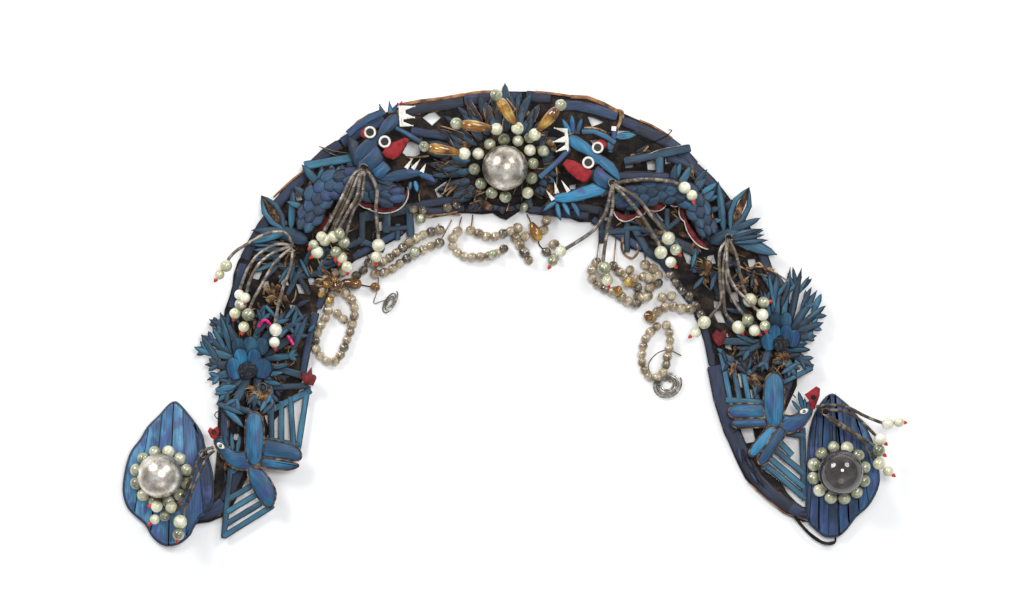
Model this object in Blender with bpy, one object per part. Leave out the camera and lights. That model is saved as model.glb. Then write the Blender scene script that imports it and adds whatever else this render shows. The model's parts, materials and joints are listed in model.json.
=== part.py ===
"""Kingfisher feather headdress: an arched diadem lying on its back, +Y towards its crown, +Z towards the viewer.

Sizes in the tables are millimetres in the part's own frame, and SCALE turns them into Blender's metres.
The origin is at the middle of the whole outline, on the surface that the band rests on.
"""

import math

import bmesh
import bpy
from mathutils import Matrix, Vector

SCALE = 0.001
CLEARANCE = 0.3

# Levels of the card layers above the surface.
BAND_TOP = 2.4
SEAT = BAND_TOP + CLEARANCE
FRET_THICK = 1.4
LEAF_LEVEL = 4.6
LEAF_RISE = 1.1
SHEET_THICK = 1.3
MID_LEVEL = 7.6
HEAD_LEVEL = 13.4
HEAD_THICK = 2.4
STAGGER = 0.03
OVAL_SIDES = 8

# The arch from its left end to its right end: x, y, width.
BAND_SECTIONS = [
    (-144.0, -91.0, 9.0),
    (-135.0, -88.0, 9.5),
    (-128.5, -76.0, 12.0),
    (-123.5, -61.0, 20.0),
    (-121.0, -46.0, 25.0),
    (-114.5, -30.0, 38.0),
    (-112.2, -14.0, 41.0),
    (-106.2, 12.8, 41.5),
    (-87.7, 39.5, 45.5),
    (-62.7, 57.5, 52.0),
    (-34.2, 68.5, 53.0),
    (-2.2, 72.5, 54.0),
    (29.7, 68.5, 53.0),
    (58.2, 57.5, 52.0),
    (83.2, 39.5, 45.5),
    (101.7, 12.8, 41.5),
    (108.2, -14.0, 41.0),
    (110.5, -30.0, 38.0),
    (107.0, -45.0, 28.0),
    (102.0, -56.0, 11.0),
    (104.5, -66.0, 8.0),
    (111.0, -77.0, 8.0),
    (120.5, -85.5, 8.0),
    (131.0, -90.5, 8.0),
    (139.5, -91.5, 8.0),
]
BAND_BAYS = 16
BAND_SOLID_END_BAYS = 3
BAND_STRUT_SHARE = 0.3
RAIL_EDGES = (0.0, 0.17, 0.44, 0.57, 0.85, 1.0)

SPRING_RADIUS = 0.8
SPRING_SIDES = 6
SPRING_STATIONS = 5
BEAD_SIDES = 10
THREAD_RADIUS = 0.5
TIP_RADIUS = 1.0
STRING_SIDES = 8

COLOURS = {
    "dark_card": ((0.035, 0.035, 0.045), 0.85, 0.0),
    "feather_blue": ((0.045, 0.17, 0.42), 0.45, 0.0),
    "feather_teal": ((0.04, 0.14, 0.24), 0.5, 0.0),
    "coral_red": ((0.45, 0.03, 0.04), 0.5, 0.0),
    "white_card": ((0.72, 0.66, 0.58), 0.8, 0.0),
    "glass_pearl": ((0.72, 0.7, 0.58), 0.25, 0.0),
    "silvered_glass": ((0.62, 0.6, 0.55), 0.12, 1.0),
    "clear_glass": ((0.42, 0.38, 0.36), 0.08, 0.0),
    "amber_glass": ((0.5, 0.3, 0.07), 0.15, 0.0),
    "smoky_glass": ((0.3, 0.25, 0.19), 0.2, 0.0),
    "spring_wire": ((0.16, 0.14, 0.12), 0.45, 1.0),
}


def clear_scene():
    """Removes the objects that the startup scene holds."""
    for found in list(bpy.data.objects):
        bpy.data.objects.remove(found, do_unlink=True)


def material(name):
    """The material of that name, made on first use from COLOURS."""
    found = bpy.data.materials.get(name)
    if found is None:
        colour, roughness, metallic = COLOURS[name]
        found = bpy.data.materials.new(name)
        found.use_nodes = True
        shader = found.node_tree.nodes["Principled BSDF"]
        shader.inputs["Base Color"].default_value = (*colour, 1.0)
        shader.inputs["Roughness"].default_value = roughness
        shader.inputs["Metallic"].default_value = metallic
    return found


def finish(bm):
    """A mesh from a bmesh worked in millimetres, its faces turned outwards."""
    bmesh.ops.recalc_face_normals(bm, faces=bm.faces)
    bmesh.ops.scale(bm, vec=(SCALE, SCALE, SCALE), verts=bm.verts)
    mesh = bpy.data.meshes.new("solid")
    bm.to_mesh(mesh)
    bm.free()
    return mesh


def place(name, mesh, colour):
    """An object of that mesh in the scene."""
    made = bpy.data.objects.new(name, mesh)
    bpy.context.scene.collection.objects.link(made)
    mesh.materials.clear()
    mesh.materials.append(material(colour))
    return made


def merge_flat_faces(mesh):
    """Joins neighbouring faces that lie in one plane, and drops corners left on straight edges."""
    bm = bmesh.new()
    bm.from_mesh(mesh)
    bmesh.ops.remove_doubles(bm, verts=bm.verts, dist=2e-6)
    bmesh.ops.dissolve_limit(bm, angle_limit=math.radians(0.3), verts=bm.verts, edges=bm.edges)
    bmesh.ops.triangulate(bm, faces=bm.faces)
    bm.to_mesh(mesh)
    bm.free()


def fuse(name, meshes, colour, smooth=False):
    """One node from closed meshes, joined by one exact union."""
    body = place(name, meshes[0], colour)
    if len(meshes) > 1:
        helpers = bpy.data.collections.new(name + "_pieces")
        for mesh in meshes[1:]:
            helpers.objects.link(bpy.data.objects.new("piece", mesh))
        union = body.modifiers.new("join", "BOOLEAN")
        union.operation = "UNION"
        union.solver = "EXACT"
        union.operand_type = "COLLECTION"
        union.collection = helpers
        graph = bpy.context.evaluated_depsgraph_get()
        joined = bpy.data.meshes.new_from_object(body.evaluated_get(graph))
        body.modifiers.clear()
        body.data = joined
        for piece in list(helpers.objects):
            bpy.data.objects.remove(piece, do_unlink=True)
        bpy.data.collections.remove(helpers)
        merge_flat_faces(joined)
        joined.materials.clear()
        joined.materials.append(material(colour))
    if smooth:
        body.data.shade_smooth()
        body.data.set_sharp_from_angle(angle=math.radians(50))
    return body


def slab(outline, bottom, top, top_scale=1.0):
    """A plate of that outline, extruded upwards. top_scale below 1 draws its upper face in."""
    bm = bmesh.new()
    face = bm.faces.new([bm.verts.new((x, y, bottom)) for x, y in outline])
    grown = bmesh.ops.extrude_face_region(bm, geom=[face])["geom"]
    upper = [v for v in grown if isinstance(v, bmesh.types.BMVert)]
    bmesh.ops.translate(bm, vec=(0, 0, top - bottom), verts=upper)
    middle = sum((v.co for v in upper), Vector()) / len(upper)
    bmesh.ops.scale(bm, vec=(top_scale, top_scale, 1), verts=upper, space=Matrix.Translation(-middle))
    return finish(bm)


def along(start, end):
    """Length, unit direction and unit normal of the line between two points."""
    line = Vector(end) - Vector(start)
    ahead = line.normalized()
    return line.length, ahead, Vector((-ahead.y, ahead.x))


def bar(start, end, width, bottom):
    """A straight strip, cut to a blunt point at each end."""
    length, ahead, side = along(start, end)
    a, b = Vector(start), Vector(end)
    shoulder = min(width * 0.4, length * 0.3)
    half = side * width / 2
    outline = [a, a + ahead * shoulder - half, b - ahead * shoulder - half, b]
    outline += [b - ahead * shoulder + half, a + ahead * shoulder + half]
    return slab([(p.x, p.y) for p in outline], bottom, bottom + SHEET_THICK)


def disc(start, end, width, bottom, thick=SHEET_THICK):
    """An oval plate whose long axis runs between two points, its top edge drawn in."""
    length, ahead, side = along(start, end)
    middle = (Vector(start) + Vector(end)) / 2
    outline = []
    for step in range(OVAL_SIDES):
        angle = 2 * math.pi * step / OVAL_SIDES
        outline.append(middle + ahead * math.cos(angle) * length / 2 + side * math.sin(angle) * width / 2)
    return slab([(p.x, p.y) for p in outline], bottom, bottom + thick, 0.86)


def leaf(start, end, width, bottom):
    """A pointed leaf from its base to its tip, which is lifted by LEAF_RISE."""
    length, ahead, side = along(start, end)
    a, b = Vector(start), Vector(end)
    stations = [(0.0, 0.5), (0.45, 1.0)]
    outline = [a + ahead * length * s - side * width / 2 * w for s, w in stations]
    outline.append(b)
    outline += [a + ahead * length * s + side * width / 2 * w for s, w in reversed(stations)]
    bm = bmesh.new()
    corners = [bm.verts.new((p.x, p.y, bottom + LEAF_RISE * (p - a).dot(ahead) / length)) for p in outline]
    faces = [bm.faces.new([corners[0], corners[1], corners[3], corners[4]])]
    faces.append(bm.faces.new([corners[1], corners[2], corners[3]]))
    grown = bmesh.ops.extrude_face_region(bm, geom=faces)["geom"]
    upper = [v for v in grown if isinstance(v, bmesh.types.BMVert)]
    bmesh.ops.translate(bm, vec=(0, 0, SHEET_THICK), verts=upper)
    return finish(bm)


SHAPES = {"bar": bar, "disc": disc, "leaf": leaf}


def card_pieces(rows, level):
    """Plates from rows of kind, x and y of one end, x and y of the other, width, lift above the level."""
    meshes = []
    for number, (kind, ax, ay, bx, by, width, lift) in enumerate(rows):
        step = STAGGER * (number % 3) if kind == "leaf" else 0.0
        meshes.append(SHAPES[kind]((ax, ay), (bx, by), width, level + lift + step))
    return meshes


def post(x, y, radius, bottom, top, sides=8):
    """An upright round post."""
    bm = bmesh.new()
    centre = Matrix.Translation((x, y, (bottom + top) / 2))
    bmesh.ops.create_cone(
        bm, cap_ends=True, segments=sides, radius1=radius, radius2=radius * 0.96, depth=top - bottom, matrix=centre
    )
    return finish(bm)


def bead(x, y, z, radius, sides=BEAD_SIDES, rows=6, stretch=(1, 1, 1), turn=0.0):
    """A round bead, or an oval one where it is stretched."""
    bm = bmesh.new()
    matrix = Matrix.Translation((x, y, z)) @ Matrix.Rotation(turn, 4, "Z") @ Matrix.Diagonal((*stretch, 1))
    bmesh.ops.create_uvsphere(bm, u_segments=sides, v_segments=rows, radius=radius, matrix=matrix)
    return finish(bm)


def smooth_path(points, pieces=3):
    """Points on a Catmull-Rom curve through the given ones, with that many steps between each two."""
    knots = [Vector(p) for p in points]
    ends = [2 * knots[0] - knots[1]] + knots + [2 * knots[-1] - knots[-2]]
    path = []
    for i in range(1, len(ends) - 2):
        a, b, c, d = ends[i - 1 : i + 3]
        for step in range(pieces):
            t = step / pieces
            turn = (2 * a - 5 * b + 4 * c - d) * t**2 + (3 * b - a - 3 * c + d) * t**3
            path.append(0.5 * (2 * b + (c - a) * t + turn))
    return path + [knots[-1]]


def tube(stations, sides, closed=False):
    """A tube along rows of a point and its radius, as a bevelled curve with filled caps."""
    curve = bpy.data.curves.new("tube", "CURVE")
    curve.dimensions = "3D"
    curve.twist_mode = "MINIMUM"
    curve.bevel_depth = SCALE
    curve.bevel_resolution = (sides - 4) // 2
    curve.use_fill_caps = not closed
    spline = curve.splines.new("POLY")
    spline.points.add(len(stations) - 1)
    spline.use_cyclic_u = closed
    for point, (where, radius) in zip(spline.points, stations):
        point.co = (*(Vector(where) * SCALE), 1.0)
        point.radius = radius
    holder = bpy.data.objects.new("tube", curve)
    bpy.context.scene.collection.objects.link(holder)
    graph = bpy.context.evaluated_depsgraph_get()
    mesh = bpy.data.meshes.new_from_object(holder.evaluated_get(graph))
    bpy.data.objects.remove(holder, do_unlink=True)
    bm = bmesh.new()
    bm.from_mesh(mesh)
    bmesh.ops.remove_doubles(bm, verts=bm.verts, dist=1e-6)
    bmesh.ops.recalc_face_normals(bm, faces=bm.faces)
    bm.to_mesh(mesh)
    bm.free()
    return mesh


def bead_chain(beads, closed=False, tip=None):
    """Beads on a thread as one beaded tube. A row is x, y, z, radius; the tip is a small end knob."""
    centres = [Vector(b[:3]) for b in beads]
    count = len(beads)
    stations = []
    for i, centre in enumerate(centres):
        radius = beads[i][3]
        before = centres[i - 1] if closed or i else centre
        after = centres[(i + 1) % count] if closed or i < count - 1 else Vector(tip or centre)
        ahead = (after - before).normalized()
        if not closed and i == 0:
            stations.append((centre - ahead * radius * 0.8, radius * 0.6))
        stations.append((centre, radius))
        if closed or i < count - 1:
            stations.append(((centre + after) / 2, radius * 0.5))
        else:
            stations.append((centre + ahead * radius * 0.8, radius * 0.6))
    if tip:
        stations.append((Vector(tip), TIP_RADIUS))
    return tube(stations, BEAD_SIDES, closed)


def bead_string(beads, lead_in, lead_out):
    """A string of small beads as one tube of their width, with its bare thread ends. A row is x, y, radius."""
    middle = []
    last = len(beads) - 1
    for i, (x, y, radius) in enumerate(beads):
        if i in (0, last) or i % 2 == 0 and i != last - 1:
            middle.append((Vector((x, y, radius)), radius))
    stations = []
    for lead, (centre, radius) in ((lead_in, middle[0]), (lead_out, middle[-1])):
        ends = []
        if lead:
            end = Vector((*lead, THREAD_RADIUS + 0.1))
            ahead = (end - centre).normalized()
            ends = [(centre + ahead * radius * 1.1, THREAD_RADIUS), (end, THREAD_RADIUS)]
        stations = ends[::-1] + middle if not stations else stations + ends
    return tube(stations, STRING_SIDES)


def serpent(sections, bottom, height):
    """A winding body, round on top: a tube flattened to its height. A row of sections is x, y, width."""
    stations = [((p.x, p.y, 0), p.z / 2) for p in smooth_path(sections, 2)]
    mesh = tube(stations, 8)
    widest = max(s[1] for s in stations)
    bm = bmesh.new()
    bm.from_mesh(mesh)
    flat = height / (2 * widest)
    lift = Matrix.Translation((0, 0, (bottom + height / 2) * SCALE))
    bmesh.ops.transform(bm, matrix=lift @ Matrix.Diagonal((1, 1, flat, 1)), verts=bm.verts)
    bm.to_mesh(mesh)
    bm.free()
    return mesh


def make_band():
    """The openwork card band: an inner, a middle and an outer rail, with struts between the bays."""
    curve = smooth_path(BAND_SECTIONS, 8)
    lengths = [0.0]
    for a, b in zip(curve, curve[1:]):
        lengths.append(lengths[-1] + (b.xy - a.xy).length)
    bays = BAND_BAYS
    shares = []
    for bay in range(bays):
        shares += [bay / bays, (bay + BAND_STRUT_SHARE) / bays]
    shares.append(1.0)
    grid = []
    for share in shares:
        target = share * lengths[-1]
        i = max(k for k in range(len(lengths) - 1) if lengths[k] <= target + 1e-9)
        t = (target - lengths[i]) / (lengths[i + 1] - lengths[i])
        here = curve[i].lerp(curve[i + 1], t)
        ahead = (curve[min(i + 2, len(curve) - 1)].xy - curve[max(i - 1, 0)].xy).normalized()
        out = Vector((-ahead.y, ahead.x))
        grid.append([here.xy + out * here.z * (edge - 0.5) for edge in RAIL_EDGES])
    bm = bmesh.new()
    corners = [[bm.verts.new((p.x, p.y, 0.0)) for p in row] for row in grid]
    across = len(RAIL_EDGES)
    sheet = []
    for i in range(len(grid) - 1):
        bay, is_bay = divmod(i, 2)
        solid = not is_bay or min(bay, bays - 1 - bay) < BAND_SOLID_END_BAYS
        for j in range(across - 1):
            if solid or j % 2 == 0:
                sheet.append(
                    bm.faces.new([corners[i][j], corners[i + 1][j], corners[i + 1][j + 1], corners[i][j + 1]])
                )
    grown = bmesh.ops.extrude_face_region(bm, geom=sheet)["geom"]
    upper = [v for v in grown if isinstance(v, bmesh.types.BMVert)]
    bmesh.ops.translate(bm, vec=(0, 0, BAND_TOP), verts=upper)
    place("band", finish(bm), "dark_card")


# Fretwork on the band under each dragon: kind, x, y, x, y, width, lift.
FRET_LEFT = [
    ("bar", -68, 43, -46, 47, 5.0, 0),
    ("bar", -57, 46, -57, 36, 4.0, 0),
    ("bar", -57.5, 37.5, -45, 38.5, 2.6, 0),
    ("bar", -47, 48, -46, 34, 3.6, 0),
    ("bar", -52, 40, -52, 32.5, 2.6, 0),
    ("bar", -68, 45, -68, 30, 3.0, 0),
    ("bar", -70, 33, -58, 28, 3.0, 0),
    ("bar", -67, 33, -84, 26, 3.0, 0),
    ("bar", -84, 29, -87, 17, 3.6, 0),
    ("bar", -88, 19, -76, 24, 3.0, 0),
    ("bar", -85, 18, -99, 16, 3.2, 0),
    ("bar", -90, 29, -99, 14, 3.0, 0),
    ("bar", -97, 17, -102, 8, 2.6, 0),
    ("bar", -97, 17, -92, 8, 2.6, 0),
    ("bar", -98, 17, -108, 23, 3.0, 0),
]
FRET_RIGHT = [
    ("bar", 40, 46, 40, 31, 2.8, 0),
    ("bar", 38.9, 36, 52.2, 37, 3.0, 0),
    ("bar", 51.5, 46, 51.5, 27, 2.8, 0),
    ("bar", 50, 38, 59, 38, 2.6, 0),
    ("bar", 54, 39, 61, 27, 3.6, 0),
    ("bar", 60, 28, 68, 23, 4.0, 0),
    ("bar", 57, 38, 66, 34, 2.8, 0),
    ("bar", 63, 44, 70, 36, 3.0, 0),
    ("bar", 69.5, 47, 69.5, 35, 2.8, 0),
    ("bar", 69, 37, 77, 44, 2.6, 0),
    ("bar", 63, 36, 84, 27, 5.0, 0),
    ("bar", 82, 29, 82, 18, 3.0, 0),
    ("bar", 80, 20, 96, 16, 3.0, 0),
    ("bar", 90, 18, 94, 6, 4.0, 0),
]

# Leaves round each lotus.
LEAVES_LEFT = [
    ("disc", -125.0, -20.0, -111.0, -20.0, 13.0, 0),
    ("leaf", -126, -10, -137, -3, 4.0, 0),
    ("leaf", -124, -14, -135.5, -6.5, 4.0, 0),
    ("leaf", -124, -20, -140.5, -10, 4.5, 0),
    ("leaf", -124, -21, -143.8, -15.5, 4.5, 0),
    ("leaf", -122, -18, -132, 0, 4.5, 0),
    ("leaf", -121, -24, -139, -23.5, 5.0, 0),
    ("leaf", -121, -25, -138, -30.5, 5.0, 0),
    ("leaf", -116, -25, -133, -34, 5.0, 0),
    ("leaf", -118, -24, -133.5, -41, 5.0, 0),
    ("leaf", -117, -24, -128, -46, 5.0, 0),
    ("leaf", -114, -24, -117, -44, 5.0, 0),
    ("leaf", -112, -24, -108, -43, 4.5, 0),
    ("bar", -114, -23, -89, -30, 3.5, 0),
    ("leaf", -112, -20, -92, -6, 4.0, 0),
    ("leaf", -112, -21, -96, -19, 4.0, 0),
    ("leaf", -115, -17, -92, 0, 4.0, 0),
    ("leaf", -118, -18, -111.5, 3, 4.0, 0),
    ("leaf", -116, -17, -102, 1, 4.0, 0),
    ("disc", -97.0, -28.0, -87.5, -29.5, 7.0, 0.8),
    ("bar", -116, -34, -92, -33, 3.0, 0),
]
LEAVES_RIGHT = [
    ("disc", 114.0, -12.5, 127.0, -12.5, 12.0, 0),
    ("leaf", 124, -8, 130, 20, 4.0, 0),
    ("leaf", 119, -9, 119, 18, 4.0, 0),
    ("leaf", 118, -9, 111, 11, 4.0, 0),
    ("leaf", 121, -9, 125, 20.5, 3.6, 0),
    ("leaf", 125, -9, 137, 10, 4.5, 0),
    ("leaf", 126, -9, 141, 3, 4.0, 0),
    ("leaf", 126, -10, 140, -4.5, 4.5, 0),
    ("leaf", 126, -12, 137, -10.5, 4.0, 0),
    ("leaf", 125, -14, 133, -14, 4.0, 0),
    ("leaf", 124, -16, 134, -17.0, 4.0, 0),
    ("leaf", 121, -15, 135.5, -24.5, 5.0, 0),
    ("leaf", 119, -16, 128, -29, 5.0, 0),
    ("leaf", 116, -15, 112, -27, 4.5, 0),
    ("leaf", 115, -13, 97, 8, 4.0, 0),
    ("bar", 117, -14, 91, -12.5, 3.6, 0),
    ("leaf", 116, -12, 100, -20, 4.0, 0),
    ("disc", 88.5, -11.5, 98.5, -11.0, 6.5, 0.8),
]

# Tail leaves, legs and belly scales of the dragons.
TAIL_LEFT = [
    ("disc", -107, 37.5, -92.5, 32, 7.5, 0),
    ("leaf", -103, 37, -113.5, 52.8, 7.5, 0),
    ("leaf", -100, 38, -99, 55.5, 4.5, 0),
    ("leaf", -102, 37, -118, 37, 4.0, 0),
    ("leaf", -102, 36, -119, 31, 4.0, 0),
]
TAIL_RIGHT = [
    ("disc", 88.5, 32, 103, 36.5, 7.5, 0),
    ("leaf", 98, 37, 106.5, 56.5, 7.5, 0),
    ("leaf", 95, 37, 92.5, 59, 4.5, 0),
    ("leaf", 99, 37, 111.5, 42.5, 4.0, 0),
    ("leaf", 100, 35, 113, 37, 4.0, 0),
    ("leaf", 98, 34, 119, 26, 7.0, 0),
]
BELLY_LEFT = [
    ("disc", -69, 50, -57, 46, 6.0, 0),
    ("disc", -62, 46, -50, 48, 6.0, 0),
    ("disc", -52, 45.5, -46, 56.0, 5.5, 0),
    ("leaf", -49, 47.5, -31, 48.5, 4.0, 0),
]
BELLY_RIGHT = [
    ("disc", 44, 45.5, 57, 43.0, 5.5, 0),
    ("disc", 54, 44, 68, 48.5, 5.5, 0),
    ("disc", 63, 49, 77.5, 49.5, 5.5, 0),
    ("disc", 75.5, 50.0, 77, 38, 5.0, 0),
    ("disc", 76, 42, 87, 29, 5.0, 0),
]
# Centre lines of the dragons' bodies: x, y, width.
BODY_LEFT = [(-50, 53, 7), (-57, 53, 11), (-67, 57.5, 12), (-78, 58.5, 12), (-86, 54, 12), (-90, 46, 11), (-94, 38, 8)]
BODY_RIGHT = [(47, 50, 7), (56, 52.5, 10), (66, 54.5, 10), (74, 54, 10), (80.5, 51, 10), (84.5, 44, 9), (88, 36, 7)]
BODY_HEIGHT = 4.8
FINS_LEFT = [
    ("leaf", -84, 57, -86.5, 66, 4.5, 0),
    ("leaf", -80, 58, -82, 67, 4.5, 0),
    ("leaf", -76, 58, -77, 67, 4.5, 0),
    ("bar", -94, 66, -70, 70, 4.2, 0),
    ("leaf", -86, 56, -95, 66.5, 5.0, 0),
    ("bar", -73, 57, -73, 70, 4.0, 0),
]
FINS_RIGHT = [
    ("leaf", 71, 56, 73.5, 67, 4.5, 0),
    ("leaf", 75, 56, 80, 66, 4.5, 0),
    ("leaf", 80, 53, 87, 60.5, 4.5, 0),
    ("leaf", 83, 48, 91, 55, 4.5, 0),
    ("bar", 66, 54, 66, 70, 4.0, 0),
    ("bar", 50, 68, 80, 74, 4.0, 0),
]

# Heads: snout, brow, cheek, ear, jaw and crest.
HEAD_LEFT = [
    ("disc", -50.5, 91, -73, 66, 9.5, 0),
    ("bar", -74.5, 79.5, -56.5, 91, 4.2, 0.9),
    ("leaf", -63, 86, -61.5, 94, 4.0, 0.2),
    ("leaf", -60, 87, -57.5, 95, 4.0, 0.2),
    ("leaf", -57, 86, -54.2, 94.8, 4.0, 0.2),
    ("disc", -73.5, 70, -57, 70, 14.0, 0.3),
    ("leaf", -70, 72, -74.5, 80, 6.0, 0.3),
    ("disc", -60.5, 58.5, -39, 64.5, 6.0, -0.4),
    ("bar", -66, 68, -54, 59, 5.0, -0.2),
    ("bar", -54, 83, -41, 76, 2.8, 0.6),
    ("leaf", -45, 62, -33.5, 58.5, 3.4, -0.4),
]
HEAD_RIGHT = [
    ("disc", 23.5, 81, 50.5, 58.5, 9.5, 0),
    ("bar", 32, 81, 46.5, 76, 4.2, 0.9),
    ("leaf", 28, 79, 22, 87.5, 4.0, 0.2),
    ("leaf", 29, 79, 26, 90, 4.0, 0.2),
    ("leaf", 30.5, 78, 31, 88, 4.0, 0.2),
    ("disc", 34, 60, 50, 60, 9.0, 0.3),
    ("disc", 16.5, 52, 43.5, 55, 6.4, -0.4),
    ("bar", 36, 64, 42, 53, 5.0, -0.2),
    ("bar", 12, 60.5, 30, 75.5, 3.0, 0.6),
    ("leaf", 40, 76, 55.5, 80, 4.0, 0.1),
    ("bar", 45, 61.5, 70, 61.5, 3.6, 0.1),
]
TEETH_LEFT = [
    ("disc", -50.5, 83, -50, 93, 3.0, 0),
    ("leaf", -50.5, 91, -43.5, 92.5, 3.6, 0),
    ("leaf", -50.5, 88, -43.8, 87.6, 3.6, 0),
    ("leaf", -50.5, 85, -44.6, 83.8, 3.6, 0),
]
TEETH_RIGHT = [
    ("disc", 24.8, 71, 24.8, 83.5, 3.0, 0),
    ("leaf", 24.5, 81, 18.2, 82.8, 3.6, 0),
    ("leaf", 24.5, 77, 17.8, 76.7, 3.6, 0),
    ("leaf", 24.5, 73.5, 19.3, 72.2, 3.6, 0),
]
TONGUE_LEFT = [
    ("disc", -62, 76, -52.5, 68, 6.5, 0),
    ("disc", -56, 69.5, -46, 78.5, 6.0, 0),
]
TONGUE_RIGHT = [
    ("disc", 21.8, 66.5, 35.5, 61, 7.5, 0),
    ("disc", 28, 68.8, 35, 59, 6.0, 0),
]

# Birds: body and wings in one layer, openwork tail in the layer below.
BIRD_LEFT = [
    ("disc", -133.5, -58.5, -124, -70, 6.0, 0),
    ("disc", -127, -70.5, -113, -67, 6.0, 0),
    ("disc", -134.5, -57, -128, -62, 5.5, 0.4),
    ("disc", -116.5, -45, -116.5, -69, 8.0, 0.3),
    ("disc", -114, -57.5, -95, -63, 7.0, 0),
    ("disc", -114, -68.5, -97, -69.5, 5.0, 0.1),
    ("disc", -119, -69.5, -108.5, -87.5, 8.5, 0.2),
]
BIRD_RIGHT = [
    ("disc", 118, -50, 128, -50, 7.0, 0),
    ("disc", 126, -51, 134.5, -41, 7.0, 0),
    ("disc", 128, -46.5, 135, -42.5, 5.0, 0.4),
    ("disc", 117.5, -27.5, 117.5, -51.5, 9.0, 0.3),
    ("disc", 97, -44.8, 119, -45.5, 6.5, 0),
    ("disc", 98.5, -49.2, 119, -50, 4.5, 0.1),
    ("disc", 117, -49, 107.5, -63.5, 5.0, 0.2),
    ("disc", 120, -50, 112, -67.5, 5.0, 0.1),
]
BIRD_TAIL_LEFT = [
    ("bar", -127.5, -70, -130.5, -102, 2.8, 0),
    ("bar", -130.5, -101, -108, -87, 2.8, 0),
    ("bar", -129.5, -95.5, -113.5, -86, 2.8, 0),
    ("bar", -129, -90, -113, -80.5, 2.8, 0),
    ("bar", -129, -84.5, -114, -76, 2.8, 0),
    ("bar", -109, -44, -109, -60, 2.8, 0),
    ("bar", -104.5, -40, -104.5, -61, 2.8, 0),
    ("bar", -100.5, -38, -99, -61, 2.8, 0),
    ("bar", -92.5, -33, -97, -62, 2.8, 0),
    ("bar", -111, -45, -91, -35, 3.2, 0),
    ("bar", -119, -56, -96, -60, 2.8, 0),
    ("bar", -127, -72, -108, -57, 3.2, 0),
]
BIRD_TAIL_RIGHT = [
    ("bar", 130.5, -52, 131.5, -85, 3.0, 0),
    ("bar", 118, -56, 126, -64.5, 3.0, 0),
    ("bar", 116, -60, 131.5, -73, 3.0, 0),
    ("bar", 115, -65, 131.5, -79, 3.0, 0),
    ("bar", 113, -68, 132, -84, 3.0, 0),
    ("bar", 116, -53, 113, -71, 3.0, 0),
    ("bar", 94, -19, 98.5, -42, 2.8, 0),
    ("bar", 98.5, -20, 103, -43, 2.8, 0),
    ("bar", 103.5, -24, 107, -43, 2.8, 0),
    ("bar", 108, -27, 111, -43, 2.8, 0),
    ("bar", 93, -18, 112, -30.5, 3.2, 0),
    ("bar", 96, -39.5, 119, -41, 3.0, 0),
    ("bar", 117.5, -39, 117.5, -58, 3.2, 0),
    ("bar", 116, -53, 132.0, -56, 3.0, 0),
]
COMB_LEFT = [
    ("disc", -137.5, -53.0, -132.5, -55.5, 4.5, 0),
    ("disc", -135.0, -51.0, -133.5, -57.0, 4.5, 0),
]
COMB_RIGHT = [
    ("disc", 130.5, -38.5, 138.0, -34.0, 5.0, 0),
    ("disc", 133.0, -44.0, 136.6, -36.5, 3.8, 0),
]


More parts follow.
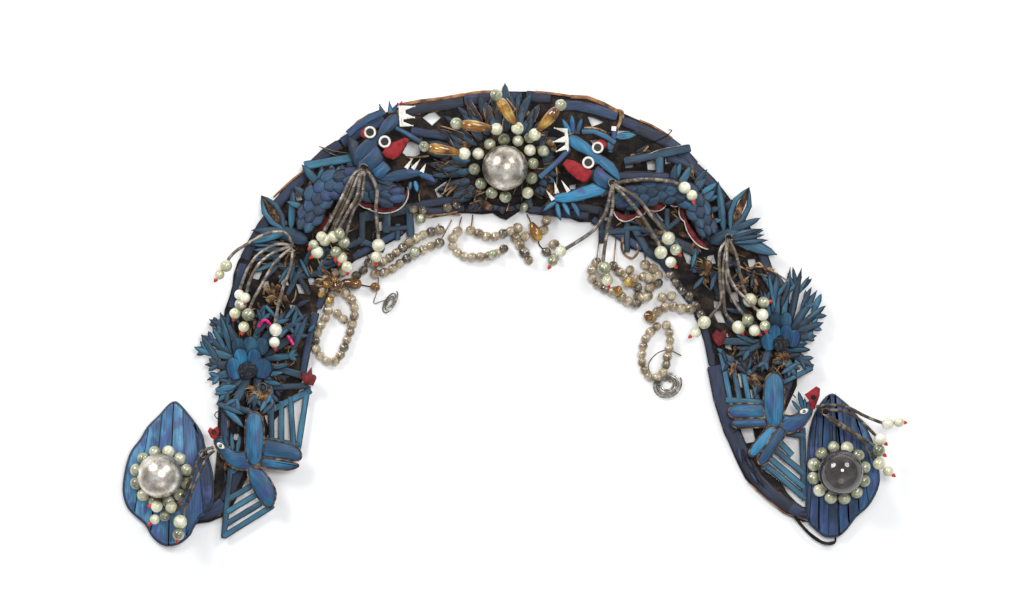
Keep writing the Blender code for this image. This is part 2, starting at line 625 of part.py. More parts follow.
def make_card_layers():
    """Fretwork, leaves, dragons and birds, each one node, on posts where another layer lies below."""
    fuse("fret_left", card_pieces(FRET_LEFT, SEAT), "feather_teal")
    fuse("fret_right", card_pieces(FRET_RIGHT, SEAT), "feather_teal")
    for side, rows, x, y in (("left", LEAVES_LEFT, -118, -20), ("right", LEAVES_RIGHT, 120.5, -12.5)):
        meshes = card_pieces(rows, LEAF_LEVEL) + [post(x, y, 4.5, SEAT, LEAF_LEVEL + 1.0)]
        fuse(f"leaves_{side}", meshes, "feather_teal")
    for side, rows, x, y in (("left", TAIL_LEFT, -95.2, 32.6), ("right", TAIL_RIGHT, 91.2, 33)):
        meshes = card_pieces(rows, LEAF_LEVEL) + [post(x, y, 2.5, SEAT, LEAF_LEVEL + 1.0)]
        fuse(f"dragon_{side}_tail", meshes, "feather_blue")
    fuse("dragon_left_belly", card_pieces(BELLY_LEFT, LEAF_LEVEL), "coral_red")
    fuse("dragon_right_belly", card_pieces(BELLY_RIGHT, LEAF_LEVEL), "coral_red")
    bodies = (
        ("left", BODY_LEFT, FINS_LEFT, (-78, 58.5), (-73.0, 66.0)),
        ("right", BODY_RIGHT, FINS_RIGHT, (73, 55), (66.0, 66.0)),
    )
    for side, sections, fins, first, second in bodies:
        meshes = [serpent(sections, MID_LEVEL, BODY_HEIGHT)] + card_pieces(fins, MID_LEVEL + 1.2)
        meshes += [post(*first, 2.0, SEAT, MID_LEVEL + 2.0), post(*second, 1.5, SEAT, MID_LEVEL + 2.0)]
        fuse(f"dragon_{side}_body", meshes, "feather_blue")
    heads = (("left", HEAD_LEFT, (-61, 79), (-66, 71)), ("right", HEAD_RIGHT, (35, 71.5), (44, 64.0)))
    for side, rows, first, second in heads:
        meshes = card_pieces(rows, HEAD_LEVEL)
        meshes += [post(*first, 2.0, SEAT, HEAD_LEVEL + 0.8), post(*second, 1.5, SEAT, HEAD_LEVEL + 0.8)]
        fuse(f"dragon_{side}_head", meshes, "feather_blue")
    for side, rows, x, y in (("left", TEETH_LEFT, -50.2, 88), ("right", TEETH_RIGHT, 24.8, 77)):
        level = HEAD_LEVEL + 0.6 + SHEET_THICK + CLEARANCE
        fuse(f"dragon_{side}_teeth", card_pieces(rows, level), "white_card")
    for side, rows in (("left", TONGUE_LEFT), ("right", TONGUE_RIGHT)):
        level = HEAD_LEVEL + SHEET_THICK + 0.9 + CLEARANCE
        fuse(f"dragon_{side}_tongue", card_pieces(rows, level), "coral_red")
    birds = (("left", BIRD_LEFT, BIRD_TAIL_LEFT, (-117.0, -50.0)), ("right", BIRD_RIGHT, BIRD_TAIL_RIGHT, (117.5, -32.0)))
    for side, rows, tail, where in birds:
        fuse(f"bird_{side}_tail", card_pieces(tail, SEAT), "feather_teal")
        meshes = card_pieces(rows, MID_LEVEL) + [post(*where, 1.8, SEAT, MID_LEVEL + 0.8)]
        fuse(f"bird_{side}", meshes, "feather_blue")
    for side, rows in (("left", COMB_LEFT), ("right", COMB_RIGHT)):
        fuse(f"comb_{side}", card_pieces(rows, MID_LEVEL + 0.4 + SHEET_THICK + 0.3 + 0.16), "coral_red")


# Lotus petals and hearts: x, y, width, length, turn in degrees, height above the leaves.
LOTUS_LEFT = [
    (-119.5, -26.0, 7.0, 8.0, 0, 3.4),
    (-125.5, -25.0, 6.0, 10.0, 10, 2.4),
    (-112.5, -25.0, 7.0, 9.0, -12, 2.4),
    (-122.5, -20.0, 5.5, 8.0, 8, 2.8),
    (-116.5, -20.0, 5.5, 8.0, -8, 2.8),
    (-123.5, -15.0, 5.5, 8.0, 6, 1.8),
    (-118.3, -14.5, 5.5, 8.0, 0, 2.0),
    (-113.0, -15.0, 5.5, 8.0, -6, 1.8),
]
LOTUS_RIGHT = [
    (120.5, -14.0, 5.8, 7.5, 0, 3.4),
    (114.8, -13.0, 5.5, 8.0, 12, 2.4),
    (126.3, -11.5, 5.2, 8.0, -12, 2.4),
    (117.8, -9.0, 5.0, 7.5, 8, 2.8),
    (122.8, -9.0, 5.0, 7.5, -8, 2.8),
    (118.5, -3.5, 4.8, 7.5, 4, 1.8),
    (123.0, -3.5, 4.6, 7.5, -6, 1.8),
]
LOTUS_HEIGHT = 3.6
# How far the leaves under a lotus have risen at its edge.
LOTUS_LEAF_RISE = 0.4


def make_lotuses():
    """The petals of both lotus flowers, on a disc that stands on their leaves."""
    seat = LEAF_LEVEL + SHEET_THICK + LOTUS_LEAF_RISE + CLEARANCE
    for side, rows, x, y in (("left", LOTUS_LEFT, -118.5, -20.5), ("right", LOTUS_RIGHT, 120.5, -9.5)):
        meshes = [post(x, y, 6.5, seat, seat + 2.6, 12)]
        for px, py, width, length, turn, lift in rows:
            stretch = (width / 2, length / 2, LOTUS_HEIGHT / 2)
            meshes.append(bead(px, py, seat + lift, 1.0, 6, 4, stretch, math.radians(turn)))
        fuse(f"lotus_{side}", meshes, "feather_blue", smooth=True)


# Half of each leaf-shaped plaque's outline as a smooth closed curve through these points.
PLAQUE_LEFT = [
    (-152, -40.2), (-142.5, -49.5), (-136, -68), (-136.5, -88), (-144.5, -99.5), (-155.5, -105.4),
    (-165, -98.0), (-174.5, -87), (-174.0, -67), (-164, -50.0),
]
PLAQUE_RIGHT = [
    (143.6, -36.6), (153.5, -45.5), (163.0, -60), (164.5, -77), (157.5, -90.0),
    (147, -100.8), (137, -98.8), (134.0, -85), (134.4, -63), (137.0, -46),
]
PLAQUE_THICK = 2.2
PLAQUE_TOP = SEAT + PLAQUE_THICK
HUB_TOP = 7.2
BALL_RADIUS = 10.2
RING_PEARL_RADIUS = 2.7
CUP_RADIUS = 5.0
CUP_HEIGHT = 2.5
# A row is name, ring's x, y and radius, number of pearls, first angle, ball's x, y, height of the seat.
SETTINGS = [
    ("left", -158.2, -74.0, 12.4, 12, 15, -158.5, -73.2, PLAQUE_TOP),
    ("right", 146.6, -72.2, 12.7, 12, 12, 147.2, -71.8, PLAQUE_TOP),
    ("centre", -4.0, 65.3, 13.2, 13, 5, -3.6, 64.9, HUB_TOP),
]


def closed_curve(points, pieces):
    """Points on a closed Catmull-Rom curve through the given ones."""
    knots = [Vector(p) for p in points]
    count = len(knots)
    outline = []
    for i in range(count):
        a, b, c, d = (knots[(i + k) % count] for k in (-1, 0, 1, 2))
        for step in range(pieces):
            t = step / pieces
            turn = (2 * a - 5 * b + 4 * c - d) * t**2 + (3 * b - a - 3 * c + d) * t**3
            outline.append(0.5 * (2 * b + (c - a) * t + turn))
    return [(p.x, p.y) for p in outline]


def make_plaques_and_settings():
    """The two end plaques, then the ball and pearl ring on each of them and on the crown flower."""
    for name, outline in (("plaque_left", PLAQUE_LEFT), ("plaque_right", PLAQUE_RIGHT)):
        fuse(name, [slab(closed_curve(outline, 3), SEAT, PLAQUE_TOP, 0.97)], "feather_blue")
    for name, ring_x, ring_y, ring_radius, count, first, ball_x, ball_y, seat in SETTINGS:
        ring_z = seat + CLEARANCE + RING_PEARL_RADIUS
        beads = []
        for number in range(count):
            angle = math.radians(first + 360 * number / count)
            x, y = ring_x + ring_radius * math.cos(angle), ring_y + ring_radius * math.sin(angle)
            beads.append((x, y, ring_z, RING_PEARL_RADIUS))
        fuse(f"pearl_ring_{name}", [bead_chain(beads, closed=True)], "glass_pearl", smooth=True)
        bottom = seat + CLEARANCE
        ball_z = bottom + CUP_HEIGHT + BALL_RADIUS * 0.86
        ball = bead(ball_x, ball_y, ball_z, BALL_RADIUS, 14, 8)
        cup = post(ball_x, ball_y, CUP_RADIUS, bottom, ball_z - 4, 10)
        fuse(f"ball_{name}", [ball, cup], "clear_glass" if name == "right" else "silvered_glass", smooth=True)


# The crown flower's leaves: count, inner reach, share of the outer reach, width, lift.
CROWN_X, CROWN_Y, CROWN_HUB_RADIUS = -4.0, 66.0, 19.5
CROWN_ROWS = [
    (17, 9.0, 1.00, 7.5, 0.0),
    (13, 8.0, 0.8, 7.0, 1.3),
]
# How far the outer leaves reach towards the right, the crown, the left and the brow.
CROWN_REACH = (25.5, 38.0, 37.0, 22.0)
# Amber drops that ray out of the crown flower: name, foot x, y, tip x, y, the end pearl's radius.
CROWN_RAYS = [
    ("ray_lower_left", -23.5, 71.5, -38.0, 74.0, 2.4),
    ("ray_upper_left", -9.0, 82.5, -23.2, 84.3, 2.8),
    ("ray_top", 1.2, 84.0, -6.3, 95.5, 2.8),
    ("ray_right", 10.8, 81.0, 20.0, 91.3, 2.7),
]
RAY_FOOT_Z = 17.5
RAY_TIP_Z = 21.0
RAY_STALK_REACH = 17.9
DROP_RADIUS = 2.8
DROP_PROFILE = [(0.0, 0.35), (0.25, 0.72), (0.6, 1.0), (0.88, 0.85), (1.0, 0.4)]


def crown_reach(angle):
    """The outer leaves' reach in a direction, blended between the four in CROWN_REACH."""
    across = CROWN_REACH[0] if math.cos(angle) > 0 else CROWN_REACH[2]
    upwards = CROWN_REACH[1] if math.sin(angle) > 0 else CROWN_REACH[3]
    return across * upwards / math.hypot(upwards * math.cos(angle), across * math.sin(angle))


def drop(foot, tip, radius):
    """A glass drop, fuller towards its tip."""
    a, b = Vector(foot), Vector(tip)
    return tube([(a.lerp(b, share), radius * width) for share, width in DROP_PROFILE], BEAD_SIDES)


def make_crown():
    """The leaves round the central ball, and the amber rays that stand over them."""
    meshes = [post(CROWN_X, CROWN_Y, CROWN_HUB_RADIUS, SEAT, HUB_TOP, 16)]
    for row, (count, inner, share, width, lift) in enumerate(CROWN_ROWS):
        for number in range(count):
            angle = 2 * math.pi * (number + 0.5 * row) / count + 0.09
            reach = crown_reach(angle) * share
            ray = Vector((math.cos(angle), math.sin(angle)))
            middle = Vector((CROWN_X, CROWN_Y))
            level = SEAT + 0.1 + lift + STAGGER * (number % 3)
            meshes.append(leaf(middle + ray * inner, middle + ray * reach, width, level))
    fuse("crown_leaves", meshes, "feather_teal")
    for name, foot_x, foot_y, tip_x, tip_y, pearl_radius in CROWN_RAYS:
        foot = Vector((foot_x, foot_y, RAY_FOOT_Z))
        tip = Vector((tip_x, tip_y, RAY_TIP_Z))
        inward = (foot - tip).normalized()
        out = Vector((foot_x - CROWN_X, foot_y - CROWN_Y)).normalized() * RAY_STALK_REACH
        stalk_x, stalk_y = CROWN_X + out.x, CROWN_Y + out.y
        meshes = [
            drop(foot, tip, DROP_RADIUS),
            bead(foot.x + inward.x * 1.6, foot.y + inward.y * 1.6, foot.z - 0.4, 2.9, rows=4),
            bead(*(tip - inward * pearl_radius * 0.8), pearl_radius, rows=5),
            tube([((stalk_x, stalk_y, HUB_TOP + CLEARANCE), 1.3), ((stalk_x, stalk_y + 0.01, 9.0), 0.9),
                  ((foot.x + inward.x, foot.y + inward.y, foot.z - 0.5), 0.9)], 6),
        ]
        fuse(name, meshes, "amber_glass", smooth=True)


# Springs by group. A spring is its route's x, y points, its height at the root and at the end, then its
# pearls as x, y, radius and its tip as x, y.
SPRING_GROUPS = {
    "springs_left_tail": {
        "post": (-99.5, 28.8, 1.3, SEAT, 12.4),
        "springs": [
            ([(-99, 30.5), (-102, 35.5), (-107, 36.3), (-113, 34.5), (-119, 31), (-124, 28), (-127.5, 24.5)],
             11.5, 13.0, [(-129, 21, 2.8), (-132, 17, 2.3)], (-134, 14)),
            ([(-99, 30), (-105, 30.8), (-110, 29), (-115, 25.5), (-119, 20), (-121.5, 14), (-122.6, 11)],
             11.5, 11.0, [(-123, 8, 2.4), (-122.5, 3.5, 2.8), (-125, -0.5, 2.6)], (-125.7, -3.5)),
            ([(-99, 29.5), (-104, 25.5), (-108, 21), (-112, 14), (-116, 7), (-118, 2.5)],
             11.5, 13.0, [(-119, -1, 3.0), (-121, -6.5, 2.5)], (-121.8, -9.8)),
            ([(-99, 29), (-100, 20), (-103, 12), (-105, 5), (-107, -4.5)],
             11.5, 12.0, [(-106.7, -7.8, 3.0), (-107.3, -13.4, 2.5)], (-106.8, -16.8)),
        ],
    },
    "springs_left_head": {
        "post": (-67.0, 65.0, 1.4, HEAD_LEVEL + 2.2, 19.5),
        "springs": [
            ([(-67.5, 64.5), (-71, 62), (-74, 54), (-79, 43), (-81.8, 36.2)],
             19.0, 14.0, [(-84.5, 32.5, 2.8), (-88, 27, 2.9)], (-91, 24.5)),
            ([(-67, 64), (-69.5, 61), (-73, 52), (-78, 42), (-79.8, 37.5)],
             19.0, 15.5, [(-80.5, 34, 2.7), (-79.5, 27, 2.7)], (-79.7, 23)),
            ([(-66.5, 64), (-66.8, 61), (-68, 52), (-72, 45), (-75, 35)],
             19.0, 14.5, [(-76.0, 31.5, 2.8), (-77, 24.6, 2.6)], (-78.2, 21.3)),
            ([(-66, 64), (-63, 60), (-61, 54), (-61.5, 46), (-60.5, 33.5)],
             19.0, 13.0, [(-60.5, 30.2, 3.0), (-61.5, 25, 2.5)], (-61.5, 21.4)),
        ],
    },
    "springs_left_plaque": {
        "post": (-139.4, -63.6, 1.3, PLAQUE_TOP + CLEARANCE, 14.8),
        "springs": [
            ([(-134.8, -60.6), (-139, -62.5), (-143, -70), (-146, -78), (-149.5, -85)],
             13.0, 14.5, [(-153.5, -87.5, 2.8), (-160, -87.2, 2.7)], (-163.7, -86.8)),
            ([(-134.4, -62), (-138, -66), (-142.5, -76), (-146, -85), (-148.5, -90.5)],
             13.0, 14.5, [(-149.5, -94, 3.2), (-150.3, -99.7, 2.7)], (-151, -103)),
            ([(-148.6, -85.4), (-151.0, -88.5), (-153.0, -89.5)],
             14.5, 13.0, [(-156.5, -91.5, 2.5), (-161, -93.0, 2.3)], (-163.7, -95.5)),
        ],
    },
    "springs_right_head": {
        "post": (44.5, 58.2, 1.4, HEAD_LEVEL + 2.2, 19.5),
        "springs": [
            ([(45, 58), (56, 59.5), (65, 59.5), (73.5, 58)],
             19.0, 17.0, [(77, 56, 2.8), (80.3, 52.6, 2.5)], (81.3, 49.0)),
            ([(44.5, 57.5), (42.5, 48), (40, 42), (35, 36), (24.8, 29.3)],
             19.0, 12.0, [(21.5, 27.5, 2.6), (17.8, 23.0, 2.4)], (16, 19.8)),
            ([(44.8, 57.5), (44.5, 46), (42.5, 38), (40.6, 24)],
             19.0, 12.0, [(41, 20, 3.0), (42.5, 14.4, 2.5)], (43.0, 11.2)),
            ([(45, 57.5), (54, 48), (60, 40), (65.4, 31)],
             19.0, 12.0, [(66.5, 27, 3.0), (71, 22.6, 2.6)], (73.5, 20.3)),
            ([(45, 57.8), (56, 51), (62, 43.5), (67.5, 37)],
             19.0, 13.0, [(69.9, 33.3, 3.1), (73.2, 28.2, 2.7)], (75.3, 25.4)),
        ],
    },
    "springs_right_tail": {
        "post": (97.0, 33.6, 1.3, LEAF_LEVEL + SHEET_THICK + 0.1 + CLEARANCE, 14.5),
        "springs": [
            ([(96.5, 33), (92.8, 27), (93, 14), (93.5, 5), (89.0, -1.5)],
             14.0, 12.0, [(86, -4.5, 3.0), (82, -8.9, 2.5)], (79.2, -11.2)),
            ([(97, 33), (100.5, 25), (102, 17), (104.3, 9)],
             14.0, 13.0, [(106.5, 5.5, 3.2), (112.6, 4.6, 2.7)], (116.0, 5)),
            ([(96.6, 33), (96, 23), (96.5, 12), (100, 4), (103.5, -0.6)],
             14.0, 13.0, [(105.7, -3.2, 2.8), (108.6, -8, 2.7)], (111.3, -10)),
            ([(96.4, 33), (94.4, 20), (94.6, 10), (95.5, 0), (99, -4.2)],
             14.0, 10.5, [(101.5, -6.7, 3.1)], (103.4, -9.6)),
            ([(96.6, 33), (96, 22), (98.5, 13), (105, 5.5), (109.6, 1)],
             14.0, 16.0, [(112, -1, 2.8), (113.2, -6, 2.5)], (113.8, -9.0)),
        ],
    },
    "springs_right_bird": {
        "post": (140.5, -44.6, 1.3, PLAQUE_TOP + CLEARANCE, 14.6),
        "springs": [
            ([(136, -42.5), (142, -41.5), (150, -42.5), (158, -46.5), (165, -49.3)],
             13.0, 15.0, [(168.3, -50, 2.8), (173.4, -49.2, 2.4)], (176.4, -49.5)),
            ([(138, -43.5), (149, -44.5), (156, -48.5), (162.2, -54.6)],
             13.0, 14.0, [(165, -57, 2.8)], (168.0, -59.4)),
            ([(138, -44.4), (145, -48.5), (153, -54), (161.6, -59.4)],
             13.0, 12.0, [(164.5, -62.0, 2.9)], (167.6, -64.6)),
            ([(139, -45), (145, -49.8), (155, -56), (159, -61), (162, -65.5)],
             13.0, 13.0, [(164.5, -68, 2.8), (168.7, -71.4, 2.4)], (171.6, -73.6)),
        ],
    },
}


def make_springs():
    """Each group of coil springs with its pearls and red tips, on one post."""
    for name, group in SPRING_GROUPS.items():
        meshes = [post(*group["post"], 8)]
        for number, (route, root_z, end_z, pearls, tip) in enumerate(group["springs"]):
            points = [Vector((x, y, 0)) for x, y in route]
            for i, point in enumerate(points):
                share = i / (len(points) - 1)
                hump = 1.5 * math.sin(math.pi * share)
                point.z = root_z + (end_z - root_z) * share + hump + 0.07 * number
            last = Vector((pearls[0][0], pearls[0][1], end_z))
            path = smooth_path(points + [last], SPRING_STATIONS)[:: len(points)]
            meshes.append(tube([(p, SPRING_RADIUS) for p in path], SPRING_SIDES))
            beads = [(x, y, end_z, radius) for x, y, radius in pearls]
            meshes.append(bead_chain(beads, tip=(*tip, end_z)))
        fuse(name, meshes, "spring_wire", smooth=True)


# Strings of beads lying in the arch: x, y of each bare end, then beads as x, y, radius.
STRINGS = {
    "beads_left_upper": (
        (-66.3, 26.0), (-33.6, 40.2),
        [(-62.5, 22, 2.1), (-58, 23.2, 2.1), (-54, 26, 2.1), (-50, 29, 2.1), (-46, 32, 2.1), (-42, 34.3, 2.1),
         (-37.6, 36.2, 2.1), (-33.2, 37.2, 2.1)],
    ),
    "beads_left_lower": (
        None, (-27.7, 41.8),
        [(-62, 17.4, 2.1), (-57.4, 18.2, 2.1), (-53.2, 20.4, 2.1), (-49.5, 23.2, 2.1), (-45.6, 25.6, 2.1),
         (-41.5, 27.8, 2.1), (-37.3, 29.7, 2.1), (-33.2, 31.4, 2.1)],
    ),
    "beads_left_loop": (
        (-85.5, 5.0), None,
        [(-82.8, 4.6, 2.2), (-83.6, 0.5, 2.0), (-85.0, -3.5, 2.0), (-87.5, -7.5, 2.0),
         (-89, -12.5, 2.0), (-88.5, -17.5, 2.0), (-85, -21.5, 2.0), (-80.3, -22, 2.0), (-77.3, -18.2, 2.0),
         (-75.5, -13.8, 2.0), (-73.7, -9.4, 2.0), (-72.3, -4.8, 2.0), (-71.5, 0, 2.0), (-72.4, 4.6, 2.2),
         (-75.4, 8.4, 2.3)],
    ),
    "beads_left_amber": (
        (-79.0, 14.2), None,
        [(-76.6, 13.6, 2.4), (-71.8, 13.2, 2.4), (-66.5, 12.0, 2.7), (-62.2, 11.4, 2.0)],
    ),
    "beads_middle": (
        (-23.2, 43.2), None,
        [(-25, 36.5, 2.1), (-27.6, 32.0, 2.1), (-25.5, 27.5, 2.1), (-21.3, 25.2, 2.1), (-16.8, 25.0, 2.1),
         (-12.3, 25.4, 2.1), (-8, 26.4, 2.1), (-4.2, 28.6, 2.0)],
    ),
    "beads_middle_top": (
        (-18.2, 44.0), None,
        [(-19, 37.0, 2.1), (-14.6, 35.4, 2.1), (-10.2, 34.0, 2.1), (-5.6, 35.2, 2.1), (-1.0, 36.6, 2.1),
         (1.8, 32.6, 2.3), (4.4, 28.2, 2.5), (7.0, 23.6, 2.0)],
    ),
    "beads_centre_drop": (
        (6.2, 44.4), None,
        [(8.6, 39.6, 2.6), (11.4, 35.8, 2.4), (11.8, 30.8, 2.4), (15.0, 27.2, 2.2)],
    ),
    "beads_right_loop": (
        (39.4, 36.9), None,
        [(37.6, 22.6, 2.1), (35.4, 18.2, 2.1), (36.6, 13.6, 2.1), (40.8, 11.0, 2.1), (45.6, 9.2, 2.3),
         (50.2, 6.0, 2.5), (54.8, 3.8, 2.2), (58.6, 6.6, 2.1)],
    ),
    "beads_right_cross": (
        (46.5, 33.8), None,
        [(45.4, 21.0, 2.1), (48.6, 17.6, 2.1), (52.4, 14.4, 2.3), (56.2, 11.4, 2.1)],
    ),
    "beads_right_rosette": (
        (59.5, 27.0), None,
        [(59.8, 21.4, 2.2), (64.4, 19.0, 2.2), (66.0, 14.2, 2.2), (62.0, 11.2, 2.2)],
    ),
    "beads_right_amber": (
        (82.7, 1.9), None,
        [(80.2, 1.6, 2.2), (75.4, 1.8, 2.3), (70.6, 3.0, 2.2), (66.0, 0.8, 2.3), (62.2, -2.2, 2.6)],
    ),
    "beads_right_hanging": (
        None, None,
        [(64.8, -6.4, 2.0), (61.0, -10, 2.0), (59.0, -14.6, 2.0), (58.2, -19.6, 2.0), (58.7, -24.4, 2.0),
         (61, -28.6, 2.0), (65.6, -29.2, 2.0), (68.6, -25.4, 2.0), (69.6, -20.6, 2.0), (70.6, -15.6, 2.0),
         (71, -10.6, 2.0), (69.4, -5.8, 2.0)],
    ),
}
STRING_COLOURS = {"beads_left_amber": "amber_glass", "beads_centre_drop": "amber_glass"}


def make_strings():
    """The strings of glass beads, lying on the surface inside the arch."""
    for name, (lead_in, lead_out, beads) in STRINGS.items():
        string = bead_string(beads, lead_in, lead_out)
        fuse(name, [string], STRING_COLOURS.get(name, "smoky_glass"), smooth=True)


# The wire hook under the right plaque: x, y.
HOOK_ROUTE = [(127.0, -92.0), (131, -97.0), (136, -101.8), (141, -104.2), (145.2, -103.8)]
HOOK_RADIUS = 0.7


def make_hook():
    """The bent wire hook at the right end of the band."""
    path = smooth_path([(x, y, 3.2) for x, y in HOOK_ROUTE], 3)
    fuse("hook", [tube([(p, HOOK_RADIUS) for p in path], 6)], "spring_wire", smooth=True)


clear_scene()
make_band()
make_card_layers()
make_lotuses()
make_plaques_and_settings()
make_crown()
make_springs()
make_strings()
make_hook()
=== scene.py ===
"""The kingfisher feather headdress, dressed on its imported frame: feathered card, glass, wire and beads.

Sizes in the tables are millimetres in the frame's own axes, and MM turns them into metres.
"""

import json
import logging
import math
import random
from dataclasses import dataclass, field
from enum import Enum
from typing import Sequence

import bmesh
import bpy
import numpy as np
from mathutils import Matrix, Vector

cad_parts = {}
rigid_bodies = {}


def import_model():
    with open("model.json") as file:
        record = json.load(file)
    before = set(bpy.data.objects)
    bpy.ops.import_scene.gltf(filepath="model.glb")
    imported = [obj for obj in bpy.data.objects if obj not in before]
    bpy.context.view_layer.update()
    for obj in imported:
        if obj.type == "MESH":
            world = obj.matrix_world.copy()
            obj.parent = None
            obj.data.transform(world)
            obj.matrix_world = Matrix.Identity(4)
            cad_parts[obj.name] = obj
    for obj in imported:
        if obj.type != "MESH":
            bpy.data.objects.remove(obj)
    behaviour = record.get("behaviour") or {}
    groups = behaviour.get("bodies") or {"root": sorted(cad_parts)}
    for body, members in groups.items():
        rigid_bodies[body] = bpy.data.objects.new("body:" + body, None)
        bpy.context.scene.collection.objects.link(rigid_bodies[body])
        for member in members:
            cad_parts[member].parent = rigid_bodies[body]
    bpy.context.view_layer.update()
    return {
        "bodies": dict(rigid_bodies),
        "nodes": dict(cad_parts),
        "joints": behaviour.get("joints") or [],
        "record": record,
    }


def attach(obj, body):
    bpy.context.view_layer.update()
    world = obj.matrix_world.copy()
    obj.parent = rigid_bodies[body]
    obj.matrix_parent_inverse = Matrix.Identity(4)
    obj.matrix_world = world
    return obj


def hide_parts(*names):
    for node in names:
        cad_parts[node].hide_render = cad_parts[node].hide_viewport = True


MM = 0.001
LOG = logging.getLogger("headdress")

# Levels of the card layers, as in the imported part.
BAND_TOP = 2.4
SEAT = 2.7
CLEARANCE = 0.3
LEAF_LEVEL = 4.6
LEAF_RISE = 1.1
SHEET = 1.3
MID_LEVEL = 7.6
HEAD_LEVEL = 13.4
PLAQUE_TOP = 4.9
HUB_TOP = 7.2
# Smooth shading below this angle, the steady spread of tones, the balls' radius, the step between rows of scales,
# and the width that marks a tail leaf of two blades over torn paper.
SMOOTH_BELOW = math.radians(38)
GOLDEN_SHARE = 0.618034
BALL_RADIUS = 10.2
SCALE_STEP = 4.6
PAIRED_LEAF = 7.5
# Feathered plates: card thickness, top over underside, the rim's fold and the least upward tilt of a face.
CARD_THICK = 0.5
BLADE_TOP = 0.92
PLATE_TOP = 0.95
RIM_DROP = 0.25
RIM_WIDTH = 0.28
CROWN_WIDTH = 0.75
FACE_TILT = 0.35
# Steps by which the feather pattern moves on from copy to copy, with the piece's name, and across.
COPY_SHIFT = 7.31
NAME_SHIFT = 3.7
CROSS_SHIFT = 1.7


# ---------------------------------------------------------------- finishes


def linear(colour: str) -> tuple[float, float, float, float]:
    """Turns an sRGB hex colour into linear light.

    Args:
        colour: six hex digits, with or without a leading #.

    Returns:
        Red, green, blue and an alpha of one.
    """
    digits = colour.lstrip("#")
    parts = [int(digits[i : i + 2], 16) / 255 for i in (0, 2, 4)]
    light = [p / 12.92 if p <= 0.04045 else ((p + 0.055) / 1.055) ** 2.4 for p in parts]
    return (*light, 1.0)


def add_node(tree: bpy.types.NodeTree, kind: str, settings: dict, links: dict) -> bpy.types.Node:
    """Adds one node with its settings and links.

    Args:
        tree: the material's node tree.
        kind: the node's type name, without the leading ShaderNode.
        settings: properties and unlinked sockets by name or number; "ramp" holds stops of position and hex.
        links: sockets by name or number, and the output that feeds each.

    Returns:
        The new node.
    """
    node = tree.nodes.new("ShaderNode" + kind)
    for key, value in settings.items():
        if key == "ramp":
            stops = node.color_ramp.elements
            while len(stops) < len(value):
                stops.new(0.5)
            for stop, (position, colour) in zip(stops, value):
                stop.position = position
                stop.color = linear(colour)
        elif isinstance(key, str) and hasattr(node, key):
            setattr(node, key, value)
        else:
            node.inputs[key].default_value = value
    for key, source in links.items():
        tree.links.new(source, node.inputs[key])
    return node


@dataclass(frozen=True)
class Finish:
    """One finish of the headdress, made as a material on first use."""

    name: str

    def material(self) -> bpy.types.Material:
        """Finds or makes the material.

        Returns:
            The material that carries this finish.
        """
        found = bpy.data.materials.get(self.name)
        if found is None:
            found = bpy.data.materials.new(self.name)
            found.use_nodes = True
            self.dress(found.node_tree, found.node_tree.nodes["Principled BSDF"])
        return found

    def dress(self, tree: bpy.types.NodeTree, shader: bpy.types.Node) -> None:
        """Builds the finish's nodes.

        Args:
            tree: the material's node tree.
            shader: its Principled shader.
        """
        raise NotImplementedError

    @staticmethod
    def mottle(
        tree: bpy.types.NodeTree, size: float, detail: float = 3.0, stretch: tuple = (1, 1, 1),
    ) -> bpy.types.Node:
        """Adds a noise on the piece's own coordinates.

        Args:
            tree: the material's node tree.
            size: the width of one patch in millimetres.
            detail: the octaves of finer noise.
            stretch: how much finer the pattern is along each axis.

        Returns:
            The noise node.
        """
        where = add_node(tree, "TexCoord", {}, {})
        turned = add_node(tree, "Mapping", {"Scale": stretch}, {"Vector": where.outputs["Object"]})
        settings = {"Scale": 1 / (size * MM), "Detail": detail, "Roughness": 0.6}
        return add_node(tree, "TexNoise", settings, {"Vector": turned.outputs[0]})


